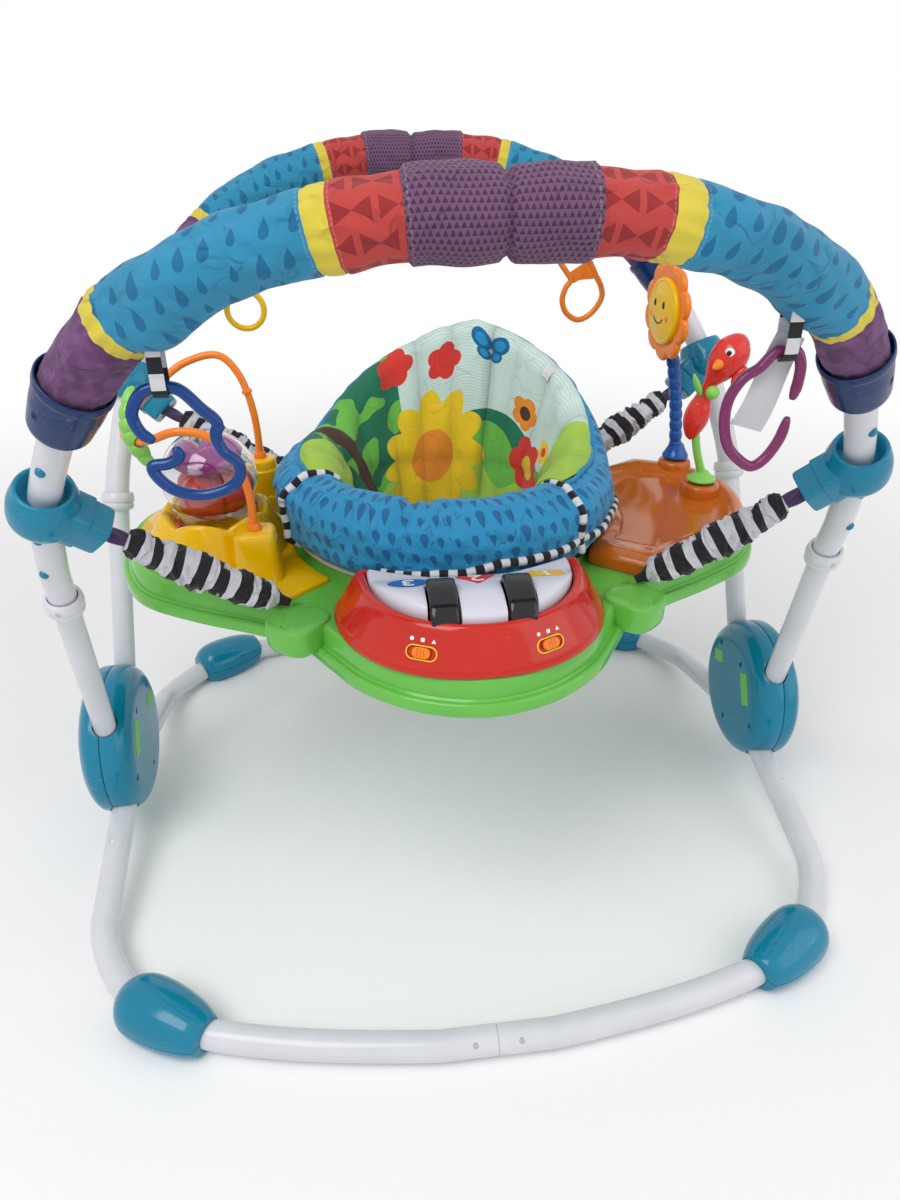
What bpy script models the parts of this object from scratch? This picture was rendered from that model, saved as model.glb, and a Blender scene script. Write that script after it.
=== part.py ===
"""Baby activity jumper: a tube frame with two padded arches, four bounce springs and a toy tray.

Metres, +Z up, +X to the right as seen from the front, -Y to the front. The origin is on the
floor, midway between the two hubs.
"""
import math

import bmesh
import bpy
from mathutils import Matrix, Vector

# Fits
GAP = 0.0003
RUNNING_GAP = 0.0012

# Frame
BASE_TUBE_RADIUS = 0.0155
UPRIGHT_RADIUS = 0.0135
ARCH_TUBE_RADIUS = 0.0145
TUBE_WALL = 0.0012
HUB_CENTRE = Vector((0.440, 0.0, 0.132))
HUB_RADIUS = 0.096
HUB_HALF_THICKNESS = 0.035
HUB_WALL = 0.003
COLLAR_POINT = Vector((0.4165, -0.1365, 0.415))
UPRIGHT_FOOT = Vector((0.4365, -0.0490, 0.156))
FOOT_CENTRE = Vector((0.3445, -0.3490, 0.0235))
FOOT_LENGTH = 0.108

# The right-hand front quarter of the base loop, from inside the hub to the middle of the front bar
BASE_ROUTE = [
    (0.4330, -0.022, 0.0800), (0.4312, -0.110, 0.0620), (0.4312, -0.192, 0.0410),
    (0.4290, -0.238, 0.0285), (0.4080, -0.286, 0.0215), (0.3720, -0.329, 0.0190),
    (0.3150, -0.366, 0.0190), (0.2030, -0.396, 0.0190), (0.0600, -0.416, 0.0190),
    (0.0002, -0.416, 0.0190),
]

# The right-hand half of the front arch, from the collar to the middle
ARCH_ROUTE = [
    (0.4088, -0.163, 0.470), (0.3870, -0.204, 0.552), (0.3450, -0.249, 0.635),
    (0.3160, -0.273, 0.680), (0.2620, -0.310, 0.733), (0.1900, -0.341, 0.772),
    (0.1150, -0.358, 0.793), (0.0550, -0.363, 0.8005), (0.0002, -0.363, 0.8005),
]

# Spring housings, cups and sleeves
HOUSING_CENTRE = Vector((0.3875, -0.2035, 0.550))
HOUSING_WAY = Vector((-0.289, -0.444, 0.848))
HOUSING_RADIUS = 0.033
HOUSING_HEIGHT = 0.050
NOSE_END = Vector((0.346, -0.188, 0.514))
NOSE_WIDTH = 0.042
CUP_LOW = Vector((0.3450, -0.249, 0.635))
CUP_HIGH = Vector((0.3165, -0.2725, 0.6795))
POD_CENTRE = Vector((0.1745, -0.2010, 0.3990))
SLEEVE_END = Vector((0.183, -0.175, 0.4180))
SLEEVE_RADIUS = 0.0175
SPRING_RADIUS = 0.0075
SPRING_WIRE = 0.0011
SPRING_TURNS = 3

# Arch pads
PAD_RADIUS = 0.0275
WRAP_RADIUS = 0.0315
PAD_FOAM = 0.0095
WRAP_HALF_LENGTH = 0.074

# Tray, with every height above the floor
TRAY_TOP = 0.411
TRAY_BOTTOM = 0.375
TRAY_WALL = 0.003
COLLAR_RADIUS = 0.176
STATION_INNER_RADIUS = 0.1865
STATION_BASE = TRAY_TOP + GAP

# Seat
SEAT_TURN = math.radians(-20)
ROLL_RADIUS = 0.163
SEAT_PAD_BOTTOM = 0.4301
SLING_BOTTOM = 0.255

# Piano
PIANO_Y = -0.190
PIANO_FRONT = -0.3285
PIANO_RIM_FRONT = -0.3120
WELL_X = 0.1040
WELL_FRONT = -0.3030
WELL_BACK = 0.2155
KEY_BACK = -0.2160
PIANO_BOTTOM = TRAY_TOP + GAP
PIANO_RIM = 0.457
PIANO_FLOOR = 0.440
KEY_BOTTOM = 0.4447
BAR_X = 0.036
BAR_FRONT = -0.3005
BAR_BACK = -0.2500

# Toys on the tray
GLOBE_CENTRE = Vector((-0.270, -0.020, 0.500))
GLOBE_RADIUS = 0.053
GLOBE_WALL = 0.0018
POST_FRONT = Vector((-0.2175, -0.1040, 0.470))
POST_REAR = Vector((-0.2220, 0.0840, 0.482))
WIRE_RADIUS = 0.0045
WIRE_ARC_CENTRE = Vector((-0.270, 0.0, 0.600))
WIRE_ARC_RADIUS = 0.098
SUN_BASE = Vector((0.3280, 0.1180, 0.4400))
SUN_HEAD = Vector((0.2920, 0.1150, 0.6360))
BIRD_BASE = Vector((0.3320, 0.0320, 0.4400))
TOY_PIVOT = [(0.0, 0.0), (0.0028, 0.0012), (0.0040, 0.0032)]

# Toys on the arches: each hangs by a bar that lies along X in its loop
BLUE_BAR = Vector((-0.2450, -0.3185, 0.6840))
PURPLE_BAR = Vector((0.2265, -0.3265, 0.6950))
YELLOW_BAR = Vector((-0.2431, 0.3200, 0.6380))
ORANGE_BAR = Vector((0.2240, 0.3230, 0.6720))
LOOP_HALF_GAP = 0.0080
LOOP_BAND = 0.0016
LOOP_WIDTH = 0.012

CORNERS = {
    "front_left": (-1, 1), "front_right": (1, 1),
    "rear_left": (-1, -1), "rear_right": (1, -1),
}


def linear(code):
    """A six-digit screen colour as the linear values that a shader takes."""
    screen = [int(code[i:i + 2], 16) / 255 for i in (0, 2, 4)]
    return [v / 12.92 if v <= 0.04045 else ((v + 0.055) / 1.055) ** 2.4 for v in screen]


def paint(name, code, roughness=0.3, metallic=0.0, alpha=1.0):
    material = bpy.data.materials.new(name)
    material.use_nodes = True
    shader = material.node_tree.nodes["Principled BSDF"]
    shader.inputs["Base Color"].default_value = (*linear(code), 1.0)
    shader.inputs["Roughness"].default_value = roughness
    shader.inputs["Metallic"].default_value = metallic
    shader.inputs["Alpha"].default_value = alpha
    return material


def clear_scene():
    for item in list(bpy.data.objects):
        bpy.data.objects.remove(item, do_unlink=True)


def add_object(name, mesh, material=None, matrix=None, smooth_angle=40):
    """A named object from a mesh. Without a material it is a hidden guide or cutter."""
    item = bpy.data.objects.new(name, mesh)
    bpy.context.scene.collection.objects.link(item)
    if matrix is not None:
        item.matrix_world = matrix
    if material is None:
        item.hide_render = True
        item.display_type = "WIRE"
    else:
        mesh.materials.clear()
        mesh.materials.append(material)
        mesh.shade_smooth()
        mesh.set_sharp_from_angle(angle=math.radians(smooth_angle))
    return item


def to_mesh(name, work, closed=True):
    """Finishes a bmesh. A closed one gets its faces pointing out."""
    if closed:
        bmesh.ops.recalc_face_normals(work, faces=work.faces)
    mesh = bpy.data.meshes.new(name)
    work.to_mesh(mesh)
    work.free()
    return mesh


def combine(target, other, operation):
    """Adds a Boolean to target and hides the other object."""
    other.hide_render = True
    other.display_type = "WIRE"
    step = target.modifiers.new(operation.lower(), "BOOLEAN")
    step.operation = operation
    step.solver = "EXACT"
    step.object = other


def cut(target, cutter):
    combine(target, cutter, "DIFFERENCE")


def fuse(target, other):
    combine(target, other, "UNION")


def thicken(target, thickness, offset=-1.0):
    """Gives an open skin a wall: offset -1 puts the wall inside, +1 outside."""
    step = target.modifiers.new("wall", "SOLIDIFY")
    step.thickness = thickness
    step.offset = offset
    step.use_even_offset = True


def round_edges(target, width):
    step = target.modifiers.new("round", "BEVEL")
    step.width = width
    step.segments = 1
    step.limit_method = "ANGLE"
    step.angle_limit = math.radians(50)


def set_origin(item, point):
    """Moves an object's origin to a point and leaves its shape where it is."""
    item.data.transform(Matrix.Translation(item.location - Vector(point)))
    item.location = point


def axes_matrix(origin, z_axis, x_hint=(0, 0, 1)):
    """A frame with its Z along z_axis and its X as near x_hint as can be."""
    z_axis = Vector(z_axis).normalized()
    y_axis = z_axis.cross(Vector(x_hint)).normalized()
    x_axis = y_axis.cross(z_axis)
    turn = Matrix((x_axis, y_axis, z_axis)).transposed()
    return Matrix.Translation(origin) @ turn.to_4x4()


def at_corner(point, side, end):
    """A point of the right-hand front quarter, moved to another quarter."""
    return Vector((point[0] * side, point[1] * end, point[2]))


def smooth_path(points, steps):
    """Points on a smooth curve through the given ones, with so many steps between two."""
    points = [Vector(p) for p in points]
    ends = [2 * points[0] - points[1]] + points + [2 * points[-1] - points[-2]]
    path = []
    for a, b, c, d in zip(ends, ends[1:], ends[2:], ends[3:]):
        for step in range(steps):
            t = step / steps
            path.append(0.5 * (2 * b + (c - a) * t + (2 * a - 5 * b + 4 * c - d) * t ** 2
                               + (3 * b - a - 3 * c + d) * t ** 3))
    return path + [points[-1]]


def tube_mesh(points, radius, sides=8, scales=None, closed=False, caps=True):
    """A curve with a round bevel, read as a mesh."""
    curve = bpy.data.curves.new("tube", "CURVE")
    curve.dimensions = "3D"
    curve.bevel_depth = radius
    curve.bevel_resolution = (sides - 4) // 2
    curve.use_fill_caps = caps and not closed
    spline = curve.splines.new("POLY")
    spline.points.add(len(points) - 1)
    for index, point in enumerate(points):
        spline.points[index].co = (*point, 1.0)
        spline.points[index].radius = scales[index] if scales else 1.0
    spline.use_cyclic_u = closed
    guide = bpy.data.objects.new("tube", curve)
    bpy.context.scene.collection.objects.link(guide)
    bpy.context.view_layer.update()
    depsgraph = bpy.context.evaluated_depsgraph_get()
    mesh = bpy.data.meshes.new_from_object(guide.evaluated_get(depsgraph))
    bpy.data.objects.remove(guide)
    work = bmesh.new()
    work.from_mesh(mesh)
    bmesh.ops.remove_doubles(work, verts=work.verts, dist=1e-6)
    return to_mesh("tube", work)


def turned_mesh(profile, sides, ring=False):
    """A profile of (radius, height) points spun round Z. A ring profile closes on itself."""
    work = bmesh.new()
    verts = [work.verts.new((radius, 0.0, height)) for radius, height in profile]
    edges = [work.edges.new(pair) for pair in zip(verts, verts[1:])]
    if ring:
        edges.append(work.edges.new((verts[-1], verts[0])))
    bmesh.ops.spin(work, geom=verts + edges, cent=(0, 0, 0), axis=(0, 0, 1),
                   angle=2 * math.pi, steps=sides, use_merge=True)
    bmesh.ops.remove_doubles(work, verts=work.verts, dist=1e-6)
    return to_mesh("turned", work)


def loft_mesh(rings, around=False, first_cap=False, last_cap=False):
    """A skin over rings of points. around joins the last ring to the first."""
    work = bmesh.new()
    loops = [[work.verts.new(point) for point in ring] for ring in rings]
    pairs = list(zip(loops, loops[1:]))
    if around:
        pairs.append((loops[-1], loops[0]))
    for low, high in pairs:
        for i in range(len(low)):
            j = (i + 1) % len(low)
            work.faces.new((low[i], low[j], high[j], high[i]))
    if first_cap:
        work.faces.new(loops[0][::-1])
    if last_cap:
        work.faces.new(loops[-1])
    return to_mesh("loft", work, closed=around or (first_cap and last_cap))


def box_mesh(low, high):
    work = bmesh.new()
    bmesh.ops.create_cube(work, size=1.0)
    low = Vector(low)
    high = Vector(high)
    size = high - low
    bmesh.ops.transform(work, verts=work.verts,
                        matrix=Matrix.Translation((low + high) / 2) @ Matrix.Diagonal((*size, 1.0)))
    return to_mesh("box", work)


def prism_mesh(outline, low, high):
    """A flat outline raised from one height to another."""
    rings = [[(x, y, z) for x, y in outline] for z in (low, high)]
    return loft_mesh(rings, first_cap=True, last_cap=True)


def ball_mesh(radii, sides=10, rows=7):
    """A ball or an egg about the origin, with a radius along each axis."""
    work = bmesh.new()
    bmesh.ops.create_uvsphere(work, u_segments=sides, v_segments=rows, radius=1.0)
    bmesh.ops.transform(work, verts=work.verts, matrix=Matrix.Diagonal((*radii, 1.0)))
    return to_mesh("ball", work)


def superellipse(angle, half_x, front, back, power):
    """A point of a rounded D: half_x wide, with its own depth to the front and to the back."""
    c = math.cos(angle)
    s = math.sin(angle)
    x = math.copysign(abs(c) ** (2 / power), c) * half_x
    y = math.copysign(abs(s) ** (2 / power), s) * (back if s > 0 else front)
    return x, y


# The frame


def base_route(side, end):
    return [at_corner(p, side, end) for p in BASE_ROUTE]


def upright_direction(side, end):
    return at_corner((COLLAR_POINT - UPRIGHT_FOOT).normalized(), side, end)


def arch_route(side, end):
    """From the collar's socket, straight at first, to the middle of the arch."""
    collar = at_corner(COLLAR_POINT, side, end)
    way = upright_direction(side, end)
    return [collar - 0.0015 * way, collar + 0.014 * way] + [at_corner(p, side, end) for p in ARCH_ROUTE]


def build_base_tube(name, side, end, finish):
    mesh = tube_mesh(base_route(side, end), BASE_TUBE_RADIUS, 8, caps=False)
    tube = add_object(name, mesh, finish)
    thicken(tube, TUBE_WALL)
    return tube


def build_upright(name, side, end, finish):
    """The straight tube from the hub, with the collar that takes the arch tube on its top."""
    length = (COLLAR_POINT - UPRIGHT_FOOT).length
    bore = UPRIGHT_RADIUS - TUBE_WALL
    socket = (ARCH_TUBE_RADIUS + GAP) / math.cos(math.pi / 8)
    profile = [
        (bore, 0.0), (UPRIGHT_RADIUS, 0.0), (UPRIGHT_RADIUS, length - 0.014),
        (0.0190, length - 0.012), (0.0205, length + 0.002), (0.0190, length + 0.009),
        (socket, length + 0.009), (socket, length - 0.002), (bore, length - 0.002),
    ]
    frame = axes_matrix(at_corner(UPRIGHT_FOOT, side, end), upright_direction(side, end))
    return add_object(name, turned_mesh(profile, 8, ring=True), finish, frame)


def build_arch_tube(name, side, end, finish):
    tube = add_object(name, tube_mesh(arch_route(side, end), ARCH_TUBE_RADIUS, 8, caps=False), finish)
    thicken(tube, TUBE_WALL)
    return tube


def arch_clearance(side, end):
    """The room that the arch tube needs in what sits on it."""
    route = arch_route(side, end)
    return add_object("arch_clearance", tube_mesh(route, ARCH_TUBE_RADIUS + GAP, 8))


def base_clearance(side, end):
    route = base_route(side, end)
    return add_object("base_clearance", tube_mesh(route, BASE_TUBE_RADIUS + GAP, 8))


def upright_clearance(side, end):
    start = at_corner(UPRIGHT_FOOT, side, end) - 0.001 * upright_direction(side, end)
    stop = at_corner(COLLAR_POINT, side, end)
    radius = (UPRIGHT_RADIUS + GAP) / math.cos(math.pi / 8)
    return add_object("upright_clearance", tube_mesh([start, stop], radius, 8))


def build_foot(name, side, end, finish):
    """An egg-shaped foot clamped round the bend of the base tube, cut flat on the floor."""
    half = FOOT_LENGTH / 2
    profile = [
        (0.0, -half), (0.0215, -half), (0.0290, -half + 0.009), (0.0350, -half + 0.036),
        (0.0325, -half + 0.072), (0.0215, half), (0.0, half),
    ]
    along = at_corner((-0.098, -0.064, 0.0), side, end)
    frame = axes_matrix(at_corner(FOOT_CENTRE, side, end), along)
    work = bmesh.new()
    work.from_mesh(turned_mesh(profile, 10))
    bmesh.ops.transform(work, matrix=frame, verts=work.verts)
    parts = work.verts[:] + work.edges[:] + work.faces[:]
    sliced = bmesh.ops.bisect_plane(work, geom=parts, plane_co=(0, 0, 0), plane_no=(0, 0, -1),
                                    clear_outer=True)
    rim = [e for e in sliced["geom_cut"] if isinstance(e, bmesh.types.BMEdge)]
    bmesh.ops.contextual_create(work, geom=rim)
    foot = add_object(name, to_mesh(name, work), finish)
    cut(foot, base_clearance(side, end))
    return foot


def build_hub(side, finish):
    """Two shells that clamp the ends of four tubes, with their seam in the plane of the tubes."""
    side_name = "left" if side < 0 else "right"
    t = HUB_HALF_THICKNESS
    wall = HUB_WALL
    seam = GAP / 2
    lining = [
        (HUB_RADIUS, seam), (HUB_RADIUS - wall, seam), (HUB_RADIUS - wall, t - 0.024),
        (0.070, t - 0.005 - wall), (0.0, t - 0.005 - wall),
    ]
    inner = [(0.0, t), (0.076, t), (0.090, t - 0.008), (HUB_RADIUS, t - 0.024)] + lining
    outer = [
        (0.0, t + 0.002), (0.056, t + 0.002), (0.059, t - 0.002), (0.078, t - 0.005),
        (HUB_RADIUS, t - 0.022),
    ] + lining
    centre = at_corner(HUB_CENTRE, side, 1)
    shells = []
    for word, profile, way in (("inner", inner, -side), ("outer", outer, side)):
        frame = axes_matrix(centre, (way, 0, 0))
        shell = add_object(f"hub_{side_name}_{word}_shell", turned_mesh(profile, 16), finish, frame)
        for end in (1, -1):
            cut(shell, base_clearance(side, end))
            cut(shell, upright_clearance(side, end))
        shells.append(shell)
    return shells


def build_housing(name, side, end, finish, webbing):
    """The spring housing: a rounded barrel on the tube and a square nose that holds the strap."""
    centre = at_corner(HOUSING_CENTRE, side, end)
    tube_way = at_corner(HOUSING_WAY, side, end).normalized()
    half = HOUSING_HEIGHT / 2
    barrel = [
        (0.0, -half), (0.0240, -half), (HOUSING_RADIUS, -half + 0.014), (HOUSING_RADIUS, 0.002),
        (0.0260, half), (0.0, half),
    ]
    housing = add_object(name, turned_mesh(barrel, 10), finish, axes_matrix(centre, tube_way))
    nose_way = (at_corner(NOSE_END, side, end) - centre)
    reach = nose_way.length
    nose_frame = axes_matrix(centre, nose_way, tube_way)
    step_at = reach - 0.020
    wide = NOSE_WIDTH / 2
    for inset, start, stop in ((0.0, 0.010, step_at), (0.0018, step_at - 0.001, reach)):
        w = wide - inset
        block = add_object("nose", box_mesh((-w - 0.001, -w, start), (w + 0.001, w, stop)), None, nose_frame)
        round_edges(block, 0.006)
        fuse(housing, block)
    mouth = [(0.0, 0.0), (ARCH_TUBE_RADIUS + 0.002, 0.0), (0.0215, 0.014), (0.0215, 0.030), (0.0, 0.030)]
    mouth_frame = axes_matrix(centre + tube_way * (half - 0.014), tube_way)
    cut(housing, add_object("mouth", turned_mesh(mouth, 8), None, mouth_frame))
    cut(housing, arch_clearance(side, end))
    strap_way = at_corner(SLEEVE_END - NOSE_END, side, end).normalized()
    strap_frame = axes_matrix(at_corner(NOSE_END, side, end), strap_way, (0, 0, 1))
    strap_mesh = box_mesh((-0.0013, -0.0085, -0.006), (0.0013, 0.0085, 0.021))
    strap = add_object("strap", strap_mesh, None, strap_frame)
    fuse(housing, strap)
    housing.data.materials.append(webbing)
    return housing


def build_cup(name, side, end, finish):
    """The end cup that takes the end of the arch's pad."""
    low = at_corner(CUP_LOW, side, end)
    high = at_corner(CUP_HIGH, side, end)
    length = (high - low).length
    profile = [
        (0.0, 0.0), (0.0220, 0.0), (0.0258, 0.004), (0.0315, length),
        (0.0290, length), (0.0280, length - 0.014), (0.0, length - 0.014),
    ]
    cup = add_object(name, turned_mesh(profile, 10), finish, axes_matrix(low, high - low))
    cut(cup, arch_clearance(side, end))
    return cup


def hanging_loop(bar, top):
    """A webbing loop whose bottom holds a toy's bar, with its legs up into the pad."""
    centre_z = bar.z + LOOP_HALF_GAP - 0.0058
    inner = LOOP_HALF_GAP
    outer = LOOP_HALF_GAP + LOOP_BAND
    turns = [math.pi + i * math.pi / 4 for i in range(5)]
    lines = []
    for radius, roof in ((outer, top), (inner, top - 0.004)):
        line = [(bar.y + radius * math.cos(t), centre_z + radius * math.sin(t)) for t in turns]
        lines.append([(bar.y - radius, roof)] + line + [(bar.y + radius, roof)])
    half = LOOP_WIDTH / 2
    rings = []
    for y_z_out, y_z_in in zip(*lines):
        rings.append([
            (bar.x - half, *y_z_out), (bar.x + half, *y_z_out),
            (bar.x + half, *y_z_in), (bar.x - half, *y_z_in),
        ])
    return add_object("hanging_loop", loft_mesh(rings, around=True))


def build_pad(name, end, bars, finish):
    """A foam pad on the arch with a thicker wrap in the middle and a webbing loop for each toy."""
    outer, *bends, crown, middle = [p for p in arch_route(1, end) if p.x < 0.3175]
    way = (crown - bends[-1]) / (crown.x - bends[-1].x)
    half_path = [outer + 0.012 * (at_corner(CUP_LOW, 1, end) - outer).normalized(), outer] + bends
    for x in (WRAP_HALF_LENGTH + 0.004, WRAP_HALF_LENGTH - 0.003):
        half_path.append(crown + way * (x - crown.x))
    half_path.append(Vector((0.012, middle.y, middle.z)))
    path = half_path + [Vector((0.0, middle.y, middle.z))]
    path += [Vector((-p.x, p.y, p.z)) for p in reversed(half_path)]
    scales = []
    for p in path:
        if abs(p.x) > 0.312:
            radius = 0.0262
        elif abs(p.x) < WRAP_HALF_LENGTH:
            radius = WRAP_RADIUS - (0.004 if abs(p.x) < 0.003 else 0.0)
        else:
            radius = PAD_RADIUS
        scales.append(radius / PAD_RADIUS)
    pad = add_object(name, tube_mesh(path, PAD_RADIUS, 8, scales, caps=False), finish)
    thicken(pad, PAD_FOAM)
    low, high = bends[:2]
    slope = (high.z - low.z) / (low.x - high.x)
    for bar in bars:
        middle_z = low.z + slope * (low.x - abs(bar.x))
        fuse(pad, hanging_loop(bar, middle_z - PAD_RADIUS * math.sqrt(1 + slope ** 2) + 0.008))
    return pad


def sleeve_frame(side, end):
    start = at_corner(NOSE_END, side, end)
    stop = at_corner(SLEEVE_END, side, end)
    way = (stop - start).normalized()
    return axes_matrix(start + 0.009 * way, way), (stop - start).length - 0.009


def build_sleeve(name, side, end, finish):
    """A ruched cloth sleeve: gathered at the nose, full in the middle, drawn in at the tray."""
    frame, length = sleeve_frame(side, end)
    sides = 8
    rings = []
    rows = 9
    for row in range(rows + 1):
        t = row / rows
        fullness = math.sin(math.pi * min(1.0, (t + 0.10) / 1.07)) ** 0.45
        radius = 0.0045 + (SLEEVE_RADIUS - 0.0045) * fullness
        if row == 0:
            radius = 0.0115
        ruched = 0.075 if 0 < row < rows else 0.0
        ring = []
        for i in range(sides):
            turn = 2 * math.pi * i / sides
            crease = 1 + ruched * math.sin(2.4 * row + 1.6 * math.sin(turn + 0.5 * row))
            ring.append((radius * crease * math.cos(turn), radius * crease * math.sin(turn), t * length))
        rings.append(ring)
    sleeve = add_object(name, loft_mesh(rings, first_cap=True, last_cap=True), finish, frame)
    bore = [(0.0, -0.002), (0.0100, -0.002), (0.0100, length - 0.040), (0.0, length - 0.040)]
    cut(sleeve, add_object("sleeve_bore", turned_mesh(bore, 8), None, frame))
    return sleeve


def build_spring(name, side, end, finish):
    """The coil inside the sleeve."""
    frame, length = sleeve_frame(side, end)
    start = 0.0145
    stop = length - 0.043
    per_turn = 6
    count = SPRING_TURNS * per_turn
    points = []
    for i in range(count + 1):
        turn = 2 * math.pi * i / per_turn
        along = start + (stop - start) * i / count
        points.append(Vector((SPRING_RADIUS * math.cos(turn), SPRING_RADIUS * math.sin(turn), along)))
    pitch = (stop - start) / SPRING_TURNS
    print(f"{name}: least gap between turns {1000 * (pitch - 2 * SPRING_WIRE):.2f} mm")
    return add_object(name, tube_mesh(points, SPRING_WIRE, 4), finish, frame)


def build_frame(paints):
    for name, (side, end) in CORNERS.items():
        build_base_tube(f"base_tube_{name}", side, end, paints["white_tube"])
        build_foot(f"base_foot_{name}", side, end, paints["teal"])
        build_upright(f"upright_{name}", side, end, paints["white_tube"])
        build_arch_tube(f"arch_tube_{name}", side, end, paints["white_tube"])
        build_housing(f"spring_housing_{name}", side, end, paints["teal"], paints["webbing"])
        build_cup(f"arch_cup_{name}", side, end, paints["dark_blue"])
        build_sleeve(f"spring_sleeve_{name}", side, end, paints["zebra"])
        build_spring(f"bounce_spring_{name}", side, end, paints["steel"])
    for side in (-1, 1):
        build_hub(side, paints["teal"])
    build_pad("arch_pad_front", 1, [BLUE_BAR, PURPLE_BAR], paints["pad_blue"])
    build_pad("arch_pad_rear", -1, [YELLOW_BAR, ORANGE_BAR], paints["pad_blue"])


# The tray and its stations


def tray_outline(count, inset=0.0):
    """The outer edge of the tray: a lobe in front, one at each side and a plain round back."""
    half = [
        (0.000, -0.3390), (0.062, -0.3240), (0.114, -0.2860), (0.146, -0.2400), (0.172, -0.2020),
        (0.219, -0.1680), (0.289, -0.1310), (0.350, -0.0880), (0.380, -0.0320), (0.391, 0.0350),
        (0.376, 0.1000), (0.325, 0.1500), (0.235, 0.1880), (0.120, 0.2180), (0.000, 0.2320),
    ]
    loop = half + [(-x, y) for x, y in reversed(half[1:-1])]
    fine = smooth_path([(x, y, 0.0) for x, y in loop[-2:] + loop + loop[:3]], 6)[12:-12]
    lengths = [0.0]
    for a, b in zip(fine, fine[1:]):
        lengths.append(lengths[-1] + (b - a).length)
    points = []
    step = 0
    for i in range(count):
        goal = lengths[-1] * i / count
        while lengths[step + 1] < goal:
            step += 1
        share = (goal - lengths[step]) / (lengths[step + 1] - lengths[step])
        points.append(fine[step].lerp(fine[step + 1], share))
    if not inset:
        return points
    moved = []
    for i, point in enumerate(points):
        tangent = (points[(i + 1) % count] - points[i - 1]).normalized()
        moved.append(point + Vector((-tangent.y, tangent.x, 0.0)) * inset)
    return moved


def at_height(points, height):
    return [Vector((p[0], p[1], height)) for p in points]


def build_tray(finish):
    """A shell with a stepped skirt, a collar round the seat hole and four pods for the straps."""
    count = 46
    edge = tray_outline(count)
    hole = [Vector((p.x, p.y, 0.0)).normalized() for p in edge]
    rings = [
        at_height(edge, TRAY_BOTTOM),
        at_height(edge, TRAY_BOTTOM + 0.014),
        at_height(tray_outline(count, 0.008), TRAY_BOTTOM + 0.017),
        at_height(tray_outline(count, 0.011), TRAY_TOP),
        at_height([h * (COLLAR_RADIUS + 0.003) for h in hole], TRAY_TOP),
        at_height([h * COLLAR_RADIUS for h in hole], TRAY_TOP + 0.014),
    ]
    tray = add_object("tray", loft_mesh(rings), finish, smooth_angle=50)
    thicken(tray, TRAY_WALL)
    for side, end in CORNERS.values():
        centre = at_corner(POD_CENTRE, side, end)
        outward = Vector((centre.x, centre.y, 0.0)).normalized()
        frame = axes_matrix(centre, (0, 0, 1), outward)
        pod_mesh = box_mesh((-0.030, -0.0285, -0.0160), (0.029, 0.0285, 0.0160))
        pod = add_object("pod", pod_mesh, None, frame)
        round_edges(pod, 0.010)
        fuse(tray, pod)
        slot = at_corner(SLEEVE_END, side, end)
        slot_frame = Matrix.Translation((slot.x - 0.010 * side, slot.y, centre.z + 0.0160))
        slot_mesh = box_mesh((-0.018, -0.0055, -0.010), (0.018, 0.0055, 0.004))
        cut(tray, add_object("slot", slot_mesh, None, slot_frame))
    return tray


def piano_ring(count, half_x, front, back_radius, height):
    """A kidney-shaped outline: a deep curve in front and a hollow back that clears the seat."""
    ring = []
    for i in range(count):
        turn = 2 * math.pi * i / count
        x, y = superellipse(turn, half_x, -front + PIANO_Y, 1.0, 2.15)
        if y > 0:
            y *= -math.sqrt(back_radius ** 2 - x ** 2) - PIANO_Y
        ring.append((x, PIANO_Y + y, height))
    return ring


def key_surface(y):
    """The height of the key tops: they fall away in a gentle curve towards the front."""
    share = (KEY_BACK - y) / 0.090
    return 0.4750 - 0.0150 * max(0.0, share) ** 1.6


def piano_slope(turn, share):
    """A point of the housing's sloping band, from its foot (share 0) to its rim (share 1)."""
    low = superellipse(turn, 0.1385, -PIANO_FRONT + PIANO_Y, 0.0, 2.15)
    high = superellipse(turn, 0.1135, -PIANO_RIM_FRONT + PIANO_Y, 0.0, 2.15)
    low = Vector((low[0], PIANO_Y + low[1], PIANO_BOTTOM + 0.005))
    high = Vector((high[0], PIANO_Y + high[1], PIANO_RIM - 0.003))
    return low.lerp(high, share)


def build_piano(finish, bar_finish):
    """The housing: a sloping front band, a well for the keys and two raised bars between them."""
    count = 28
    rings = [
        piano_ring(count, 0.1385, PIANO_FRONT, 0.2045, PIANO_BOTTOM),
        piano_ring(count, 0.1385, PIANO_FRONT, 0.2045, PIANO_BOTTOM + 0.005),
        piano_ring(count, 0.1135, PIANO_RIM_FRONT, 0.2085, PIANO_RIM - 0.003),
        piano_ring(count, 0.1090, PIANO_RIM_FRONT + 0.0040, 0.2115, PIANO_RIM),
        piano_ring(count, WELL_X + 0.0005, WELL_FRONT - 0.0005, WELL_BACK - 0.0005, PIANO_RIM - 0.001),
        piano_ring(count, WELL_X, WELL_FRONT, WELL_BACK, PIANO_FLOOR),
    ]
    housing = add_object("piano_housing", loft_mesh(rings, last_cap=True), finish, smooth_angle=50)
    thicken(housing, 0.002)
    for side in (-1, 1):
        bar = add_object("bar", box_mesh(
            (side * BAR_X - 0.0140, BAR_FRONT, PIANO_FLOOR - 0.0015),
            (side * BAR_X + 0.0140, BAR_BACK, PIANO_RIM + 0.024)))
        slope = [v for v in bar.data.vertices if v.co.z > PIANO_RIM and v.co.y < BAR_FRONT + 0.01]
        for v in slope:
            v.co.z -= 0.016
        round_edges(bar, 0.004)
        fuse(housing, bar)
    for seat in switch_seats().values():
        cut(housing, add_object("switch_recess", pill_mesh(0.0105, 0.0048, -0.0016, 0.010), None, seat))
    housing.data.materials.append(bar_finish)
    return housing


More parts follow.
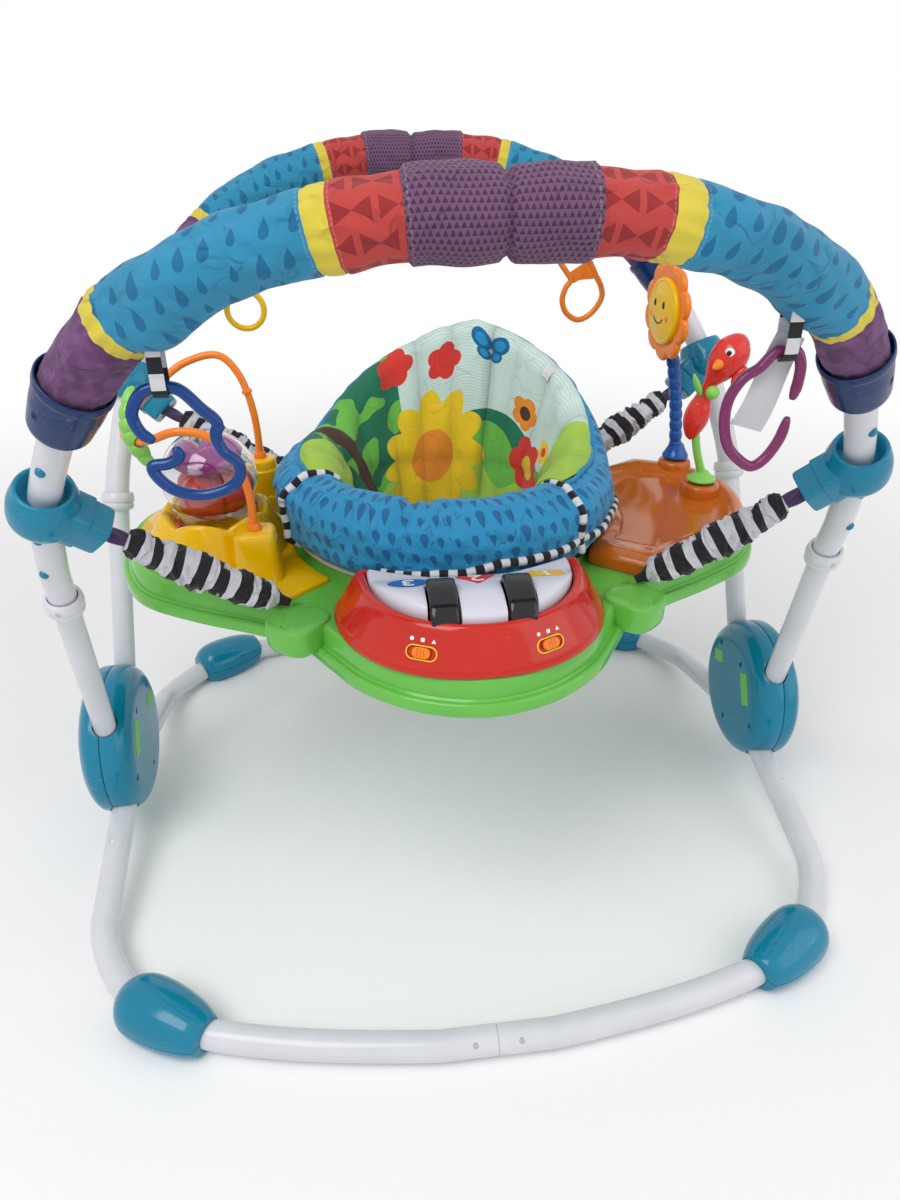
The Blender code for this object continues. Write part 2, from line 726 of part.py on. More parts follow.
def build_keys(finish):
    """Three keys cut from one D-shaped slab, each notched for the bars beside it."""
    count = 28
    inset = 0.0010
    split = BAR_X - 0.0006
    side_split = BAR_X + 0.0006
    bar_in = BAR_X - 0.0150
    bar_out = BAR_X + 0.0150
    front = -0.40
    back = -0.10
    bar_end = BAR_BACK + 0.0010
    right = [(0.12, front), (0.12, back), (side_split, back), (side_split, bar_end), (bar_out, bar_end),
             (bar_out, front)]
    middle = [(bar_in, front), (bar_in, bar_end), (split, bar_end), (split, back), (-split, back),
              (-split, bar_end), (-bar_in, bar_end), (-bar_in, front)]
    left = [(-x, y) for x, y in right]
    wall = piano_ring(count, WELL_X - inset, WELL_FRONT + inset, WELL_BACK + inset, 0.0)
    crest = piano_ring(count, WELL_X - 0.0045, WELL_FRONT + 0.0045, WELL_BACK + 0.0045, 0.0)
    crown = piano_ring(count, 0.0700, WELL_FRONT + 0.0300, 0.2300, 0.0)
    rings = [
        at_height(wall, KEY_BOTTOM),
        [(x, y, key_surface(y) - 0.0035) for x, y, _ in wall],
        [(x, y, key_surface(y)) for x, y, _ in crest],
        [(x, y, key_surface(y) + 0.0005) for x, y, _ in crown],
    ]
    for name, outline, x in (("left", left, -0.07), ("middle", middle, 0.0), ("right", right, 0.07)):
        key = add_object(f"piano_key_{name}", loft_mesh(rings, first_cap=True, last_cap=True), finish)
        combine(key, add_object("key_outline", prism_mesh(outline, 0.43, 0.50)), "INTERSECT")
        set_origin(key, (x, PIANO_Y, KEY_BOTTOM))


def switch_seats():
    """Frames on the housing's sloping front: X along the switch's travel, Z out of the slope."""
    seats = {}
    for name, angle in (("mode_switch", math.radians(-116)), ("volume_switch", math.radians(-64))):
        along = piano_slope(angle + 0.06, 0.42) - piano_slope(angle - 0.06, 0.42)
        up = piano_slope(angle, 0.6) - piano_slope(angle, 0.2)
        seats[name] = axes_matrix(piano_slope(angle, 0.42), along.cross(up), along)
    return seats


def pill_mesh(half_length, half_width, low, high):
    """An upright slab with round ends, long along X."""
    outline = []
    for side in (1, -1):
        for i in range(5):
            turn = -math.pi / 2 + math.pi * i / 4
            x = half_length - half_width + half_width * math.cos(turn)
            outline.append((side * x, side * half_width * math.sin(turn)))
    return prism_mesh(outline, low, high)


def build_switches(finish):
    for name, seat in switch_seats().items():
        add_object(name, pill_mesh(0.0062, 0.0042, -0.0012, 0.0028), finish, seat)


def sector_rings(side, heights, insets, back_angle, front_angle, margin):
    """Rings for a side station's plate: it fills the tray's side lobe, from the collar outwards."""
    count = 12
    rings = []
    for height, inset in zip(heights, insets):
        outer = tray_outline(128, margin + inset)
        ring = []
        low = front_angle + inset * 3
        high = back_angle - inset * 3
        for i in range(count):
            angle = low + (high - low) * i / (count - 1)
            way = Vector((math.cos(angle), math.sin(angle)))
            best = max(outer, key=lambda p: Vector((p.x, p.y)).normalized().dot(way))
            ring.append(way * Vector((best.x, best.y)).length)
        for i in range(6):
            angle = high + (low - high) * i / 5
            ring.append(Vector((math.cos(angle), math.sin(angle))) * (STATION_INNER_RADIUS + inset))
        rings.append([(side * p.x, p.y, height) for p in ring])
    return rings


def build_popper(finish):
    """The left station's base: a plate, a mound of petals for the globe and two posts."""
    rings = sector_rings(-1, (STATION_BASE, STATION_BASE + 0.0035, STATION_BASE + 0.005),
                         (0.0, 0.0, 0.002), math.radians(38), math.radians(-41), 0.021)
    plate = loft_mesh(rings, first_cap=True, last_cap=True)
    base = add_object("popper_base", plate, finish, smooth_angle=50)
    centre = Vector((GLOBE_CENTRE.x, GLOBE_CENTRE.y, 0.0))
    petals = []
    for radius, height in ((0.0780, STATION_BASE + 0.002), (0.0790, 0.425), (0.0700, 0.440),
                           (0.0610, 0.4535), (0.0560, 0.4550)):
        ring = []
        for i in range(30):
            turn = 2 * math.pi * i / 30
            reach = radius * (1 + 0.07 * math.cos(6 * turn) * (radius > 0.058))
            ring.append(centre + Vector((reach * math.cos(turn), reach * math.sin(turn), height)))
        petals.append(ring)
    fuse(base, add_object("petals", loft_mesh(petals, first_cap=True, last_cap=True)))
    post = [(0.0, 0.0), (0.0260, 0.0), (0.0215, 1.0), (0.0190, 1.06), (0.0, 1.06)]
    for top in (POST_FRONT, POST_REAR):
        foot = STATION_BASE + 0.002
        rise = (top.z - foot) / 1.06
        profile = [(radius, height * rise) for radius, height in post]
        matrix = Matrix.Translation((top.x, top.y, foot))
        fuse(base, add_object("post", turned_mesh(profile, 8), None, matrix))
    hollow = [(0.0, 0.405), (0.070, 0.405), (0.070, 0.424), (0.062, 0.438), (0.050, 0.449), (0.0, 0.449)]
    cut(base, add_object("mound_hollow", turned_mesh(hollow, 14), None, Matrix.Translation(centre)))
    return base


def build_globe(finish):
    """A clear dome over the spinner, open below where it stands on the mound."""
    profile = [(0.0450, 0.4553), (0.0475, 0.4640)]
    for i in range(5):
        turn = math.radians(-28 + 118 * i / 4)
        profile.append((GLOBE_RADIUS * math.cos(turn), GLOBE_CENTRE.z + GLOBE_RADIUS * math.sin(turn)))
    profile[-1] = (0.0, profile[-1][1])
    place = Matrix.Translation((GLOBE_CENTRE.x, GLOBE_CENTRE.y, 0.0))
    globe = add_object("popper_globe", turned_mesh(profile, 12), finish, place)
    thicken(globe, GLOBE_WALL)
    return globe


def build_spinner(finish):
    """Lobes round an upright spindle inside the globe."""
    centre = Vector((GLOBE_CENTRE.x, GLOBE_CENTRE.y, 0.0))
    spindle = [(0.0, 0.4560), (0.0160, 0.4560), (0.0070, 0.4760), (0.0070, 0.5300), (0.0, 0.5330)]
    spinner = add_object("popper_spinner", turned_mesh(spindle, 6), finish, Matrix.Translation(centre))
    for i in range(3):
        turn = 2 * math.pi * i / 3 - 1.2
        out = Vector((math.cos(turn), math.sin(turn), 0.0))
        low = axes_matrix(centre + out * 0.0210 + Vector((0, 0, 0.4850)), (0, 0, 1), out)
        fuse(spinner, add_object("red_lobe", ball_mesh((0.0190, 0.0170, 0.0200), 6, 4), None, low))
        out = Vector((math.cos(turn + 1.05), math.sin(turn + 1.05), 0.0))
        high = axes_matrix(centre + out * 0.0170 + Vector((0, 0, 0.5220)), (0, 0, 1), out)
        fuse(spinner, add_object("purple_petal", ball_mesh((0.0160, 0.0120, 0.0130), 6, 4), None, high))
    return spinner


def wire_axes():
    """The far end of the wire is a half circle in a plane that dips outwards."""
    outward = Vector((-0.885, 0.0, -0.466)).normalized()
    back = Vector((0.0, 0.989, 0.148))
    back = (back - outward * back.dot(outward)).normalized()
    return outward, back


def wire_route():
    outward, back = wire_axes()
    arc = []
    for i in range(11):
        turn = math.radians(-90 + 180 * i / 10)
        arc.append(WIRE_ARC_CENTRE + WIRE_ARC_RADIUS * (outward * math.cos(turn) + back * math.sin(turn)))
    front = smooth_path([
        POST_FRONT + Vector((0, 0, GAP)), POST_FRONT + Vector((-0.001, 0, 0.040)),
        POST_FRONT + Vector((-0.014, 0.002, 0.092)), arc[0]], 2)
    rear = smooth_path([
        arc[-1], POST_REAR + Vector((-0.014, 0.006, 0.104)),
        POST_REAR + Vector((-0.002, 0.002, 0.055)), POST_REAR + Vector((0, 0, GAP))], 2)
    return front[:-1] + arc + rear[1:]


def build_wire(finish):
    return add_object("wire_loop", tube_mesh(wire_route(), WIRE_RADIUS, 6), finish)


def build_slider(finish):
    """A ribbed crescent threaded on the wire."""
    outward, back = wire_axes()
    turn = math.radians(-40)
    point = WIRE_ARC_CENTRE + WIRE_ARC_RADIUS * (outward * math.cos(turn) + back * math.sin(turn))
    along = (back * math.cos(turn) - outward * math.sin(turn)).normalized()
    inward = (WIRE_ARC_CENTRE - point).normalized()
    up = along.cross(inward)
    if up.z < 0:
        up = -up
    points = []
    scales = []
    rows = 12
    for i in range(rows + 1):
        height = -0.031 + 0.086 * i / rows
        depth = 0.013 * ((height - 0.012) / 0.043) ** 2 - 0.001
        points.append(point + up * height + inward * depth)
        swell = 1.0 if i % 2 else 0.84
        taper = math.sin(math.pi * (i + 0.7) / (rows + 1.4)) ** 0.4
        scales.append(swell * taper)
    slider = add_object("loop_slider", tube_mesh(points, 0.0115, 8, scales), finish)
    reach = 0.016
    lead = [point + along * (reach * s) + inward * (reach ** 2 * abs(s) / 0.196) for s in (-1, 0, 1)]
    cut(slider, add_object("slider_bore", tube_mesh(lead, WIRE_RADIUS + 0.0016, 8)))
    set_origin(slider, WIRE_ARC_CENTRE)
    return slider


def build_dish(finish):
    """The right station: a shallow dish with a raised rim and two bosses for the stalks."""
    outer = sector_rings(1, (STATION_BASE, 0.4260), (0.0, 0.001),
                         math.radians(29), math.radians(-39), 0.014)
    centre = Vector((0.272, -0.012, 0.0))
    rings = list(outer)
    for share, height in ((0.92, 0.4320), (0.83, 0.4310), (0.70, 0.4240)):
        ring = []
        for x, y, _ in outer[1]:
            flat = centre.lerp(Vector((x, y, 0.0)), share)
            ring.append((flat.x, flat.y, height))
        rings.append(ring)
    dish = add_object("activity_dish", loft_mesh(rings, last_cap=True), finish, smooth_angle=60)
    thicken(dish, 0.0022)
    for base, radius in ((BIRD_BASE, 0.0245), (SUN_BASE, 0.0225)):
        top = base.z - GAP
        boss = [(0.0, 0.4190), (radius, 0.4190), (radius - 0.001, top - 0.003), (radius - 0.004, top),
                (0.0, top)]
        place = Matrix.Translation((base.x, base.y, 0.0))
        fuse(dish, add_object("boss", turned_mesh(boss, 12), None, place))
    return dish


def build_sun(finish, stalk_finish):
    """A sun on a jointed stalk, turned to face the seat."""
    way = SUN_HEAD - SUN_BASE
    cone = TOY_PIVOT + [(0.0175, 0.0032), (0.0155, 0.008), (0.0095, 0.021), (0.0, 0.021)]
    sun = add_object("sun_toy", turned_mesh(cone, 10), stalk_finish, Matrix.Translation(SUN_BASE))
    points = []
    scales = []
    for i in range(9):
        t = 0.06 + 0.87 * i / 8
        points.append(SUN_BASE + way * t + Vector((0.006, 0.0, 0.0)) * math.sin(math.pi * t))
        scales.append(1.0 if i % 2 == 0 else 0.82)
    fuse(sun, add_object("sun_stalk", tube_mesh(points, 0.0085, 6, scales)))
    face = Matrix.Rotation(math.radians(185), 4, "Z") @ Matrix.Rotation(math.radians(90), 4, "Y")
    rings = []
    for radius, height in ((0.052, -0.0060), (0.058, -0.0010), (0.054, 0.0040)):
        ring = []
        for i in range(40):
            turn = 2 * math.pi * i / 40
            reach = radius * (1 + 0.09 * math.cos(10 * turn))
            ring.append((reach * math.cos(turn), reach * math.sin(turn), height))
        rings.append(ring)
    place = Matrix.Translation(SUN_HEAD) @ face
    fuse(sun, add_object("sun_petals", loft_mesh(rings, first_cap=True, last_cap=True), None, place))
    disc = [(0.0, 0.001), (0.0405, 0.001), (0.0405, 0.0065), (0.0360, 0.0095), (0.0, 0.0115)]
    fuse(sun, add_object("sun_face", turned_mesh(disc, 14), None, place))
    sun.data.materials.append(finish)
    set_origin(sun, SUN_BASE + Vector((0, 0, 0.004)))
    return sun


def build_bird(finish, stalk_finish):
    """A two-lobed bird on a soft green stalk."""
    cone = TOY_PIVOT + [(0.0185, 0.0032), (0.0180, 0.006), (0.0080, 0.014), (0.0, 0.014)]
    bird = add_object("bird_toy", turned_mesh(cone, 10), stalk_finish, Matrix.Translation(BIRD_BASE))
    body = Vector((0.3150, 0.0360, 0.5190))
    neck = Vector((0.3241, 0.0330, 0.5610))
    head = Vector((0.3440, 0.0300, 0.5980))
    bend = BIRD_BASE.lerp(body, 0.5) + Vector((-0.002, 0, 0.003))
    stalk = [BIRD_BASE + Vector((0, 0, 0.009)), bend, body]
    fuse(bird, add_object("bird_stalk", tube_mesh(smooth_path(stalk, 2), 0.0050, 8)))
    fuse(bird, add_object("bird_body", ball_mesh((0.0175, 0.0165, 0.0240), 8, 5), None,
                          axes_matrix(body, neck - body)))
    fuse(bird, add_object("bird_neck", tube_mesh([body, neck, head], 0.0085, 8)))
    fuse(bird, add_object("bird_head", ball_mesh((0.0230, 0.0220, 0.0300), 8, 6), None,
                          axes_matrix(head, head - neck)))
    for offset, radii in (((0.001, -0.0140, -0.002), (0.0085, 0.0085, 0.0085)),
                          ((-0.008, -0.002, 0.006), (0.0060, 0.0080, 0.0140)),
                          ((0.014, 0.001, 0.008), (0.0140, 0.0090, 0.0090))):
        place = Matrix.Translation(neck + Vector(offset))
        fuse(bird, add_object("bird_detail", ball_mesh(radii, 6, 4), None, place))
    bird.data.materials.append(finish)
    set_origin(bird, BIRD_BASE + Vector((0, 0, 0.004)))
    return bird


# The seat


def seat_section(angle):
    """The seat cushion's section at an angle from the middle of the back: a roll, raised behind."""
    raised = max(0.0, 1 - (abs(angle) / math.radians(78)) ** 1.3)
    pucker = 1 - 0.045 * (0.5 + 0.5 * math.cos(12 * angle)) ** 4
    low_half = (0.0357 - 0.004 * raised) * pucker
    top_half = (0.0315 - 0.0190 * min(1.0, 2.2 * raised)) * pucker
    low_z = SEAT_PAD_BOTTOM + low_half
    top_z = 0.5145 + 0.104 * raised - top_half
    top_radius = ROLL_RADIUS + 0.012 * min(1.0, 2.0 * raised)
    points = []
    for i in range(5):
        turn = math.pi + math.pi * i / 4
        points.append((ROLL_RADIUS + low_half * math.cos(turn), low_z + low_half * math.sin(turn)))
    middle = (low_z + top_z) / 2
    swell = 0.5 * (low_half + top_half) + 0.0015
    points.append(((ROLL_RADIUS + top_radius) / 2 + swell, middle))
    for i in range(5):
        turn = math.pi * i / 4
        points.append((top_radius + top_half * math.cos(turn), top_z + top_half * math.sin(turn)))
    points.append(((ROLL_RADIUS + top_radius) / 2 - swell, middle))
    return points


def build_seat_pad(finish):
    """The padded cover: a thick roll round the front and sides that rises into the back."""
    count = 36
    back = math.pi / 2 + SEAT_TURN
    rings = []
    for i in range(count):
        angle = 2 * math.pi * i / count
        away = (angle + math.pi) % (2 * math.pi) - math.pi
        turn = back + angle
        rings.append([(r * math.cos(turn), r * math.sin(turn), z) for r, z in seat_section(away)])
    pad = add_object("seat_pad", loft_mesh(rings, around=True), finish, smooth_angle=70)
    set_origin(pad, (0, 0, TRAY_TOP))
    return pad


def build_seat_ring(finish):
    """The turning ring: it hangs in the tray's collar by its flange."""
    flange = TRAY_TOP + 0.014 + RUNNING_GAP
    top = flange + 0.0035
    profile = [
        (0.1500, 0.3950), (0.1580, 0.3950), (0.1600, flange), (0.1840, flange),
        (0.1825, top), (0.1500, top),
    ]
    ring = add_object("seat_ring", turned_mesh(profile, 26, ring=True), finish)
    set_origin(ring, (0, 0, TRAY_TOP))
    return ring


def build_sling(finish):
    """The cloth seat below the ring, with a hole for each leg."""
    count = 18
    rings = []
    for radius, height in ((0.0300, SLING_BOTTOM), (0.0900, 0.2740), (0.1290, 0.3200),
                           (0.1488, 0.3960), (0.1488, 0.4250)):
        ring = []
        for i in range(count):
            turn = 2 * math.pi * i / count
            fold = 1 - 0.012 * math.cos(8 * turn) * (0.28 < height < 0.39)
            ring.append((radius * fold * math.cos(turn), radius * fold * math.sin(turn), height))
        rings.append(ring)
    sling = add_object("seat_sling", loft_mesh(rings, first_cap=True), finish, smooth_angle=60)
    thicken(sling, 0.0025)
    front = -math.pi / 2 + SEAT_TURN
    for turn in (-0.62, 0.62):
        way = Vector((math.cos(front + turn), math.sin(front + turn), -0.30)).normalized()
        centre = Vector((0.0, 0.0, 0.343))
        leg = [(0.0, 0.030), (0.050, 0.030), (0.050, 0.180), (0.0, 0.180)]
        cut(sling, add_object("leg_hole", turned_mesh(leg, 12), None, axes_matrix(centre, way)))
    set_origin(sling, (0, 0, TRAY_TOP))
    return sling


# The hanging toys


def hung_path(bar, outline):
    """An outline in millimetres, to the right and down from the toy's bar, as points."""
    return [bar + Vector((x / 1000, 0.0, z / 1000)) for x, z in outline]


def build_open_link(name, bar, outline, radius, finish):
    path = hung_path(bar, outline)
    scales = [0.75] + [1.0] * (len(path) - 2) + [0.75]
    link = add_object(name, tube_mesh(path, radius, 6, scales), finish)
    set_origin(link, bar)
    return link


def build_hanging_toys(paints):
    blue = [
        (-11, -40), (-20, -33), (-24, -19), (-17, -5.5), (-6.5, 0), (6.5, 0), (15, -4), (26, -16.5),
        (36, -27.5), (34, -38.5), (38, -50), (47, -59), (48, -70), (39, -80), (19, -85), (0, -81),
        (-12, -71), (-16, -60), (-4, -58), (4.5, -53), (3, -45),
    ]
    build_open_link("blue_link", BLUE_BAR, blue, 0.0048, paints["link_blue"])
    purple = [
        (12.3, -38), (14.5, -24.6), (14, -10), (8.5, 0), (0, 0), (-8.5, 0), (-19, -11.7),
        (-31, -19.4), (-40, -35), (-41, -54), (-35, -74), (-23, -87), (-11.7, -92.6),
        (-1.3, -86), (7.8, -70), (11.7, -52),
    ]
    build_open_link("purple_link", PURPLE_BAR, purple, 0.0045, paints["purple"])
    circle = []
    for i in range(14):
        turn = 2 * math.pi * (i + 0.5) / 14 + math.pi / 2
        circle.append((25.5 * math.cos(turn), 25.5 * math.sin(turn) - 24.9))
    path = hung_path(YELLOW_BAR, circle)
    ring = add_object("yellow_ring", tube_mesh(path, 0.0042, 8, closed=True), paints["yellow"])
    set_origin(ring, YELLOW_BAR)
    key = [
        (-7, 0), (7, 0), (18, -1), (24, -9), (34, -27), (42, -41), (45, -56), (38, -71), (26, -83),
        (13, -88), (2, -85), (-9, -75), (-14, -59), (-10, -43), (-3, -32), (-9, -22), (-20, -7), (-18, -1),
    ]
    web = [(-5, -21), (21, -6), (32, -31), (10, -32), (0, -37)]
    path = hung_path(ORANGE_BAR, key)
    ring = add_object("orange_ring", tube_mesh(path, 0.0042, 8, closed=True), paints["wire_orange"])
    sides = [[p + Vector((0, y, 0)) for p in hung_path(ORANGE_BAR, web)] for y in (-0.0018, 0.0018)]
    fuse(ring, add_object("key_web", loft_mesh(sides, first_cap=True, last_cap=True)))
    set_origin(ring, ORANGE_BAR)


def build_stations(paints):
    build_tray(paints["green"])
    build_piano(paints["red"], paints["black"])
    build_keys(paints["key_white"])
    build_switches(paints["switch_orange"])
    build_popper(paints["yellow"])
    build_globe(paints["clear"])
    build_spinner(paints["red"])
    build_wire(paints["wire_orange"])
    build_slider(paints["leaf_green"])
    build_dish(paints["dish_orange"])
    build_sun(paints["wire_orange"], paints["link_blue"])
    build_bird(paints["red"], paints["leaf_green"])


def main():
    clear_scene()
    paints = {
        "teal": paint("teal", "1296AE", 0.25),
        "dark_blue": paint("dark_blue", "1A3E7C", 0.35),
        "white_tube": paint("white_tube", "D8D9E0", 0.3),
        "webbing": paint("webbing", "4A3560", 0.85),
        "zebra": paint("zebra", "9A9AA0", 0.9),
        "steel": paint("steel", "8A8C90", 0.35, 1.0),
        "pad_blue": paint("pad_blue", "3C9CC0", 0.9),
        "green": paint("green", "6BC04B", 0.25),
        "red": paint("red", "E0301E", 0.25),
        "black": paint("black", "1B1B1F", 0.15),
        "key_white": paint("key_white", "DADAE6", 0.3),
        "switch_orange": paint("switch_orange", "F5A21E", 0.35),
        "yellow": paint("yellow", "F5C400", 0.25),
        "clear": paint("clear", "E6F0F5", 0.05, alpha=0.35),
        "wire_orange": paint("wire_orange", "F58220", 0.3),
        "leaf_green": paint("leaf_green", "7DC242", 0.35),
        "dish_orange": paint("dish_orange", "E07A1E", 0.2),
        "link_blue": paint("link_blue", "1E55A5", 0.25),
        "purple": paint("purple", "8A2A6A", 0.25),
        "seat_blue": paint("seat_blue", "35A0DC", 0.9),
        "ring_grey": paint("ring_grey", "C9CCD2", 0.45),
        "sling_blue": paint("sling_blue", "2E6FA8", 0.95),
    }
    build_frame(paints)
    build_stations(paints)
    build_seat_ring(paints["ring_grey"])
    build_seat_pad(paints["seat_blue"])
    build_sling(paints["sling_blue"])
    build_hanging_toys(paints)


main()
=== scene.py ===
from math import atan, atan2, copysign, cos, exp, pi, radians, sin, sqrt, tau

import bpy
from mathutils import Matrix, Vector


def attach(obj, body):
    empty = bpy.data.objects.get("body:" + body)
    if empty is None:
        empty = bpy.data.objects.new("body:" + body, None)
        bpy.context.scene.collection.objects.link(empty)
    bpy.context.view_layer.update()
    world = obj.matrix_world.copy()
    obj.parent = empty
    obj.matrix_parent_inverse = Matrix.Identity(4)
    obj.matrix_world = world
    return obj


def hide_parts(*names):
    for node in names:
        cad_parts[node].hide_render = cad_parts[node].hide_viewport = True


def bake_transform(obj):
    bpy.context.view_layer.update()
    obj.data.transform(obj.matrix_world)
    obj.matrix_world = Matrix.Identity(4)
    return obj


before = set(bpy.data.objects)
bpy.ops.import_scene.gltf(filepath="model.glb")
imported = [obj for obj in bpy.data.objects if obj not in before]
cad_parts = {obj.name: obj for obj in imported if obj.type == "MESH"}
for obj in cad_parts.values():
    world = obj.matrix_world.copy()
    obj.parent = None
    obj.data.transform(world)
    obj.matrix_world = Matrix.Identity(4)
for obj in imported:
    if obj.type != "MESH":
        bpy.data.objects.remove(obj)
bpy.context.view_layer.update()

bl_info = {
    "name": "Baby activity jumper",
    "version": (1, 0, 0),
    "blender": (4, 5, 0),
    "location": "3D View > Sidebar > Jumper",
    "description": "Builds the visible pieces of a baby activity jumper over its packed frame",
    "category": "Add Mesh",
}

# Places that repeat the part's own, in metres
BASE_ROUTE = [(0.433, -0.022, 0.08), (0.4312, -0.11, 0.062), (0.4312, -0.192, 0.041), (0.429, -0.238, 0.0285),
    (0.408, -0.286, 0.0215), (0.372, -0.329, 0.019), (0.315, -0.366, 0.019), (0.203, -0.396, 0.019),
    (0.06, -0.416, 0.019), (0.0002, -0.416, 0.019)]
ARCH_ROUTE = [(0.4088, -0.163, 0.47), (0.387, -0.204, 0.552), (0.345, -0.249, 0.635), (0.316, -0.273, 0.68),
    (0.262, -0.31, 0.733), (0.19, -0.341, 0.772), (0.115, -0.358, 0.793), (0.055, -0.363, 0.8005),
    (0.0002, -0.363, 0.8005)]
TRAY = "tray_assembly"
TRAY_TOP = 0.4113
PLATE_TOP = 0.4163
HUB_CENTRE = Vector((0.44, 0.0, 0.132))
COLLAR_POINT = Vector((0.4165, -0.1365, 0.415))
UPRIGHT_FOOT = Vector((0.4365, -0.049, 0.156))
UPRIGHT_WAY = (COLLAR_POINT - UPRIGHT_FOOT).normalized()
FOOT_CENTRE = Vector((0.3445, -0.349, 0.0235))
HOUSING_CENTRE = Vector((0.3875, -0.2035, 0.55))
HOUSING_WAY = Vector((-0.289, -0.444, 0.848)).normalized()
NOSE_END = Vector((0.346, -0.188, 0.514))
CUP_LOW = Vector((0.345, -0.249, 0.635))
CUP_HIGH = Vector((0.3165, -0.2725, 0.6795))
SLEEVE_END = Vector((0.183, -0.175, 0.418))
POD_CENTRE = Vector((0.1745, -0.201, 0.399))
PIANO_Y = -0.19
KEY_MIDDLE = -0.262
GLOBE_CENTRE = Vector((-0.27, -0.02, 0.5))
POST_FRONT = Vector((-0.2175, -0.104, 0.47))
POST_REAR = Vector((-0.222, 0.084, 0.482))
WIRE_CENTRE = Vector((-0.27, 0.0, 0.6))
WIRE_ARC = 0.098
SUN_BASE = Vector((0.328, 0.118, 0.44))
SUN_HEAD = Vector((0.292, 0.115, 0.636))
BIRD_BASE = Vector((0.332, 0.032, 0.44))
BLUE_BAR = Vector((-0.245, -0.3185, 0.684))
PURPLE_BAR = Vector((0.2265, -0.3265, 0.695))
YELLOW_BAR = Vector((-0.2431, 0.32, 0.638))
ORANGE_BAR = Vector((0.224, 0.323, 0.672))
SEAT_BACK = radians(70)
CORNERS = {"front_left": (-1, 1), "front_right": (1, 1), "rear_left": (-1, -1), "rear_right": (1, -1)}


# Modelling


def linear(code):
    """A six-digit screen colour as the linear values that a shader takes."""
    screen = [int(code[i:i + 2], 16) / 255 for i in (0, 2, 4)]
    return tuple(v / 12.92 if v <= 0.04045 else ((v + 0.055) / 1.055) ** 2.4 for v in screen)


def only(*items):
    """Selects these objects alone; the first is the active one."""
    bpy.ops.object.select_all(action="DESELECT")
    for item in items:
        item.select_set(True)
    bpy.context.view_layer.objects.active = items[0]


def named(name):
    item = bpy.context.object
    item.name = name
    item.data.name = name
    return item


def open_mesh(item, mode="VERT"):
    """Starts editing an object with everything on it selected."""
    only(item)
    bpy.ops.object.mode_set(mode="EDIT")
    bpy.ops.mesh.select_mode(type=mode)
    bpy.ops.mesh.select_all(action="SELECT")


def close_mesh():
    bpy.ops.object.mode_set(mode="OBJECT")


def tidy_skin(item, gap=1e-06):
    """Merges doubles and turns the faces outwards."""
    open_mesh(item)
    bpy.ops.mesh.remove_doubles(threshold=gap)
    bpy.ops.mesh.select_all(action="SELECT")
    bpy.ops.mesh.normals_make_consistent(inside=False)
    close_mesh()
    return item


def modified(item, kind, **values):
    """Adds a modifier and applies it."""
    only(item)
    step = item.modifiers.new(kind.lower(), kind)
    for name, value in values.items():
        setattr(step, name, value)
    bpy.ops.object.modifier_apply(modifier=step.name)
    return item


def softened(item, width, segments=3, angle=40):
    return modified(item, "BEVEL", width=width, segments=segments, limit_method="ANGLE",
        angle_limit=radians(angle))


def carved(item, *cutters, operation="DIFFERENCE"):
    for cutter in cutters:
        modified(item, "BOOLEAN", operation=operation, solver="EXACT", object=cutter)
        bpy.data.objects.remove(cutter)
    return item


def twin(item, name, side=1, end=1):
    """A copy with its own mesh, mirrored to another quarter."""
    only(item)
    bpy.ops.object.duplicate()
    other = named(name)
    other.data.transform(Matrix.Diagonal((side, end, 1.0, 1.0)))
    if side * end < 0:
        other.data.flip_normals()
    return other


def axes(origin, z_axis, x_hint=(0, 0, 1)):
    """A place with its Z along z_axis and its X as near x_hint as can be."""
    z_axis = Vector(z_axis).normalized()
    y_axis = z_axis.cross(Vector(x_hint)).normalized()
    x_axis = y_axis.cross(z_axis)
    return Matrix.Translation(origin) @ Matrix((x_axis, y_axis, z_axis)).transposed().to_4x4()


def corner(point, side, end):
    return Vector((point[0] * side, point[1] * end, point[2]))


def smooth_path(points, steps, closed=False):
    """Points on a smooth curve through the given ones, with so many steps between two."""
    points = [Vector(p) for p in points]
    if closed:
        ends = [points[-1]] + points + points[:2]
    else:
        ends = [2 * points[0] - points[1]] + points + [2 * points[-1] - points[-2]]
    path = []
    for a, b, c, d in zip(ends, ends[1:], ends[2:], ends[3:]):
        for step in range(steps):
            t = step / steps
            path.append(0.5 * (2 * b + (c - a) * t + (2 * a - 5 * b + 4 * c - d) * t ** 2
                + (3 * b - a - 3 * c + d) * t ** 3))
    return path if closed else path + [points[-1]]


def even_path(points, count):
    """The same line with so many points, evenly spaced, and its length."""
    lengths = [0.0]
    for a, b in zip(points, points[1:]):
        lengths.append(lengths[-1] + (b - a).length)
    path = []
    step = 0
    for i in range(count):
        goal = lengths[-1] * i / (count - 1)
        while step < len(points) - 2 and lengths[step + 1] < goal:
            step += 1
        share = (goal - lengths[step]) / max(1e-09, lengths[step + 1] - lengths[step])
        path.append(points[step].lerp(points[step + 1], min(1.0, share)))
    return path, lengths[-1]


def eased(points, radius, steps=4, closed=False):
    """A line whose corners are rounded off."""
    points = [Vector(p) for p in points]
    count = len(points)
    line = []
    for i, point in enumerate(points):
        if not closed and i in (0, count - 1):
            line.append(point)
            continue
        before = points[i - 1] - point
        after = points[(i + 1) % count] - point
        a = point + before.normalized() * min(radius, before.length * 0.45)
        b = point + after.normalized() * min(radius, after.length * 0.45)
        for step in range(steps + 1):
            t = step / steps
            line.append(a * (1 - t) ** 2 + point * 2 * t * (1 - t) + b * t ** 2)
    return line


def rounded(outline, radius, steps=4, closed=False):
    """The same for a flat outline of number pairs."""
    return [(p.x, p.y) for p in eased([(x, y, 0.0) for x, y in outline], radius, steps, closed)]


def upwards(height):
    return Vector((0.0, 0.0, height))


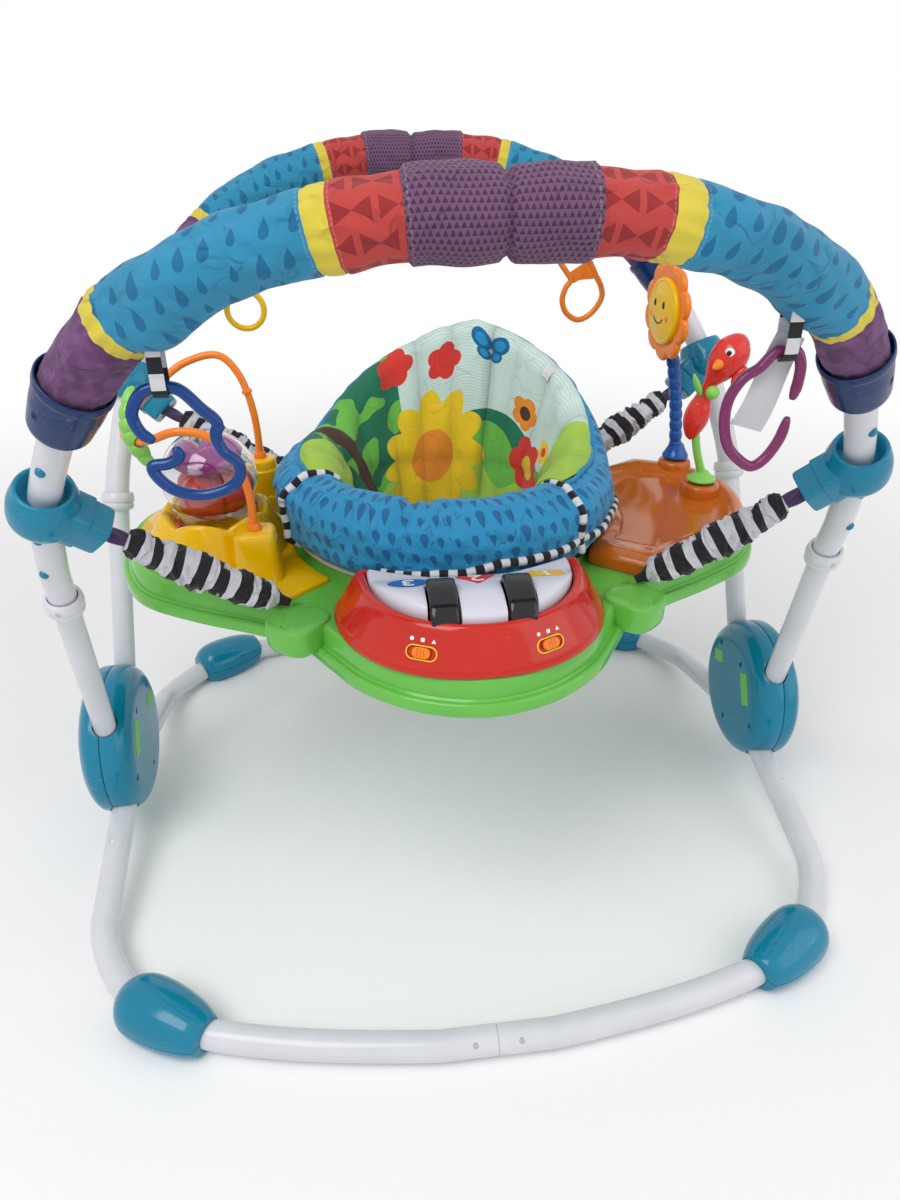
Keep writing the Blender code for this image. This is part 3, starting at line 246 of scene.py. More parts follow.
def clamped(value):
    return min(1.0, max(0.0, value))


def turned(name, profile, place=Matrix(), steps=48):
    """A profile of (radius, height) points, extruded point by point and spun round the place's Z."""
    bpy.ops.mesh.primitive_plane_add(size=0.001)
    item = named(name)
    open_mesh(item)
    bpy.ops.mesh.merge(type="CENTER")
    turn = place.to_3x3()
    spots = [Vector((p[0], 0.0, p[1])) for p in profile]
    bpy.ops.transform.translate(value=place @ spots[0])
    for a, b in zip(spots, spots[1:]):
        bpy.ops.mesh.extrude_vertices_move(TRANSFORM_OT_translate={"value": turn @ (b - a)})
    bpy.ops.mesh.select_all(action="SELECT")
    bpy.ops.mesh.spin(steps=steps, angle=tau, center=place.translation, axis=place.col[2].xyz)
    close_mesh()
    return tidy_skin(item)


def swept(name, points, radius, scales=None, sides=16, closed=False):
    """A round tube along a line."""
    bpy.ops.curve.primitive_nurbs_path_add()
    item = named(name)
    curve = item.data
    curve.splines.clear()
    curve.dimensions = "3D"
    curve.bevel_depth = radius
    curve.bevel_resolution = (sides - 4) // 2
    curve.use_fill_caps = not closed
    spline = curve.splines.new("POLY")
    spline.points.add(len(points) - 1)
    for index, point in enumerate(points):
        spline.points[index].co = (*point, 1.0)
        spline.points[index].radius = scales[index] if scales else 1.0
    spline.use_cyclic_u = closed
    only(item)
    bpy.ops.object.convert(target="MESH")
    return tidy_skin(bpy.context.object)


def lofted(name, rings, around=True):
    """A grid whose rows are moved to rings of points. A ring of one point closes it."""
    count = max(len(ring) for ring in rings)
    columns = count if around else count - 1
    bpy.ops.mesh.primitive_grid_add(x_subdivisions=columns, y_subdivisions=len(rings) - 1, size=1.0)
    item = named(name)
    for vertex in item.data.vertices:
        i = round((vertex.co.x + 0.5) * columns)
        ring = rings[round((vertex.co.y + 0.5) * (len(rings) - 1))]
        vertex.co = ring[0] if len(ring) == 1 else ring[i % count]
    return tidy_skin(item)


def slab(name, outline, low, high, place=Matrix(), edge=0.0):
    """A flat outline raised from one height to another, with its edges rounded off."""
    bpy.ops.mesh.primitive_circle_add(vertices=len(outline), radius=0.01)
    item = named(name)
    for vertex, point in zip(item.data.vertices, outline):
        vertex.co = place @ Vector((point[0], point[1], low))
    open_mesh(item)
    bpy.ops.mesh.edge_face_add()
    rise = place.to_3x3() @ upwards(high - low)
    bpy.ops.mesh.extrude_region_move(TRANSFORM_OT_translate={"value": rise})
    close_mesh()
    tidy_skin(item)
    return softened(item, edge) if edge else item


def ball(name, radii, place, pinch=0.0):
    """An egg: a ball drawn out along each axis, narrower towards its top by the pinch."""
    bpy.ops.mesh.primitive_uv_sphere_add(segments=28, ring_count=18, radius=1.0)
    item = named(name)
    for vertex in item.data.vertices:
        x, y, z = vertex.co
        narrow = 1 - pinch * (0.5 + 0.5 * z)
        vertex.co = place @ Vector((x * radii[0] * narrow, y * radii[1] * narrow, z * radii[2]))
    return tidy_skin(item)


def groove(item, point, way, width=0.0008, depth=0.0007):
    """A parting line: the skin is cut by a plane and the strip along the cut pushed in."""
    open_mesh(item, "EDGE")
    bpy.ops.mesh.bisect(plane_co=point, plane_no=way)
    bpy.ops.mesh.bevel(offset=width / 2, segments=1)
    bpy.ops.mesh.select_mode(type="FACE")
    bpy.ops.mesh.extrude_region_shrink_fatten(TRANSFORM_OT_shrink_fatten={"value": -depth})
    close_mesh()
    return item


def cut_flat(item, point, way):
    """Removes what lies beyond a plane and closes the cut."""
    open_mesh(item)
    bpy.ops.mesh.bisect(plane_co=point, plane_no=way, clear_outer=True, use_fill=True)
    close_mesh()
    return item


def pill(half_length, half_width, steps=10):
    outline = []
    for side in (1, -1):
        for i in range(steps + 1):
            turn = -pi / 2 + pi * i / steps
            outline.append((side * (half_length - half_width + half_width * cos(turn)),
                side * half_width * sin(turn)))
    return outline


def superellipse(angle, half_x, front, back, power):
    c = cos(angle)
    s = sin(angle)
    return (copysign(abs(c) ** (2 / power), c) * half_x,
        copysign(abs(s) ** (2 / power), s) * (back if s > 0 else front))


def tube_rings(path, reach, count):
    """Rings across a path. reach(share, turn) is the radius there; turn 0 is the outer side."""
    rings = []
    last = len(path) - 1
    for i, point in enumerate(path):
        along = (path[min(last, i + 1)] - path[max(0, i - 1)]).normalized()
        side = along.cross(upwards(1)).normalized()
        up = side.cross(along)
        ring = []
        for j in range(count):
            turn = tau * j / count
            radius = reach(i / last, turn)
            ring.append(point + side * radius * cos(turn) + up * radius * sin(turn))
        rings.append(ring)
    return rings


def dressed(item, body, slot, finish, *nodes, angle=35):
    """Smooths a finished piece, gives it its finish, and fixes it to its body."""
    only(item)
    bpy.ops.object.shade_smooth_by_angle(angle=radians(angle))
    item.data.materials.clear()
    item.data.materials.append(finish)
    if body:
        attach(item, body)
    if nodes:
        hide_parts(*nodes)
    return item


# Materials


class Wire:
    """A value on its way through a node tree. Each sum with it adds a math node."""

    def __init__(self, board, socket):
        self.board = board
        self.socket = socket

    def __add__(self, other):
        return self.board.math("ADD", self, other)

    def __radd__(self, other):
        return self.board.math("ADD", other, self)

    def __sub__(self, other):
        return self.board.math("SUBTRACT", self, other)

    def __rsub__(self, other):
        return self.board.math("SUBTRACT", other, self)

    def __mul__(self, other):
        return self.board.math("MULTIPLY", self, other)

    def __rmul__(self, other):
        return self.board.math("MULTIPLY", other, self)

    def __truediv__(self, other):
        return self.board.math("DIVIDE", self, other)

    def __lt__(self, other):
        return self.board.math("LESS_THAN", self, other)

    def __gt__(self, other):
        return self.board.math("GREATER_THAN", self, other)

    def __abs__(self):
        return self.board.math("ABSOLUTE", self)

    def scaled(self, factor, more):
        return self.board.math("MULTIPLY_ADD", self, factor, more)


class Board:
    """A node tree and short ways to add to it. Most of them give back a Wire."""

    def __init__(self, tree):
        self.tree = tree

    def join(self, value, socket):
        """Takes a wire, a socket or a plain value to an input."""
        value = getattr(value, "socket", value)
        if isinstance(value, bpy.types.NodeSocket):
            self.tree.links.new(value, socket)
        elif socket.type == "RGBA":
            socket.default_value = (*value[:3], 1.0)
        else:
            socket.default_value = value

    def node(self, kind, inputs=None, **settings):
        node = self.tree.nodes.new(kind)
        for name, value in settings.items():
            setattr(node, name, value)
        for name, value in (inputs or {}).items():
            self.join(value, node.inputs[name])
        return node

    def wire(self, kind, inputs=None, output=0, **settings):
        """A new node's output, the first one if it isn't named."""
        return Wire(self, self.node(kind, inputs, **settings).outputs[output])

    def math(self, operation, a, b=0.0, c=0.0):
        return self.wire("ShaderNodeMath", {0: a, 1: b, 2: c}, operation=operation)

    def split(self, vector):
        return [Wire(self, part) for part in self.node("ShaderNodeSeparateXYZ", {0: vector}).outputs]

    def here(self):
        """The place on the object, in its own coordinates."""
        return self.wire("ShaderNodeTexCoord", output="Object")

    def uv(self):
        return self.split(self.wire("ShaderNodeUVMap"))

    def vector(self, x, y, z=0.0):
        return self.wire("ShaderNodeCombineXYZ", {0: x, 1: y, 2: z})

    def mix(self, share, a, b, kind="MIX"):
        node = self.node("ShaderNodeMix", {0: share}, data_type="RGBA", blend_type=kind)
        self.join(a, node.inputs[6])
        self.join(b, node.inputs[7])
        return Wire(self, node.outputs[2])

    def noise(self, vector, scale, detail=2.0, distortion=0.0):
        return self.wire("ShaderNodeTexNoise",
            {"Vector": vector, "Scale": scale, "Detail": detail, "Distortion": distortion})

    def remap(self, value, low, high, to_low, to_high):
        return self.wire("ShaderNodeMapRange", {0: value, 1: low, 2: high, 3: to_low, 4: to_high})

    def effect(self, group, **inputs):
        """A node group with its inputs by name, with _ for a space. Gives back its outputs by name."""
        node = self.node("ShaderNodeGroup", {name.replace("_", " "): value for name, value in inputs.items()},
            node_tree=group)
        return {socket.name: Wire(self, socket) for socket in node.outputs}


SOCKETS = {"value": "NodeSocketFloat", "vector": "NodeSocketVector", "colour": "NodeSocketColor"}


def effect_group(name, inputs, outputs):
    """An empty node group: its board, its inputs by name, and its output node."""
    tree = bpy.data.node_groups.new(name, "ShaderNodeTree")
    for label, kind in inputs:
        tree.interface.new_socket(name=label, in_out="INPUT", socket_type=SOCKETS[kind])
    for label, kind in outputs:
        tree.interface.new_socket(name=label, in_out="OUTPUT", socket_type=SOCKETS[kind])
    board = Board(tree)
    given = {socket.name: Wire(board, socket) for socket in tree.nodes.new("NodeGroupInput").outputs}
    return board, given, tree.nodes.new("NodeGroupOutput").inputs


def once(build):
    """Builds a node group or a material the first time that it is asked for."""
    made = {}

    def give(*values):
        if values not in made:
            made[values] = build(*values)
        return made[values]
    return give


@once
def moulded_plastic():
    """Faint clouding of the colour, a finely uneven gloss, and the ripple that moulding leaves."""
    board, given, out = effect_group("Moulded plastic",
        [("Vector", "vector"), ("Colour", "colour"), ("Roughness", "value")],
        [("Colour", "colour"), ("Roughness", "value"), ("Height", "value")])
    cloud = board.noise(given["Vector"], 14.0, 3.0)
    fine = board.noise(given["Vector"], 420.0, 2.0)
    deep = board.mix(0.16, given["Colour"], (0.0, 0.0, 0.0))
    share = board.remap(cloud, 0.35, 0.7, 0.0, 0.55)
    board.join(board.mix(share, given["Colour"], deep), out["Colour"])
    rough = cloud.scaled(0.1, -0.05)
    rough = rough + fine.scaled(0.06, -0.03)
    board.join(given["Roughness"] + rough, out["Roughness"])
    board.join(cloud.scaled(0.7, fine * 0.12), out["Height"])
    return board.tree


@once
def scuffs():
    """Short light scratches and rubbed spots, as on parts that small hands and floors touch."""
    board, given, out = effect_group("Scuffs", [("Vector", "vector"), ("Amount", "value")], [("Mask", "value")])
    parts = board.split(given["Vector"])
    stretched = board.vector(parts[0] * 0.35, parts[1], parts[2] * 1.8)
    lines = board.noise(stretched, 210.0, 4.0, 1.2)
    spots = board.noise(given["Vector"], 26.0, 2.0)
    mask = board.remap(lines, 0.62, 0.72, 0.0, 1.0) * board.remap(spots, 0.5, 0.66, 0.0, 1.0)
    board.join(mask * given["Amount"], out["Mask"])
    return board.tree


@once
def weave():
    """Plain woven threads: Vector counts threads, Height rises and falls over and under, and Shade is painted
    shade, darker where the threads dip under.
    """
    board, given, out = effect_group("Weave", [("Vector", "vector")], [("Height", "value"), ("Shade", "value")])
    x, y, _ = board.split(given["Vector"])
    over = board.math("SINE", x * pi)
    under = board.math("SINE", y * pi)
    height = abs(over * under)
    fuzz = board.noise(given["Vector"], 0.35, 3.0)
    board.join(fuzz.scaled(0.5, height), out["Height"])
    # Painted shade: the threads are darker where they pass under one another.
    board.join(board.remap(height, 0.0, 0.7, 0.82, 1.0), out["Shade"])
    return board.tree


@once
def wrinkles():
    """Soft creases of two sizes and thin sharp ones, drawn out along the first axis by Stretch."""
    board, given, out = effect_group("Wrinkles", [("Vector", "vector"), ("Stretch", "value")],
        [("Height", "value")])
    x, y, z = board.split(given["Vector"])
    drawn = board.vector(x * given["Stretch"], y, z)
    large = board.noise(drawn, 16.0, 2.0, 0.6)
    small = board.noise(drawn, 55.0, 3.0, 0.4)
    lines = abs(board.noise(drawn, 24.0, 1.0, 1.4) - 0.5)
    sharp = board.remap(lines, 0.0, 0.045, 1.0, 0.0) * board.remap(small, 0.45, 0.6, 0.0, 0.4)
    soft = small.scaled(0.35, large)
    board.join(soft - sharp, out["Height"])
    return board.tree


def staggered_cells(board, given):
    """Cell coordinates from -0.5 to 0.5, with every other row moved half a cell, and a value per cell."""
    x, y, _ = board.split(given["Vector"])
    row = board.math("FLOOR", y)
    x = board.math("FLOORED_MODULO", row, 2.0).scaled(0.5, x)
    cell = board.wire("ShaderNodeTexWhiteNoise", {0: board.vector(board.math("FLOOR", x), row)},
        noise_dimensions="3D")
    return board.math("FRACT", x) - 0.5, board.math("FRACT", y) - 0.5, cell


@once
def raindrops():
    """Staggered drops of mixed sizes, round end up. Vector counts drops across and rows."""
    board, given, out = effect_group("Raindrops", [("Vector", "vector"), ("Width", "value")],
        [("Mask", "value")])
    x, y, cell = staggered_cells(board, given)
    size = board.remap(cell, 0.0, 1.0, 2.05, 3.7)
    x = x + board.math("FRACT", cell * 7.3).scaled(0.3, -0.15)
    x = y.scaled(0.22, x) * (size * 0.5)
    y = cell.scaled(0.1, y) * size
    arch = board.math("SQRT", board.math("MAXIMUM", 0.0, (y * y).scaled(-1.0, 1.0)))
    taper = board.math("POWER", board.math("MAXIMUM", 0.0, y.scaled(0.5, 0.5)), 0.75)
    half = arch * taper * given["Width"]
    board.join(abs(x) < half, out["Mask"])
    return board.tree


@once
def bow_ties():
    """Staggered pairs of triangles that meet at their points."""
    board, given, out = effect_group("Bow ties", [("Vector", "vector"), ("Size", "value")], [("Mask", "value")])
    x, y, _ = staggered_cells(board, given)
    x = abs(x)
    inside = abs(y) < x * 0.85
    short = x < given["Size"]
    board.join(inside * short, out["Mask"])
    return board.tree


@once
def zebra_bands():
    """Slanting, wavering dark bands that fork here and there. Vector counts bands along."""
    board, given, out = effect_group("Zebra bands", [("Vector", "vector"), ("Dark share", "value")],
        [("Mask", "value")])
    x, y, _ = board.split(given["Vector"])
    wander = board.noise(given["Vector"], 1.3, 2.0).scaled(1.1, -0.55)
    slant = board.math("SINE", y * 6.283).scaled(0.2, x)
    wave = board.math("SINE", (slant + wander) * 6.283)
    level = given["Dark share"].scaled(-2.0, 1.0)
    board.join(wave > level, out["Mask"])
    return board.tree


@once
def stitches():
    """A dashed thread beside a seam. Across is the distance from its line, Along runs with it."""
    board, given, out = effect_group("Stitches", [("Across", "value"), ("Along", "value")], [("Mask", "value")])
    near = abs(given["Across"]) < 0.00055
    dash = board.math("FRACT", given["Along"] * 270.0) < 0.62
    board.join(near * dash, out["Mask"])
    return board.tree


def new_finish(name, **values):
    """A material with plain values set on its shader, and the board to draw the rest on."""
    material = bpy.data.materials.new(name)
    material.use_nodes = True
    shader = material.node_tree.nodes["Principled BSDF"]
    for label, value in values.items():
        shader.inputs[label.replace("_", " ")].default_value = value
    return material, Board(material.node_tree), shader


def bump(board, shader, height, strength, distance):
    node = board.node("ShaderNodeBump", {"Height": height, "Strength": strength, "Distance": distance})
    board.join(node.outputs[0], shader.inputs["Normal"])


def tone(name):
    """A colour from the sidebar, as plain numbers."""
    for word in ("jumper_frame", "jumper_tray", "jumper_toys", "jumper_cloth"):
        settings = getattr(bpy.context.scene, word)
        if hasattr(settings, name):
            return tuple(getattr(settings, name))
    raise KeyError(name)


@once
def plastic(name, colour, roughness=0.22, worn=0.15, coat=0.3):
    """Moulded plastic of one colour with its slight clouding, ripple and scuffs."""
    material, board, shader = new_finish(name, Coat_Weight=coat * 0.4, Coat_Roughness=0.1, IOR=1.48,
        Specular_IOR_Level=0.3)
    place = board.here()
    moulded = board.effect(moulded_plastic(), Vector=place, Colour=tone(colour), Roughness=roughness)
    rubbed = board.effect(scuffs(), Vector=place, Amount=worn)
    board.join(board.mix(rubbed["Mask"], moulded["Colour"], (0.75, 0.75, 0.75)), shader.inputs["Base Color"])
    rough = rubbed["Mask"].scaled(0.4, moulded["Roughness"])
    board.join(rough, shader.inputs["Roughness"])
    bump(board, shader, moulded["Height"], 0.25, 0.0008)
    return material


@once
def clear_plastic():
    material, board, shader = new_finish("clear_dome", IOR=1.46, Transmission_Weight=1.0)
    place = board.here()
    cloud = board.noise(place, 30.0, 3.0)
    board.join(board.mix(board.remap(cloud, 0.4, 0.8, 0.0, 0.5), (0.97, 0.985, 1.0), (0.86, 0.93, 0.98)),
        shader.inputs["Base Color"])
    rubbed = board.effect(scuffs(), Vector=place, Amount=0.5)
    board.join(rubbed["Mask"].scaled(0.25, 0.02), shader.inputs["Roughness"])
    return material


@once
def spring_steel():
    material, board, shader = new_finish("spring_steel", Metallic=1.0)
    place = board.here()
    streaks = board.noise(place, 160.0, 3.0)
    board.join(board.mix(streaks, (0.42, 0.43, 0.45), (0.6, 0.61, 0.63)), shader.inputs["Base Color"])
    board.join(board.remap(streaks, 0.3, 0.7, 0.24, 0.42), shader.inputs["Roughness"])
    bump(board, shader, streaks, 0.15, 0.0002)
    return material


def cloth_base(name, sheen=0.15):
    return new_finish(name, Sheen_Weight=sheen, Sheen_Roughness=0.45, IOR=1.4)


def cloth_surface(board, shader, colour, threads, wrinkle, strength=0.5, roughness=0.86):
    """Joins colour, weave and creases to a cloth's shader. The weave's shade and the creases are also painted
    into the colour: painted shade in their hollows and a faint painted highlight on the crease tops.
    """
    woven = board.effect(weave(), Vector=threads)
    # Painted shade where the threads dip under, from the weave's Shade.
    shaded = board.mix(1.0, colour,
        board.wire("ShaderNodeCombineColor", {0: woven["Shade"], 1: woven["Shade"], 2: woven["Shade"]}),
        "MULTIPLY")
    # Painted shade in the creases' hollows and a faint painted highlight on their tops, from the crease height.
    fade = board.remap(wrinkle, 0.35, 0.95, 0.9, 1.05)
    shaded = board.mix(1.0, shaded, board.wire("ShaderNodeCombineColor", {0: fade, 1: fade, 2: fade}),
        "MULTIPLY")
    board.join(shaded, shader.inputs["Base Color"])
    board.join(woven["Shade"].scaled(0.12, roughness - 0.12), shader.inputs["Roughness"])
    fine = board.node("ShaderNodeBump", {"Height": woven["Height"], "Strength": 0.35, "Distance": 0.0004})
    node = board.node("ShaderNodeBump",
        {"Height": wrinkle, "Strength": strength, "Distance": 0.003, "Normal": fine.outputs[0]})
    board.join(node.outputs[0], shader.inputs["Normal"])


def uv_lengths(board, across, along):
    """The piece's own UV map in metres."""
    u, v, _ = board.uv()
    return u * across, v * along


@once
def triangle_net():
    """Small dark triangles that leave a fine net of lines between them. Vector counts triangles."""
    board, given, out = effect_group("Triangle net", [("Vector", "vector"), ("Line", "value")],
        [("Mask", "value")])
    x, y, _ = staggered_cells(board, given)
    side = y.scaled(-0.5, 0.25)
    inside = abs(x) + given["Line"] < side
    low = y > given["Line"] - 0.5
    board.join(inside * low, out["Mask"])
    return board.tree


# Seams along the arch pads, from the middle of the pad, in metres: left to right on each
PAD_SEAMS = {"front": (-0.2955, -0.283, -0.126, -0.111, -0.067, 0.055, 0.102, 0.123, 0.296, 0.3085),
    "rear": (-0.3085, -0.296, -0.129, -0.1165, -0.065, 0.065, 0.1165, 0.129, 0.296, 0.3085)}


@once
def pad_cloth(word, length):
    """The arch pad's cover: purple ends, yellow bands, blue with drops, red with bow ties, purple wrap."""
    material, board, shader = cloth_base(f"pad_cloth_{word}")
    around, along = uv_lengths(board, 0.173, length)
    spot = along - length / 2
    drops = board.effect(raindrops(), Vector=board.vector(along * 52.0, around * -46.25), Width=0.4)
    ties = board.effect(bow_ties(), Vector=board.vector(along * 37.0, around * 46.25), Size=0.42)
    small = board.effect(triangle_net(), Vector=board.vector(along * 230.0, around * 231.2), Line=0.06)
    cloud = board.noise(board.vector(along, around), 60.0, 4.0, 0.8)
    blue = board.mix(drops["Mask"], tone("pad_blue"), tone("pad_drop"))
    red = board.mix(ties["Mask"], tone("pad_red"), tone("pad_red_dark"))
    wrap = board.mix(small["Mask"], tone("pad_wrap"), tone("pad_wrap_dark"))
    end = board.mix(board.remap(cloud, 0.4, 0.62, 0.0, 1.0), tone("pad_end"), tone("pad_end_light"))
    yellow = tone("pad_yellow")
    colour = end
    thread = None
    seams = PAD_SEAMS[word]
    for seam, cloth in zip(seams, (yellow, blue, yellow, red, wrap, red, yellow, blue, yellow, end)):
        colour = board.mix(spot > seam, colour, cloth)
    for line in (seams[4] + 0.003, seams[5] - 0.003, seams[2] - 0.002, seams[3] + 0.002, seams[6] - 0.002,
            seams[7] + 0.002):
        mark = board.effect(stitches(), Across=spot - line, Along=around)["Mask"]
        thread = mark if thread is None else board.math("MAXIMUM", thread, mark)
    colour = board.mix(thread * 0.18, colour, (0.62, 0.6, 0.58))
    crease = board.effect(wrinkles(), Vector=board.here(), Stretch=0.8)
    threads = board.vector(along * 1250.0, around * 1250.0)
    cloth_surface(board, shader, colour, threads, crease["Height"], 0.95)
    return material


@once
def zebra_cloth():
    """The sleeve's cover: pale grey with slanting black bands and a dark tail."""
    material, board, shader = cloth_base("zebra_cloth")
    around, along = uv_lengths(board, 0.11, 0.17)
    bands = board.effect(zebra_bands(), Vector=board.vector(along * 46.0, around * 9.0), Dark_share=0.5)
    dark = board.math("MAXIMUM", bands["Mask"], along > 0.158)
    colour = board.mix(dark, tone("zebra_light"), tone("zebra_dark"))
    crease = board.effect(wrinkles(), Vector=board.vector(along * 1.0, around * 1.0), Stretch=3.0)
    threads = board.vector(along * 1400.0, around * 1400.0)
    cloth_surface(board, shader, colour, threads, crease["Height"], 0.9)
    return material


@once
def webbing(name, first, second, blocks):
    """Ribbed webbing with blocks of two colours along it. Its UV runs across the band first."""
    material, board, shader = cloth_base(name, 0.2)
    u, v, _ = board.uv()
    block = board.math("FRACT", v * blocks) > 0.5
    colour = board.mix(block, tone(first), tone(second))
    place = board.here()
    crease = board.effect(wrinkles(), Vector=place, Stretch=1.0)
    threads = board.vector(u * 24.0, v * 120.0)
    cloth_surface(board, shader, colour, threads, crease["Height"], 0.2, 0.8)
    return material


@once
def tag_cloth():
    """A bare care tag of thin, half clear film, with nothing printed on it."""
    material, board, shader = new_finish("tag_film", Transmission_Weight=0.35, IOR=1.2)
    place = board.here()
    cloud = board.noise(place, 45.0, 3.0)
    board.join(board.mix(cloud, (0.6, 0.61, 0.65), (0.74, 0.75, 0.78)), shader.inputs["Base Color"])
    board.join(board.remap(cloud, 0.3, 0.7, 0.25, 0.5), shader.inputs["Roughness"])
    return material


# The frame


def arch_route(side, end):
    collar = corner(COLLAR_POINT, side, end)
    way = corner(UPRIGHT_WAY, side, end)
    return [collar - 0.0015 * way, collar + 0.014 * way] + [corner(p, side, end) for p in ARCH_ROUTE]


def screw_head(name, place, radius=0.0032):
    """A domed screw head with a cross cut in it, a little below the place's surface."""
    head = turned(name, [(0.0, -0.0012), (radius, -0.0012), (radius, 0.0002), (radius * 0.8, 0.0008),
        (0.0, 0.001)], place, 20)
    for turn in (0, 1):
        x, y = (radius * 0.65, radius * 0.14)[::1 if turn else -1]
        cross = slab("cross", [(-x, -y), (x, -y), (x, y), (-x, y)], 0.0002, 0.002, place)
        carved(head, cross)
    return head


def add_stage(context):
    settings = context.scene.jumper_stage
    bpy.ops.mesh.primitive_plane_add(size=1.0, location=(0.0, 0.0, 0.0))
    floor = named("floor")
    open_mesh(floor)
    bpy.ops.transform.resize(value=(settings.floor_size, settings.floor_size, 1.0))
    bpy.ops.mesh.subdivide(number_cuts=3)
    bpy.ops.transform.translate(value=(0.0, 0.0, -0.0004))
    close_mesh()
    material, board, shader = new_finish("floor_paper", Roughness=0.95)
    grain = board.noise(board.here(), 3.0)
    shade = board.mix(grain, settings.floor_colour, tuple(v * 0.985 for v in settings.floor_colour))
    board.join(shade, shader.inputs["Base Color"])
    # Seen from the camera, the far floor passes into the white of the room.
    reach = board.wire("ShaderNodeVectorMath", {0: board.here()}, "Value", operation="LENGTH")
    far = board.wire("ShaderNodeMapRange", {0: reach, 1: 0.75, 2: 2.4}, interpolation_type="SMOOTHSTEP")
    far = far * board.wire("ShaderNodeLightPath", None, "Is Camera Ray")
    white = board.node("ShaderNodeEmission", {0: (1.0, 1.0, 1.0, 1.0), 1: 1.0})
    both = board.node("ShaderNodeMixShader", {0: far, 1: shader.outputs[0], 2: white.outputs[0]})
    board.join(both.outputs[0], material.node_tree.nodes["Material Output"].inputs[0])
    floor.data.materials.append(material)

    world = context.scene.world or bpy.data.worlds.new("studio")
    context.scene.world = world
    world.use_nodes = True
    board = Board(world.node_tree)
    world.node_tree.nodes.clear()
    path = board.node("ShaderNodeLightPath").outputs
    shown = board.math("MAXIMUM", path["Is Camera Ray"],
        board.math("MAXIMUM", path["Is Glossy Ray"], path["Is Transmission Ray"]))
    strength = board.remap(shown, 0.0, 1.0, settings.room_light, 1.0)
    room = board.node("ShaderNodeBackground", {0: (1.0, 1.0, 1.0, 1.0), 1: strength})
    output = board.node("ShaderNodeOutputWorld")
    world.node_tree.links.new(room.outputs[0], output.inputs[0])

    for name, energy, size, spot, aim in (("key_light", settings.key_light, 1.6, (-1.1, -1.4, 2.6),
            (0.0, 0.0, 0.4)), ("fill_light", settings.fill_light, 2.2, (1.9, -1.2, 1.5), (0.0, 0.0, 0.4))):
        bpy.ops.object.light_add(type="AREA", location=spot)
        lamp = bpy.context.object
        lamp.name = name
        lamp.data.energy = energy
        lamp.data.size = size
        lamp.rotation_euler = (Vector(aim) - Vector(spot)).to_track_quat("-Z", "Y").to_euler()

    bpy.ops.object.camera_add(location=settings.camera_place)
    camera = bpy.context.object
    yaw = settings.camera_yaw
    pitch = settings.camera_pitch
    ahead = Vector((sin(yaw) * cos(pitch), cos(yaw) * cos(pitch), -sin(pitch)))
    right = Vector((cos(yaw), -sin(yaw), 0.0))
    up = right.cross(ahead)
    roll = settings.camera_roll
    across = right * cos(roll) + up * sin(roll)
    upright = up * cos(roll) - right * sin(roll)
    turn = Matrix((across, upright, -ahead)).transposed().to_4x4()
    camera.matrix_world = Matrix.Translation(settings.camera_place) @ turn
    camera.data.sensor_width = 36.0
    camera.data.lens = settings.camera_lens
    camera.data.clip_start = 0.02
    context.scene.camera = camera
    context.scene.view_settings.view_transform = "Standard"


class JUMPER_OT_stage(bpy.types.Operator):
    """Adds the floor, the soft studio light and the camera at the photograph's angle"""
    bl_idname = "jumper.stage"
    bl_label = "Stage"

    def execute(self, context):
        add_stage(context)
        return {"FINISHED"}


def add_base_loop(context):
    finish = plastic("white_tube", "white_tube", 0.2, 0.35, 0.5)
    steel = spring_steel()
    route = smooth_path(BASE_ROUTE, 10)
    path, length = even_path([Vector((p.x, max(-0.416, p.y), max(0.019, p.z))) for p in route], 150)
    spots = [length * i / 149 for i in range(150)]
    joint = min(range(150), key=lambda i: abs(path[i].y + 0.15) + abs(path[i].x - 0.4312))
    scales = []
    for i in range(150):
        near = abs(spots[i] - spots[joint])
        scales.append(0.955 if near < 0.002 else 1.0)
    scales[-1] = 0.975
    quarter = swept("base_tube", path, context.scene.jumper_frame.base_tube, scales, 28)
    for name, (side, end) in CORNERS.items():
        tube = twin(quarter, f"base_loop_{name}", side, end)
        dressed(tube, "frame", "white_tube", finish, f"base_tube_{name}")
        for word, point, way in (("side", (0.4312, -0.128, 0.0574), (0.3, 0.0, 0.95)),
                ("front", (0.024, -0.416, 0.019), (0.0, -0.75, 0.66))):
            way = corner(way, side, end).normalized()
            place = axes(corner(point, side, end) + way * 0.0152, way, (0.3, 0.9, 0.1))
            dressed(screw_head(f"base_screw_{word}_{name}", place), "frame", "spring_steel", steel)
    bpy.data.objects.remove(quarter)


class JUMPER_OT_base_loop(bpy.types.Operator):
    """Adds the loop of round tube on the floor, its joints and their screws"""
    bl_idname = "jumper.base_loop"
    bl_label = "Base loop"

    def execute(self, context):
        add_base_loop(context)
        return {"FINISHED"}


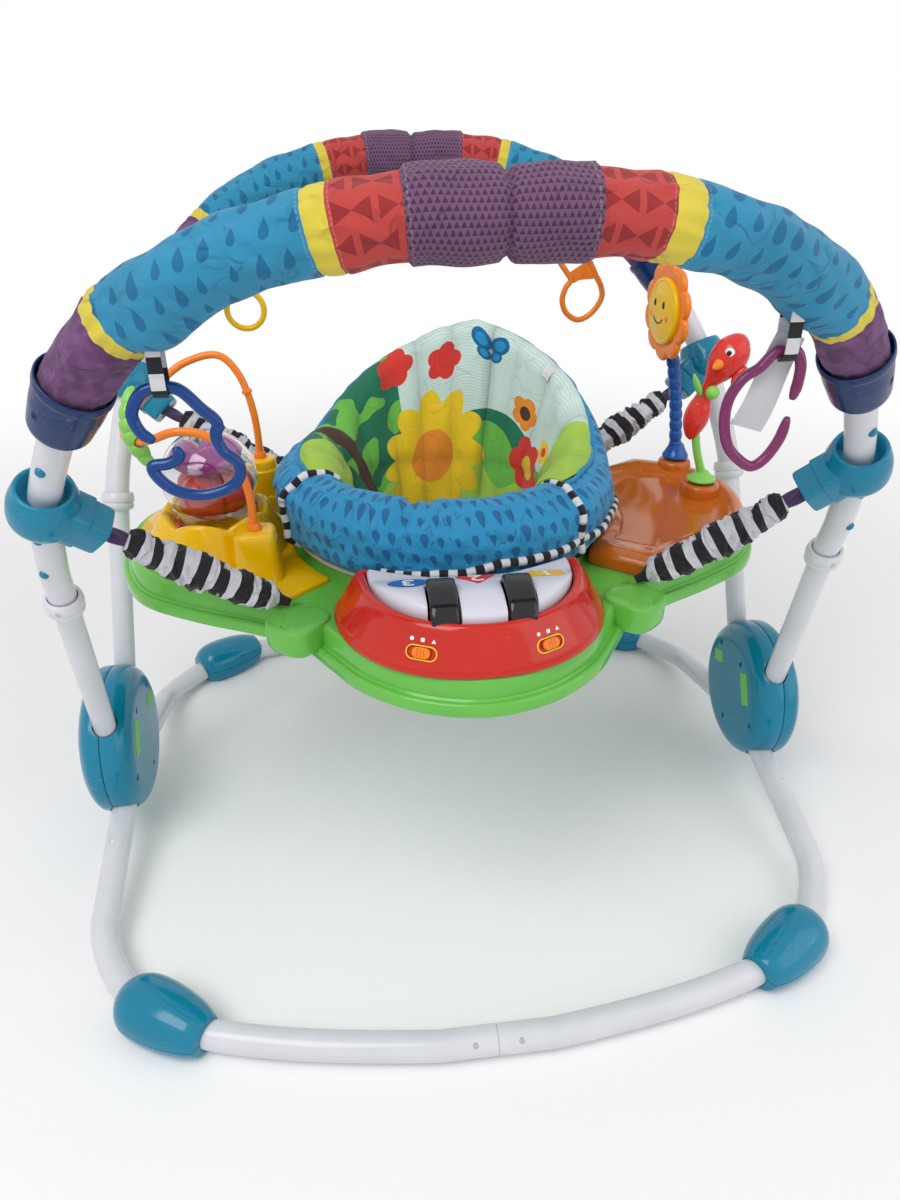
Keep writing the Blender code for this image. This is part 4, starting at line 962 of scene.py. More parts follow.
def add_feet():
    finish = plastic("teal_plastic", "teal", 0.16, 0.12, 0.5)
    half = 0.054
    line = [(0.0, 0.0, -half), (0.0196, 0.0, -half), (0.0215, 0.0, -half + 0.0015), (0.029, 0.0, -half + 0.01),
        (0.0336, 0.0, -half + 0.022), (0.035, 0.0, -half + 0.038), (0.0344, 0.0, -half + 0.056),
        (0.0322, 0.0, -half + 0.074), (0.028, 0.0, -half + 0.092), (0.022, 0.0, half - 0.002),
        (0.0195, 0.0, half), (0.0, 0.0, half)]
    profile = [(p.x, p.z) for p in smooth_path(line[1:-1], 3)]
    place = axes(FOOT_CENTRE, (-0.098, -0.064, 0.0))
    quarter = turned("foot", [line[0][::2]] + profile + [line[-1][::2]], place, 64)
    cut_flat(quarter, (0, 0, 0.0002), (0, 0, -1))
    groove(quarter, FOOT_CENTRE, (0, 0, 1), 0.001, 0.0009)
    hole = [p for p in smooth_path(BASE_ROUTE, 10) if 0.24 < p.x < 0.42 and p.y < -0.24]
    carved(quarter, swept("foot_bore", hole, 0.0162, None, 24))
    for name, (side, end) in CORNERS.items():
        foot = twin(quarter, f"foot_shell_{name}", side, end)
        dressed(foot, "frame", "teal_plastic", finish, f"base_foot_{name}")
    bpy.data.objects.remove(quarter)


class JUMPER_OT_feet(bpy.types.Operator):
    """Adds the egg-shaped feet round the bends of the base loop"""
    bl_idname = "jumper.feet"
    bl_label = "Feet"

    def execute(self, context):
        add_feet()
        return {"FINISHED"}


def add_uprights(context):
    finish = plastic("white_tube", "white_tube", 0.2, 0.35, 0.5)
    teal = plastic("teal_plastic", "teal", 0.16, 0.12, 0.5)
    steel = spring_steel()
    length = (COLLAR_POINT - UPRIGHT_FOOT).length
    place = axes(UPRIGHT_FOOT, UPRIGHT_WAY)
    line = rounded([(0.0118, 0.0), (0.0135, 0.0), (0.0135, length - 0.015), (0.0182, length - 0.0125),
        (0.0197, length - 0.01), (0.0197, length - 0.006), (0.0188, length - 0.0052), (0.0188, length - 0.004),
        (0.0203, length - 0.003), (0.0205, length + 0.002), (0.019, length + 0.009), (0.0152, length + 0.009),
        (0.0152, length - 0.001), (0.0118, length - 0.002)], 0.0012, 3)
    line.append(line[0])
    quarter = turned("upright", line, place, 48)
    arch_line = smooth_path(arch_route(1, 1), 10)
    arch_path, _ = even_path([Vector((max(0.0002, p.x), p.y, min(0.8005, p.z))) for p in arch_line], 170)
    arch = swept("arch_tube", arch_path, context.scene.jumper_frame.arch_tube, None, 28)
    for name, (side, end) in CORNERS.items():
        dressed(twin(quarter, f"upright_tube_{name}", side, end), "frame", "white_tube", finish,
            f"upright_{name}")
        dressed(twin(arch, f"arch_pole_{name}", side, end), "frame", "white_tube", finish, f"arch_tube_{name}")
        way = corner(Vector((0.1, -0.95, -0.2)), side, end).normalized()
        spot = corner(COLLAR_POINT, side, end) - corner(UPRIGHT_WAY, side, end) * 0.001 + way * 0.0199
        dressed(screw_head(f"collar_screw_{name}", axes(spot, way, (1, 0, 0))), "frame", "spring_steel", steel)
        for number, point in enumerate(((0.408, -0.1645, 0.473), (0.396, -0.188, 0.516), (0.364, -0.231, 0.6))):
            near = min(arch_path, key=lambda p: (p - Vector(point)).length)
            index = arch_path.index(near)
            along = (arch_path[index + 1] - arch_path[index - 1]).normalized()
            out = Vector((0.35, -0.9, -0.15))
            out = corner((out - along * out.dot(along)).normalized(), side, end)
            button = turned(f"snap_button_{number}_{name}",
                [(0.0, 0.0), (0.0048, 0.0), (0.0048, 0.0022), (0.0036, 0.004), (0.0018, 0.0048), (0.0, 0.005)],
                axes(corner(near, side, end) + out * 0.0128, out, (1, 0, 0)), 24)
            dressed(button, "frame", "teal_plastic", teal, angle=60)
    bpy.data.objects.remove(quarter)
    bpy.data.objects.remove(arch)


class JUMPER_OT_uprights(bpy.types.Operator):
    """Adds the straight tubes above the hubs with their flared collars, and the tubes of the arches"""
    bl_idname = "jumper.uprights"
    bl_label = "Uprights and arch tubes"

    def execute(self, context):
        add_uprights(context)
        return {"FINISHED"}


def add_hubs():
    finish = plastic("teal_plastic", "teal", 0.16, 0.12, 0.5)
    label = plastic("label_green", "label_green", 0.45, 0.3, 0.0)
    steel = spring_steel()
    t = 0.035
    radius = 0.096
    inside = [(0.093, 0, 0.0003), (0.093, 0, t - 0.024), (0.07, 0, t - 0.008), (0.0, 0, t - 0.008)]
    inner = [(0.0, 0, t), (0.07, 0, t), (0.08, 0, t - 0.0022), (0.089, 0, t - 0.008), (0.0945, 0, t - 0.0165),
        (radius, 0, t - 0.024), (radius, 0, 0.0003)] + inside
    outer = [(0.0, 0, t + 0.002), (0.054, 0, t + 0.002), (0.0575, 0, t + 0.0005), (0.059, 0, t - 0.003),
        (0.065, 0, t - 0.0036), (0.079, 0, t - 0.0058), (0.089, 0, t - 0.012), (0.0945, 0, t - 0.018),
        (radius, 0, t - 0.024), (radius, 0, 0.0003)] + inside
    base_bore = smooth_path(BASE_ROUTE, 10)[:14]
    for side, side_name in ((-1, "left"), (1, "right")):
        centre = corner(HUB_CENTRE, side, 1)
        for word, line, way in (("inner", inner, -side), ("outer", outer, side)):
            profile = [(p.x, p.z) for p in eased(line, 0.006, 5)]
            place = axes(centre, (way, 0, 0))
            shell = turned(f"hub_{side_name}_{word}", profile, place, 96)
            for end in (1, -1):
                carved(shell, swept("bore", [corner(p, side, end) for p in base_bore], 0.0172, None, 24))
                foot = corner(UPRIGHT_FOOT, side, end)
                up = corner(UPRIGHT_WAY, side, end)
                carved(shell, swept("bore", [foot - up * 0.03, foot + up * 0.1], 0.0152, None, 24))
            if word == "inner":
                for y, z in ((0.046, 0.05), (-0.02, 0.054), (0.004, -0.05), (-0.072, -0.012)):
                    well = Vector((centre.x - side * (t + 0.001), y, centre.z + z))
                    carved(shell, turned("well", [(0.0, 0.0), (0.0042, 0.0), (0.003, 0.0055), (0.0, 0.0055)],
                        axes(well, (side, 0, 0)), 20))
                    head = axes(well + Vector((side * 0.0052, 0, 0)), (-side, 0, 0))
                    dressed(screw_head(f"hub_screw_{side_name}_{'lr'[y > 0]}{'lh'[z > 0]}", head, 0.0026),
                        "frame", "spring_steel", steel)
                for number, (y, z, turn, long,
                        high) in enumerate(((-0.042, 0.028, -62, 0.0225, 0.01),
                        (0.046, 0.027, 20, 0.013, 0.009))):
                    outline = [(p.x, p.y)
                        for p in eased([(-long, -high, 0), (long, -high, 0), (long, high, 0), (-long, high, 0)],
                        0.004, 5, True)]
                    spot = Vector((centre.x - side * t, y, centre.z + z))
                    turn = Matrix.Rotation(radians(turn) * side, 4, "Z")
                    patch = slab(f"hub_label_{side_name}_{number}", outline, 0.0, 0.0004,
                        axes(spot, (-side, 0, 0), (0, 1, 0)) @ turn)
                    dressed(patch, "frame", "teal_plastic", label)
            dressed(shell, "frame", "teal_plastic", finish, f"hub_{side_name}_{word}_shell", angle=30)


class JUMPER_OT_hubs(bpy.types.Operator):
    """Adds the two round side hubs with their shells, tube ports, screw wells and bare labels"""
    bl_idname = "jumper.hubs"
    bl_label = "Hubs"

    def execute(self, context):
        add_hubs()
        return {"FINISHED"}


def add_housings():
    finish = plastic("teal_plastic", "teal", 0.16, 0.12, 0.5)
    half = 0.025
    line = rounded([(0.0, -half), (0.0235, -half), (0.029, -half + 0.006), (0.0326, -half + 0.013),
        (0.033, -0.004), (0.0318, 0.008), (0.0285, 0.018), (0.0262, half - 0.001), (0.025, half),
        (0.0232, half), (0.0215, half - 0.002), (0.017, half - 0.014), (0.0, half - 0.015)], 0.004, 4)
    barrel = turned("housing", line, axes(HOUSING_CENTRE, HOUSING_WAY), 64)
    way = NOSE_END - HOUSING_CENTRE
    reach = way.length
    place = axes(HOUSING_CENTRE, way, HOUSING_WAY)
    rings = [[place @ upwards(0.006)]]
    for share, at in ((1.0, 0.006), (1.0, reach - 0.0215), (0.985, reach - 0.0205), (0.925, reach - 0.0198),
            (0.918, reach - 0.019), (0.913, reach - 0.004), (0.88, reach - 0.0012), (0.8, reach),
            (0.56, reach - 0.0002), (0.5, reach - 0.0012)):
        ring = []
        for i in range(72):
            x, y = superellipse(tau * i / 72, 0.0218 * share, 0.0208 * share, 0.0208 * share, 5.0)
            ring.append(place @ Vector((x, y, at)))
        rings.append(ring)
    rings.append([place @ upwards(reach - 0.0012)])
    quarter = carved(barrel, lofted("nose", rings), operation="UNION")
    for name, (side, end) in CORNERS.items():
        dressed(twin(quarter, f"housing_{name}", side, end), "frame", "teal_plastic", finish,
            f"spring_housing_{name}", angle=30)
    bpy.data.objects.remove(quarter)


class JUMPER_OT_housings(bpy.types.Operator):
    """Adds the spring housings: a glossy barrel on the arch tube with a square nose towards the tray"""
    bl_idname = "jumper.housings"
    bl_label = "Spring housings"

    def execute(self, context):
        add_housings()
        return {"FINISHED"}


def add_cups():
    finish = plastic("navy_plastic", "navy", 0.2, 0.12, 0.4)
    way = CUP_HIGH - CUP_LOW
    length = way.length
    line = rounded([(0.0, 0.0), (0.0215, 0.0), (0.0245, 0.0018), (0.0262, 0.006), (0.0292, length * 0.55),
        (0.03, length - 0.009), (0.0315, length - 0.0076), (0.0315, length - 0.001), (0.0308, length),
        (0.0295, length), (0.0284, length - 0.006), (0.0278, length - 0.014), (0.0, length - 0.0145)], 0.0022,
        4)
    quarter = turned("cup", line, axes(CUP_LOW, way), 64)
    along = way.normalized()
    out = Vector((0.55, -0.8, 0.1))
    out = (out - along * out.dot(along)).normalized()
    dimple = ball("dimple", (0.005, 0.005, 0.003), axes(CUP_LOW + way * 0.45 + out * 0.0293, out))
    carved(quarter, dimple)
    for name, (side, end) in CORNERS.items():
        dressed(twin(quarter, f"cup_{name}", side, end), "frame", "navy_plastic", finish, f"arch_cup_{name}",
            angle=30)
    bpy.data.objects.remove(quarter)


class JUMPER_OT_cups(bpy.types.Operator):
    """Adds the dark blue cups that take the ends of the arch pads"""
    bl_idname = "jumper.cups"
    bl_label = "Arch cups"

    def execute(self, context):
        add_cups()
        return {"FINISHED"}


def pad_path():
    """The pad's middle line from the left cup over the arch to the right cup, evenly spaced."""
    outer = Vector(ARCH_ROUTE[3])
    start = outer + 0.012 * (CUP_LOW - outer).normalized()
    half = [start] + [Vector(p) for p in ARCH_ROUTE[3:-1]] + [Vector((0.0, -0.363, 0.8005))]
    line = smooth_path(half, 12)
    line = [Vector((p.x, p.y, min(p.z, 0.8005))) for p in line]
    whole = [Vector((-p.x, p.y, p.z)) for p in line] + line[-2::-1]
    return even_path(whole, 300)


def pad_reach(word, length):
    """The pad's radius: full between its seams, drawn in at them, thick and tied in at the wrap."""
    seams = PAD_SEAMS[word]
    full = bpy.context.scene.jumper_cloth.pad_radius

    def reach(share, turn):
        spot = (share - 0.5) * length
        end = length / 2 - abs(spot)
        low = max(0.0, -sin(turn))
        radius = full
        if seams[4] < spot < seams[5]:
            inside = min(spot - seams[4], seams[5] - spot)
            radius = full + 0.0028 + 0.0012 * sin(pi * min(1.0, inside / 0.06))
            tie = abs(spot + 0.002)
            radius -= 0.005 * exp(-(tie / 0.003) ** 2)
            radius += 0.0009 * sin(9 * turn + 1.3) * exp(-(tie / 0.012) ** 2)
            radius += 0.0004 * sin(17 * turn) * exp(-(inside / 0.004) ** 2)
        for seam in seams[:4] + seams[6:]:
            radius -= 0.0012 * exp(-((spot - seam) / 0.0017) ** 2)
            ruffle = sin(13 * turn + 900 * seam) + 0.6 * sin(21 * turn + 400 * seam)
            radius += 0.0005 * ruffle * exp(-((spot - seam) / 0.014) ** 2)
        # The blue lengths hang down a little where the toys pull at them.
        for place in (-0.252, 0.262):
            radius += 0.0065 * low ** 2 * exp(-((spot - place) / 0.027) ** 2)
        crease = sin(5 * turn + 60 * spot) * sin(95 * spot + 2.0 * sin(3 * turn))
        fold = sin(2 * turn - 61 * share + 1.0) + sin(3 * turn + 34 * share)
        radius += 0.0006 * fold + 0.0011 * crease * (end > 0.03)
        if end < 0.02:
            radius = min(radius, 0.0262 + 0.0006 * sin(13 * turn))
        if end < 0.002:
            radius = 0.0235
        return radius
    return reach


def add_arch_pads():
    path, length = pad_path()
    for word, end in (("front", 1), ("rear", -1)):
        line = [corner(p, 1, end) for p in path]
        rings = tube_rings(line, pad_reach(word, length), 56)
        pad = lofted(f"arch_pad_cover_{word}", [[line[0]]] + rings + [[line[-1]]])
        dressed(pad, "frame", "pad_cloth", pad_cloth(word, length), f"arch_pad_{word}", angle=50)
    for name, bar, end in (("blue", BLUE_BAR, 1), ("purple", PURPLE_BAR, 1), ("yellow", YELLOW_BAR, -1),
            ("orange", ORANGE_BAR, -1)):
        near = min(path, key=lambda p: abs(p.x - bar.x))
        top = near.z - 0.012
        low = bar.z + 0.0022
        line = [(bar.y - 0.0088, top)]
        for i in range(13):
            turn = pi + pi * i / 12
            line.append((bar.y + 0.0088 * cos(turn), low + 0.0088 * sin(turn)))
        line.append((bar.y + 0.0088, top))
        steps, _ = even_path([Vector((0.0, y, z)) for y, z in line], 40)
        rings = []
        for index, spot in enumerate(steps):
            after = steps[min(index + 1, 39)] - steps[max(index - 1, 0)]
            out = Vector((0.0, after.z, -after.y)).normalized() * 0.0007
            ring = []
            for x in (-1.0, -0.6, -0.2, 0.2, 0.6, 1.0):
                bow = out * (0.3 * (1 - x * x))
                ring.append(Vector((bar.x + x * 0.0052, spot.y, spot.z)) + bow)
            rings.append(ring)
        loop = lofted(f"hanging_loop_{name}", rings, around=False)
        modified(loop, "SOLIDIFY", thickness=0.0014, offset=0.0)
        dressed(loop, "frame", "pad_cloth", webbing("loop_webbing", "webbing_black", "webbing_white", 5.0))
    tag_rings = []
    for i in range(25):
        t = i / 24
        spot = PURPLE_BAR + Vector((0.004 - 0.016 * t - 0.01 * t * t, 0.004 + 0.003 * sin(5 * t),
            0.012 - 0.072 * t))
        wide = 0.0115 + 0.002 * t
        tag_rings.append([spot + Vector((wide * x, 0.0018 * (1 - x * x) * sin(7 * t), -0.3 * wide * x))
            for x in (-1, -0.6, -0.2, 0.2, 0.6, 1)])
    tag = lofted("care_tag", tag_rings[::-1], around=False)
    modified(tag, "SOLIDIFY", thickness=0.0006, offset=0.0)
    dressed(tag, "purple_link", "pad_cloth", tag_cloth())


class JUMPER_OT_arch_pads(bpy.types.Operator):
    """Adds the padded covers of both arches with their wraps and the webbing loops for the toys"""
    bl_idname = "jumper.arch_pads"
    bl_label = "Arch pads"

    def execute(self, context):
        add_arch_pads()
        return {"FINISHED"}


def add_sleeves():
    cloth = zebra_cloth()
    strap_cloth = webbing("nose_webbing", "webbing_purple", "webbing_purple", 1.0)
    start = NOSE_END
    way = (SLEEVE_END - NOSE_END).normalized()
    length = (SLEEVE_END - NOSE_END).length
    place = axes(start, way)
    rows = 150
    rings = []
    for row in range(rows + 1):
        t = row / rows
        at = 0.021 + t * (length - 0.021)
        full = sin(pi * min(1.0, (t + 0.06) / 1.07)) ** 0.42
        radius = 0.004 + 0.0152 * full + 0.0011 * sin(17 * t + 1.0) + 0.0008 * sin(31 * t)
        if t > 0.88:
            radius = radius + (0.0048 - radius) * min(1.0, (t - 0.88) / 0.09)
        if t < 0.05:
            radius = 0.01 + (radius - 0.01) * (t / 0.05) ** 0.5
        sag = 0.004 * sin(pi * t)
        ring = []
        for i in range(48):
            turn = tau * i / 48
            wander = 0.75 * sin(turn + 5.0 * t) + 0.3 * sin(2 * turn - 9.0 * t)
            ruche = 0.5 + 0.5 * sin(tau * (10.0 * t + wander))
            small = sin(tau * (23.0 * t + 0.8 * sin(2 * turn + 11 * t)) + 3 * sin(turn))
            depth = (0.0026 + 0.0014 * sin(2 * turn + 13 * t)) * min(1.0, 6 * t) * (1 if t < 0.88 else 0.25)
            r = radius - depth * ruche ** 1.5 + 0.0006 * small * (t < 0.9) + 0.0006 * sin(7 * turn + 20 * t)
            oval = 1 + 0.1 * cos(2 * turn + 2 * t)
            ring.append(place @ Vector((r * oval * cos(turn) - sag, r * sin(turn) / oval, at)))
        rings.append(ring)
    rings = [[place @ upwards(0.021)]] + rings + [[place @ upwards(length)]]
    quarter = lofted("sleeve", rings)
    strap_rings = []
    for i in range(26):
        t = i / 25
        ring = []
        for j in range(32):
            y, x = superellipse(tau * j / 32, 0.0124 - 0.0034 * t, 1.0, 1.0, 2.8)
            puff = 0.0056 - 0.0016 * t + 0.0007 * sin(11 * t + 3 * y * 100)
            ring.append(place @ Vector((x * puff, y, -0.006 + 0.042 * t)))
        strap_rings.append(ring)
    strap = lofted("strap", [[place @ upwards(-0.006)]] + strap_rings + [[place @ upwards(0.036)]])
    for name, (side, end) in CORNERS.items():
        sleeve = twin(quarter, f"sleeve_cover_{name}", side, end)
        band = twin(strap, f"nose_strap_{name}", side, end)
        dressed(sleeve, None, "striped_cloth", cloth, f"spring_sleeve_{name}", angle=60)
        dressed(band, "frame", "striped_cloth", strap_cloth)
        corner(NOSE_END, side, end)
        corner(SLEEVE_END, side, end)
        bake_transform(sleeve)
        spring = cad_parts[f"bounce_spring_{name}"]
        spring.data.materials.clear()
        spring.data.materials.append(spring_steel())
    bpy.data.objects.remove(quarter)
    bpy.data.objects.remove(strap)


class JUMPER_OT_sleeves(bpy.types.Operator):
    """Adds the straps and the ruched sleeves round the bounce springs, between the housings' noses and the tray
    """
    bl_idname = "jumper.sleeves"
    bl_label = "Straps and sleeves"

    def execute(self, context):
        add_sleeves()
        return {"FINISHED"}


# The tray and its stations


def tray_edge(count, inset=0.0):
    """The tray's outline, as the part has it, moved inwards by the inset."""
    half = [(0.0, -0.339), (0.062, -0.324), (0.114, -0.286), (0.146, -0.24), (0.172, -0.202), (0.219, -0.168),
        (0.289, -0.131), (0.35, -0.088), (0.38, -0.032), (0.391, 0.035), (0.376, 0.1), (0.325, 0.15),
        (0.235, 0.188), (0.12, 0.218), (0.0, 0.232)]
    loop = half + [(-x, y) for x, y in reversed(half[1:-1])]
    fine = smooth_path([(x, y, 0.0) for x, y in loop], 10, True)
    points, _ = even_path(fine + [fine[0]], count + 1)
    points = points[:-1]
    moved = []
    for i, point in enumerate(points):
        tangent = (points[(i + 1) % count] - points[i - 1]).normalized()
        moved.append(point + Vector((-tangent.y, tangent.x, 0.0)) * inset)
    return moved


def lobe_radius(side, angle, inset):
    """How far the tray's edge is from the middle at an angle from its own side."""
    way = Vector((cos(angle) * side, sin(angle), 0.0))
    edge = tray_edge_table(inset)
    return max(edge, key=lambda p: p.normalized().dot(way)).length


@once
def tray_edge_table(inset):
    return tray_edge(1400, inset)


def lobe_outline(side, back_angle, front_angle, margin, inset=0.0, count=60):
    """A side station's plate: it fills the tray's side lobe, from the collar outwards."""
    low = radians(front_angle) + inset * 3
    high = radians(back_angle) - inset * 3
    ring = []
    for i in range(count):
        angle = low + (high - low) * i / (count - 1)
        radius = lobe_radius(side, angle, margin + inset)
        ring.append(Vector((side * cos(angle) * radius, sin(angle) * radius, 0.0)))
    for i in range(count // 2):
        angle = high + (low - high) * i / (count // 2 - 1)
        radius = 0.1865 + inset
        ring.append(Vector((side * cos(angle) * radius, sin(angle) * radius, 0.0)))
    return eased(ring, 0.008, 3, True)


def add_tray():
    finish = plastic("tray_green", "tray_green", 0.16, 0.2, 0.5)
    # Near-black plastic for the painted shadow inside the strap slots.
    dark = plastic("slot_dark", "tray_shadow", 0.5, 0.0, 0.0)
    count = 300
    hole = [Vector((p.x, p.y, 0.0)).normalized() for p in tray_edge(count)]
    section = rounded([(0.0032, 0.376), (0.0012, 0.375), (0.0, 0.3765), (0.0, 0.3872), (0.002, 0.3895),
        (0.0062, 0.3893), (0.0072, 0.388), (0.0082, 0.3884), (0.0088, 0.399), (0.0102, 0.4085), (0.013, 0.411),
        (0.019, 0.411)], 0.001, 2)
    rings = []
    for inset, height in section:
        rings.append([Vector((p.x, p.y, height)) for p in tray_edge(count, inset)])
    for radius, height in ((0.183, 0.411), (0.1802, 0.4116), (0.179, 0.4134), (0.1782, 0.4228),
            (0.1776, 0.4244), (0.1766, 0.425), (0.1756, 0.4244), (0.175, 0.4228), (0.175, 0.4082)):
        rings.append([h * radius + upwards(height) for h in hole])
    for inset, height in ((0.016, 0.4082), (0.0125, 0.407), (0.0112, 0.393), (0.0035, 0.387), (0.0032, 0.376)):
        rings.append([Vector((p.x, p.y, height)) for p in tray_edge(count, inset)])
    tray = lofted("tray_shell", rings)
    for name, (side, end) in CORNERS.items():
        centre = corner(POD_CENTRE, side, end)
        place = axes((centre.x, centre.y, 0.0), (0, 0, 1), (centre.x, centre.y, 0.0))
        rings = [[place @ upwards(0.3832)]]
        for share, height in ((0.6, 0.3832), (0.86, 0.3838), (0.955, 0.3862), (0.99, 0.39), (1.0, 0.395),
                (1.0, 0.4095), (0.993, 0.412), (0.972, 0.4138), (0.938, 0.4147), (0.88, 0.415), (0.5, 0.415)):
            ring = []
            for i in range(72):
                x, y = superellipse(tau * i / 72, 0.0292 * share, 0.0283 * share, 0.0283 * share, 3.2)
                ring.append(place @ Vector((x, y, height)))
            rings.append(ring)
        rings.append([place @ upwards(0.415)])
        pod = lofted(f"strap_pod_{name}", rings)
        mouth = corner(SLEEVE_END, side, end) - Vector((0.01 * side, 0, 0))
        carved(pod, slab("slot", pill(0.018, 0.0055), 0.401, 0.42, Matrix.Translation((mouth.x, mouth.y, 0.0)),
            0.0))
        dent = Vector((centre.x + side * 0.012, centre.y - end * 0.016, 0.4152))
        carved(pod, ball("dent", (0.0042, 0.0042, 0.0026), Matrix.Translation(dent)))
        softened(pod, 0.0008, 2, 55)
        dressed(pod, TRAY, "tray_green", finish)
        # A near-black sheet low in each strap slot: painted shadow inside the slot.
        lining = slab(f"slot_lining_{name}", pill(0.0176, 0.0051), 0.4008, 0.4022,
            Matrix.Translation((mouth.x, mouth.y, 0.0)), 0.0004)
        dressed(lining, TRAY, "tray_green", dark)
    dressed(tray, TRAY, "tray_green", finish, "tray", angle=30)


class JUMPER_OT_tray(bpy.types.Operator):
    """Adds the green tray with its rolled rim, stepped skirt, collar and the four pods for the straps"""
    bl_idname = "jumper.tray"
    bl_label = "Tray"

    def execute(self, context):
        add_tray()
        return {"FINISHED"}


def piano_ring(half_x, front, back_radius, height, count=180):
    ring = []
    for i in range(count):
        x, y = superellipse(tau * i / count, half_x, -front + PIANO_Y, 1.0, 2.15)
        if y > 0:
            y *= -sqrt(back_radius ** 2 - x ** 2) - PIANO_Y
        ring.append(Vector((x, PIANO_Y + y, height)))
    return ring


def key_top(y):
    """The keys slope down towards the seat, where the child sits, and are rounded off in front."""
    way = clamped((-0.2155 - y) / 0.0875)
    if way < 0.62:
        return 0.4585 + 0.012 * sin(pi / 2 * way / 0.62)
    return 0.4705 - 0.008 * ((way - 0.62) / 0.38) ** 1.8


def piano_slope(turn, share):
    low = superellipse(turn, 0.1385, 0.3285 + PIANO_Y, 0.0, 2.15)
    high = superellipse(turn, 0.1135, 0.312 + PIANO_Y, 0.0, 2.15)
    low = Vector((low[0], PIANO_Y + low[1], PLATE_TOP))
    return low.lerp(Vector((high[0], PIANO_Y + high[1], 0.454)), share)


def switch_places():
    """Frames on the housing's sloping front: X along the switch's travel, Z out of the slope."""
    places = {}
    for name, angle in (("mode_switch", radians(-116)), ("volume_switch", radians(-64))):
        along = piano_slope(angle + 0.06, 0.42) - piano_slope(angle - 0.06, 0.42)
        up = piano_slope(angle, 0.6) - piano_slope(angle, 0.2)
        places[name] = axes(piano_slope(angle, 0.42), along.cross(up), along)
    return places


def add_piano():
    red = plastic("piano_red", "piano_red", 0.15, 0.05, 0.5)
    pale = plastic("picture_white", "picture_white", 0.4, 0.1, 0.0)
    black = plastic("bar_black", "bar_black", 0.1, 0.15, 0.6)
    white = plastic("key_white", "key_white", 0.2, 0.12, 0.4)
    orange = plastic("switch_orange", "switch_orange", 0.25, 0.1, 0.3)
    yellow = plastic("switch_yellow", "switch_yellow", 0.4, 0.1, 0.0)
    rings = [[Vector((0.0, -0.25, TRAY_TOP))]]
    for half_x, front, back, height in ((0.1365, -0.3265, 0.2058, TRAY_TOP), (0.1381, -0.3281, 0.2048, 0.4117),
            (0.1385, -0.3285, 0.2045, 0.4128), (0.1383, -0.3283, 0.2045, 0.416),
            (0.134, -0.3256, 0.2052, 0.4228), (0.129, -0.3225, 0.206, 0.4303),
            (0.1245, -0.3196, 0.2067, 0.4377), (0.1205, -0.3169, 0.2073, 0.4446),
            (0.1168, -0.3141, 0.2079, 0.4502), (0.1143, -0.3121, 0.2085, 0.4537),
            (0.1118, -0.3102, 0.2096, 0.456), (0.1092, -0.3083, 0.2112, 0.4569),
            (0.1068, -0.3062, 0.213, 0.4567), (0.1051, -0.3043, 0.2144, 0.4553),
            (0.1043, -0.3033, 0.2152, 0.453), (0.104, -0.303, 0.2155, 0.44)):
        ring = piano_ring(half_x, front, back, height)
        for point in ring:
            # Behind the keys the rim stays low, so that they reach the seat.
            back_part = clamped((point.y + 0.235) / 0.015) * clamped((0.102 - abs(point.x)) / 0.012)
            point.z -= 0.0105 * back_part * max(0.0, height - 0.43) / 0.027
        rings.append(ring)
    rings.append([Vector((0.0, -0.25, 0.44))])
    housing = lofted("piano_shell", rings)
    for name, place in switch_places().items():
        carved(housing, slab("recess", pill(0.0145, 0.0062), -0.0017, 0.012, place))
        frame_ring = slab(f"{name}_frame", pill(0.0153, 0.007), -0.0008, 0.0006, place, 0.0003)
        carved(frame_ring, slab("opening", pill(0.0142, 0.0059), -0.003, 0.003, place))
        dressed(frame_ring, TRAY, "piano_red", yellow)
        for i, outline in enumerate((pill(0.002, 0.0019, 6),
                [(-0.0018, -0.0018), (0.0018, -0.0018), (0.0018, 0.0018), (-0.0018, 0.0018)],
                [(-0.0021, -0.0018), (0.0021, -0.0018), (0.0, 0.002)])):
            spot = place @ Matrix.Translation((0.0105 * (i - 1), -0.012 if place.col[1].z < 0 else 0.012, 0.0))
            dressed(slab(f"{name}_mark_{i}", outline, -0.0012, 0.0012 if i == 1 else 0.0005, spot), TRAY,
                "piano_red", pale)
        knob = slab(f"{name}_knob", pill(0.0088, 0.0052), -0.0012, 0.0028, place, 0.001)
        for x in (-0.003, 0.0, 0.003):
            ridge = [(x - 0.0004, -0.006), (x + 0.0004, -0.006), (x + 0.0004, 0.006), (x - 0.0004, 0.006)]
            carved(knob, slab("ridge", ridge, 0.0019, 0.004, place))
        dressed(knob, name, "switch_orange", orange, name)
    dressed(housing, TRAY, "piano_red", red, "piano_housing", angle=30)
    for side, word in ((-1, "left"), (1, "right")):
        line, _ = even_path(smooth_path([(side * 0.036, -0.2508, 0.448), (side * 0.036, -0.251, 0.464),
            (side * 0.036, -0.256, 0.4738), (side * 0.036, -0.268, 0.4745), (side * 0.036, -0.282, 0.4702),
            (side * 0.036, -0.293, 0.463), (side * 0.036, -0.2985, 0.454), (side * 0.036, -0.299, 0.442)], 6),
            44)
        rings = []
        for i, point in enumerate(line):
            along = (line[min(43, i + 1)] - line[max(0, i - 1)]).normalized()
            out = Vector((0.0, -along.z, along.y))
            share = 1.0 if 1 < i < 42 else 0.86
            wide = 0.0138 * share * (1 - 0.06 * (i / 43))
            ring = []
            for j in range(36):
                x, z = superellipse(tau * j / 36, wide, 0.0055 * share, 0.0055 * share, 3.6)
                crown = 0.001 * (1 - (x / wide) ** 2)
                ring.append(point + Vector((x, 0, 0)) + out * (z + crown))
            rings.append(ring)
        bar = lofted(f"piano_bar_{word}", [[line[0]]] + rings + [[line[-1]]])
        dressed(bar, TRAY, "piano_red", black, angle=60)
    add_keys(white)


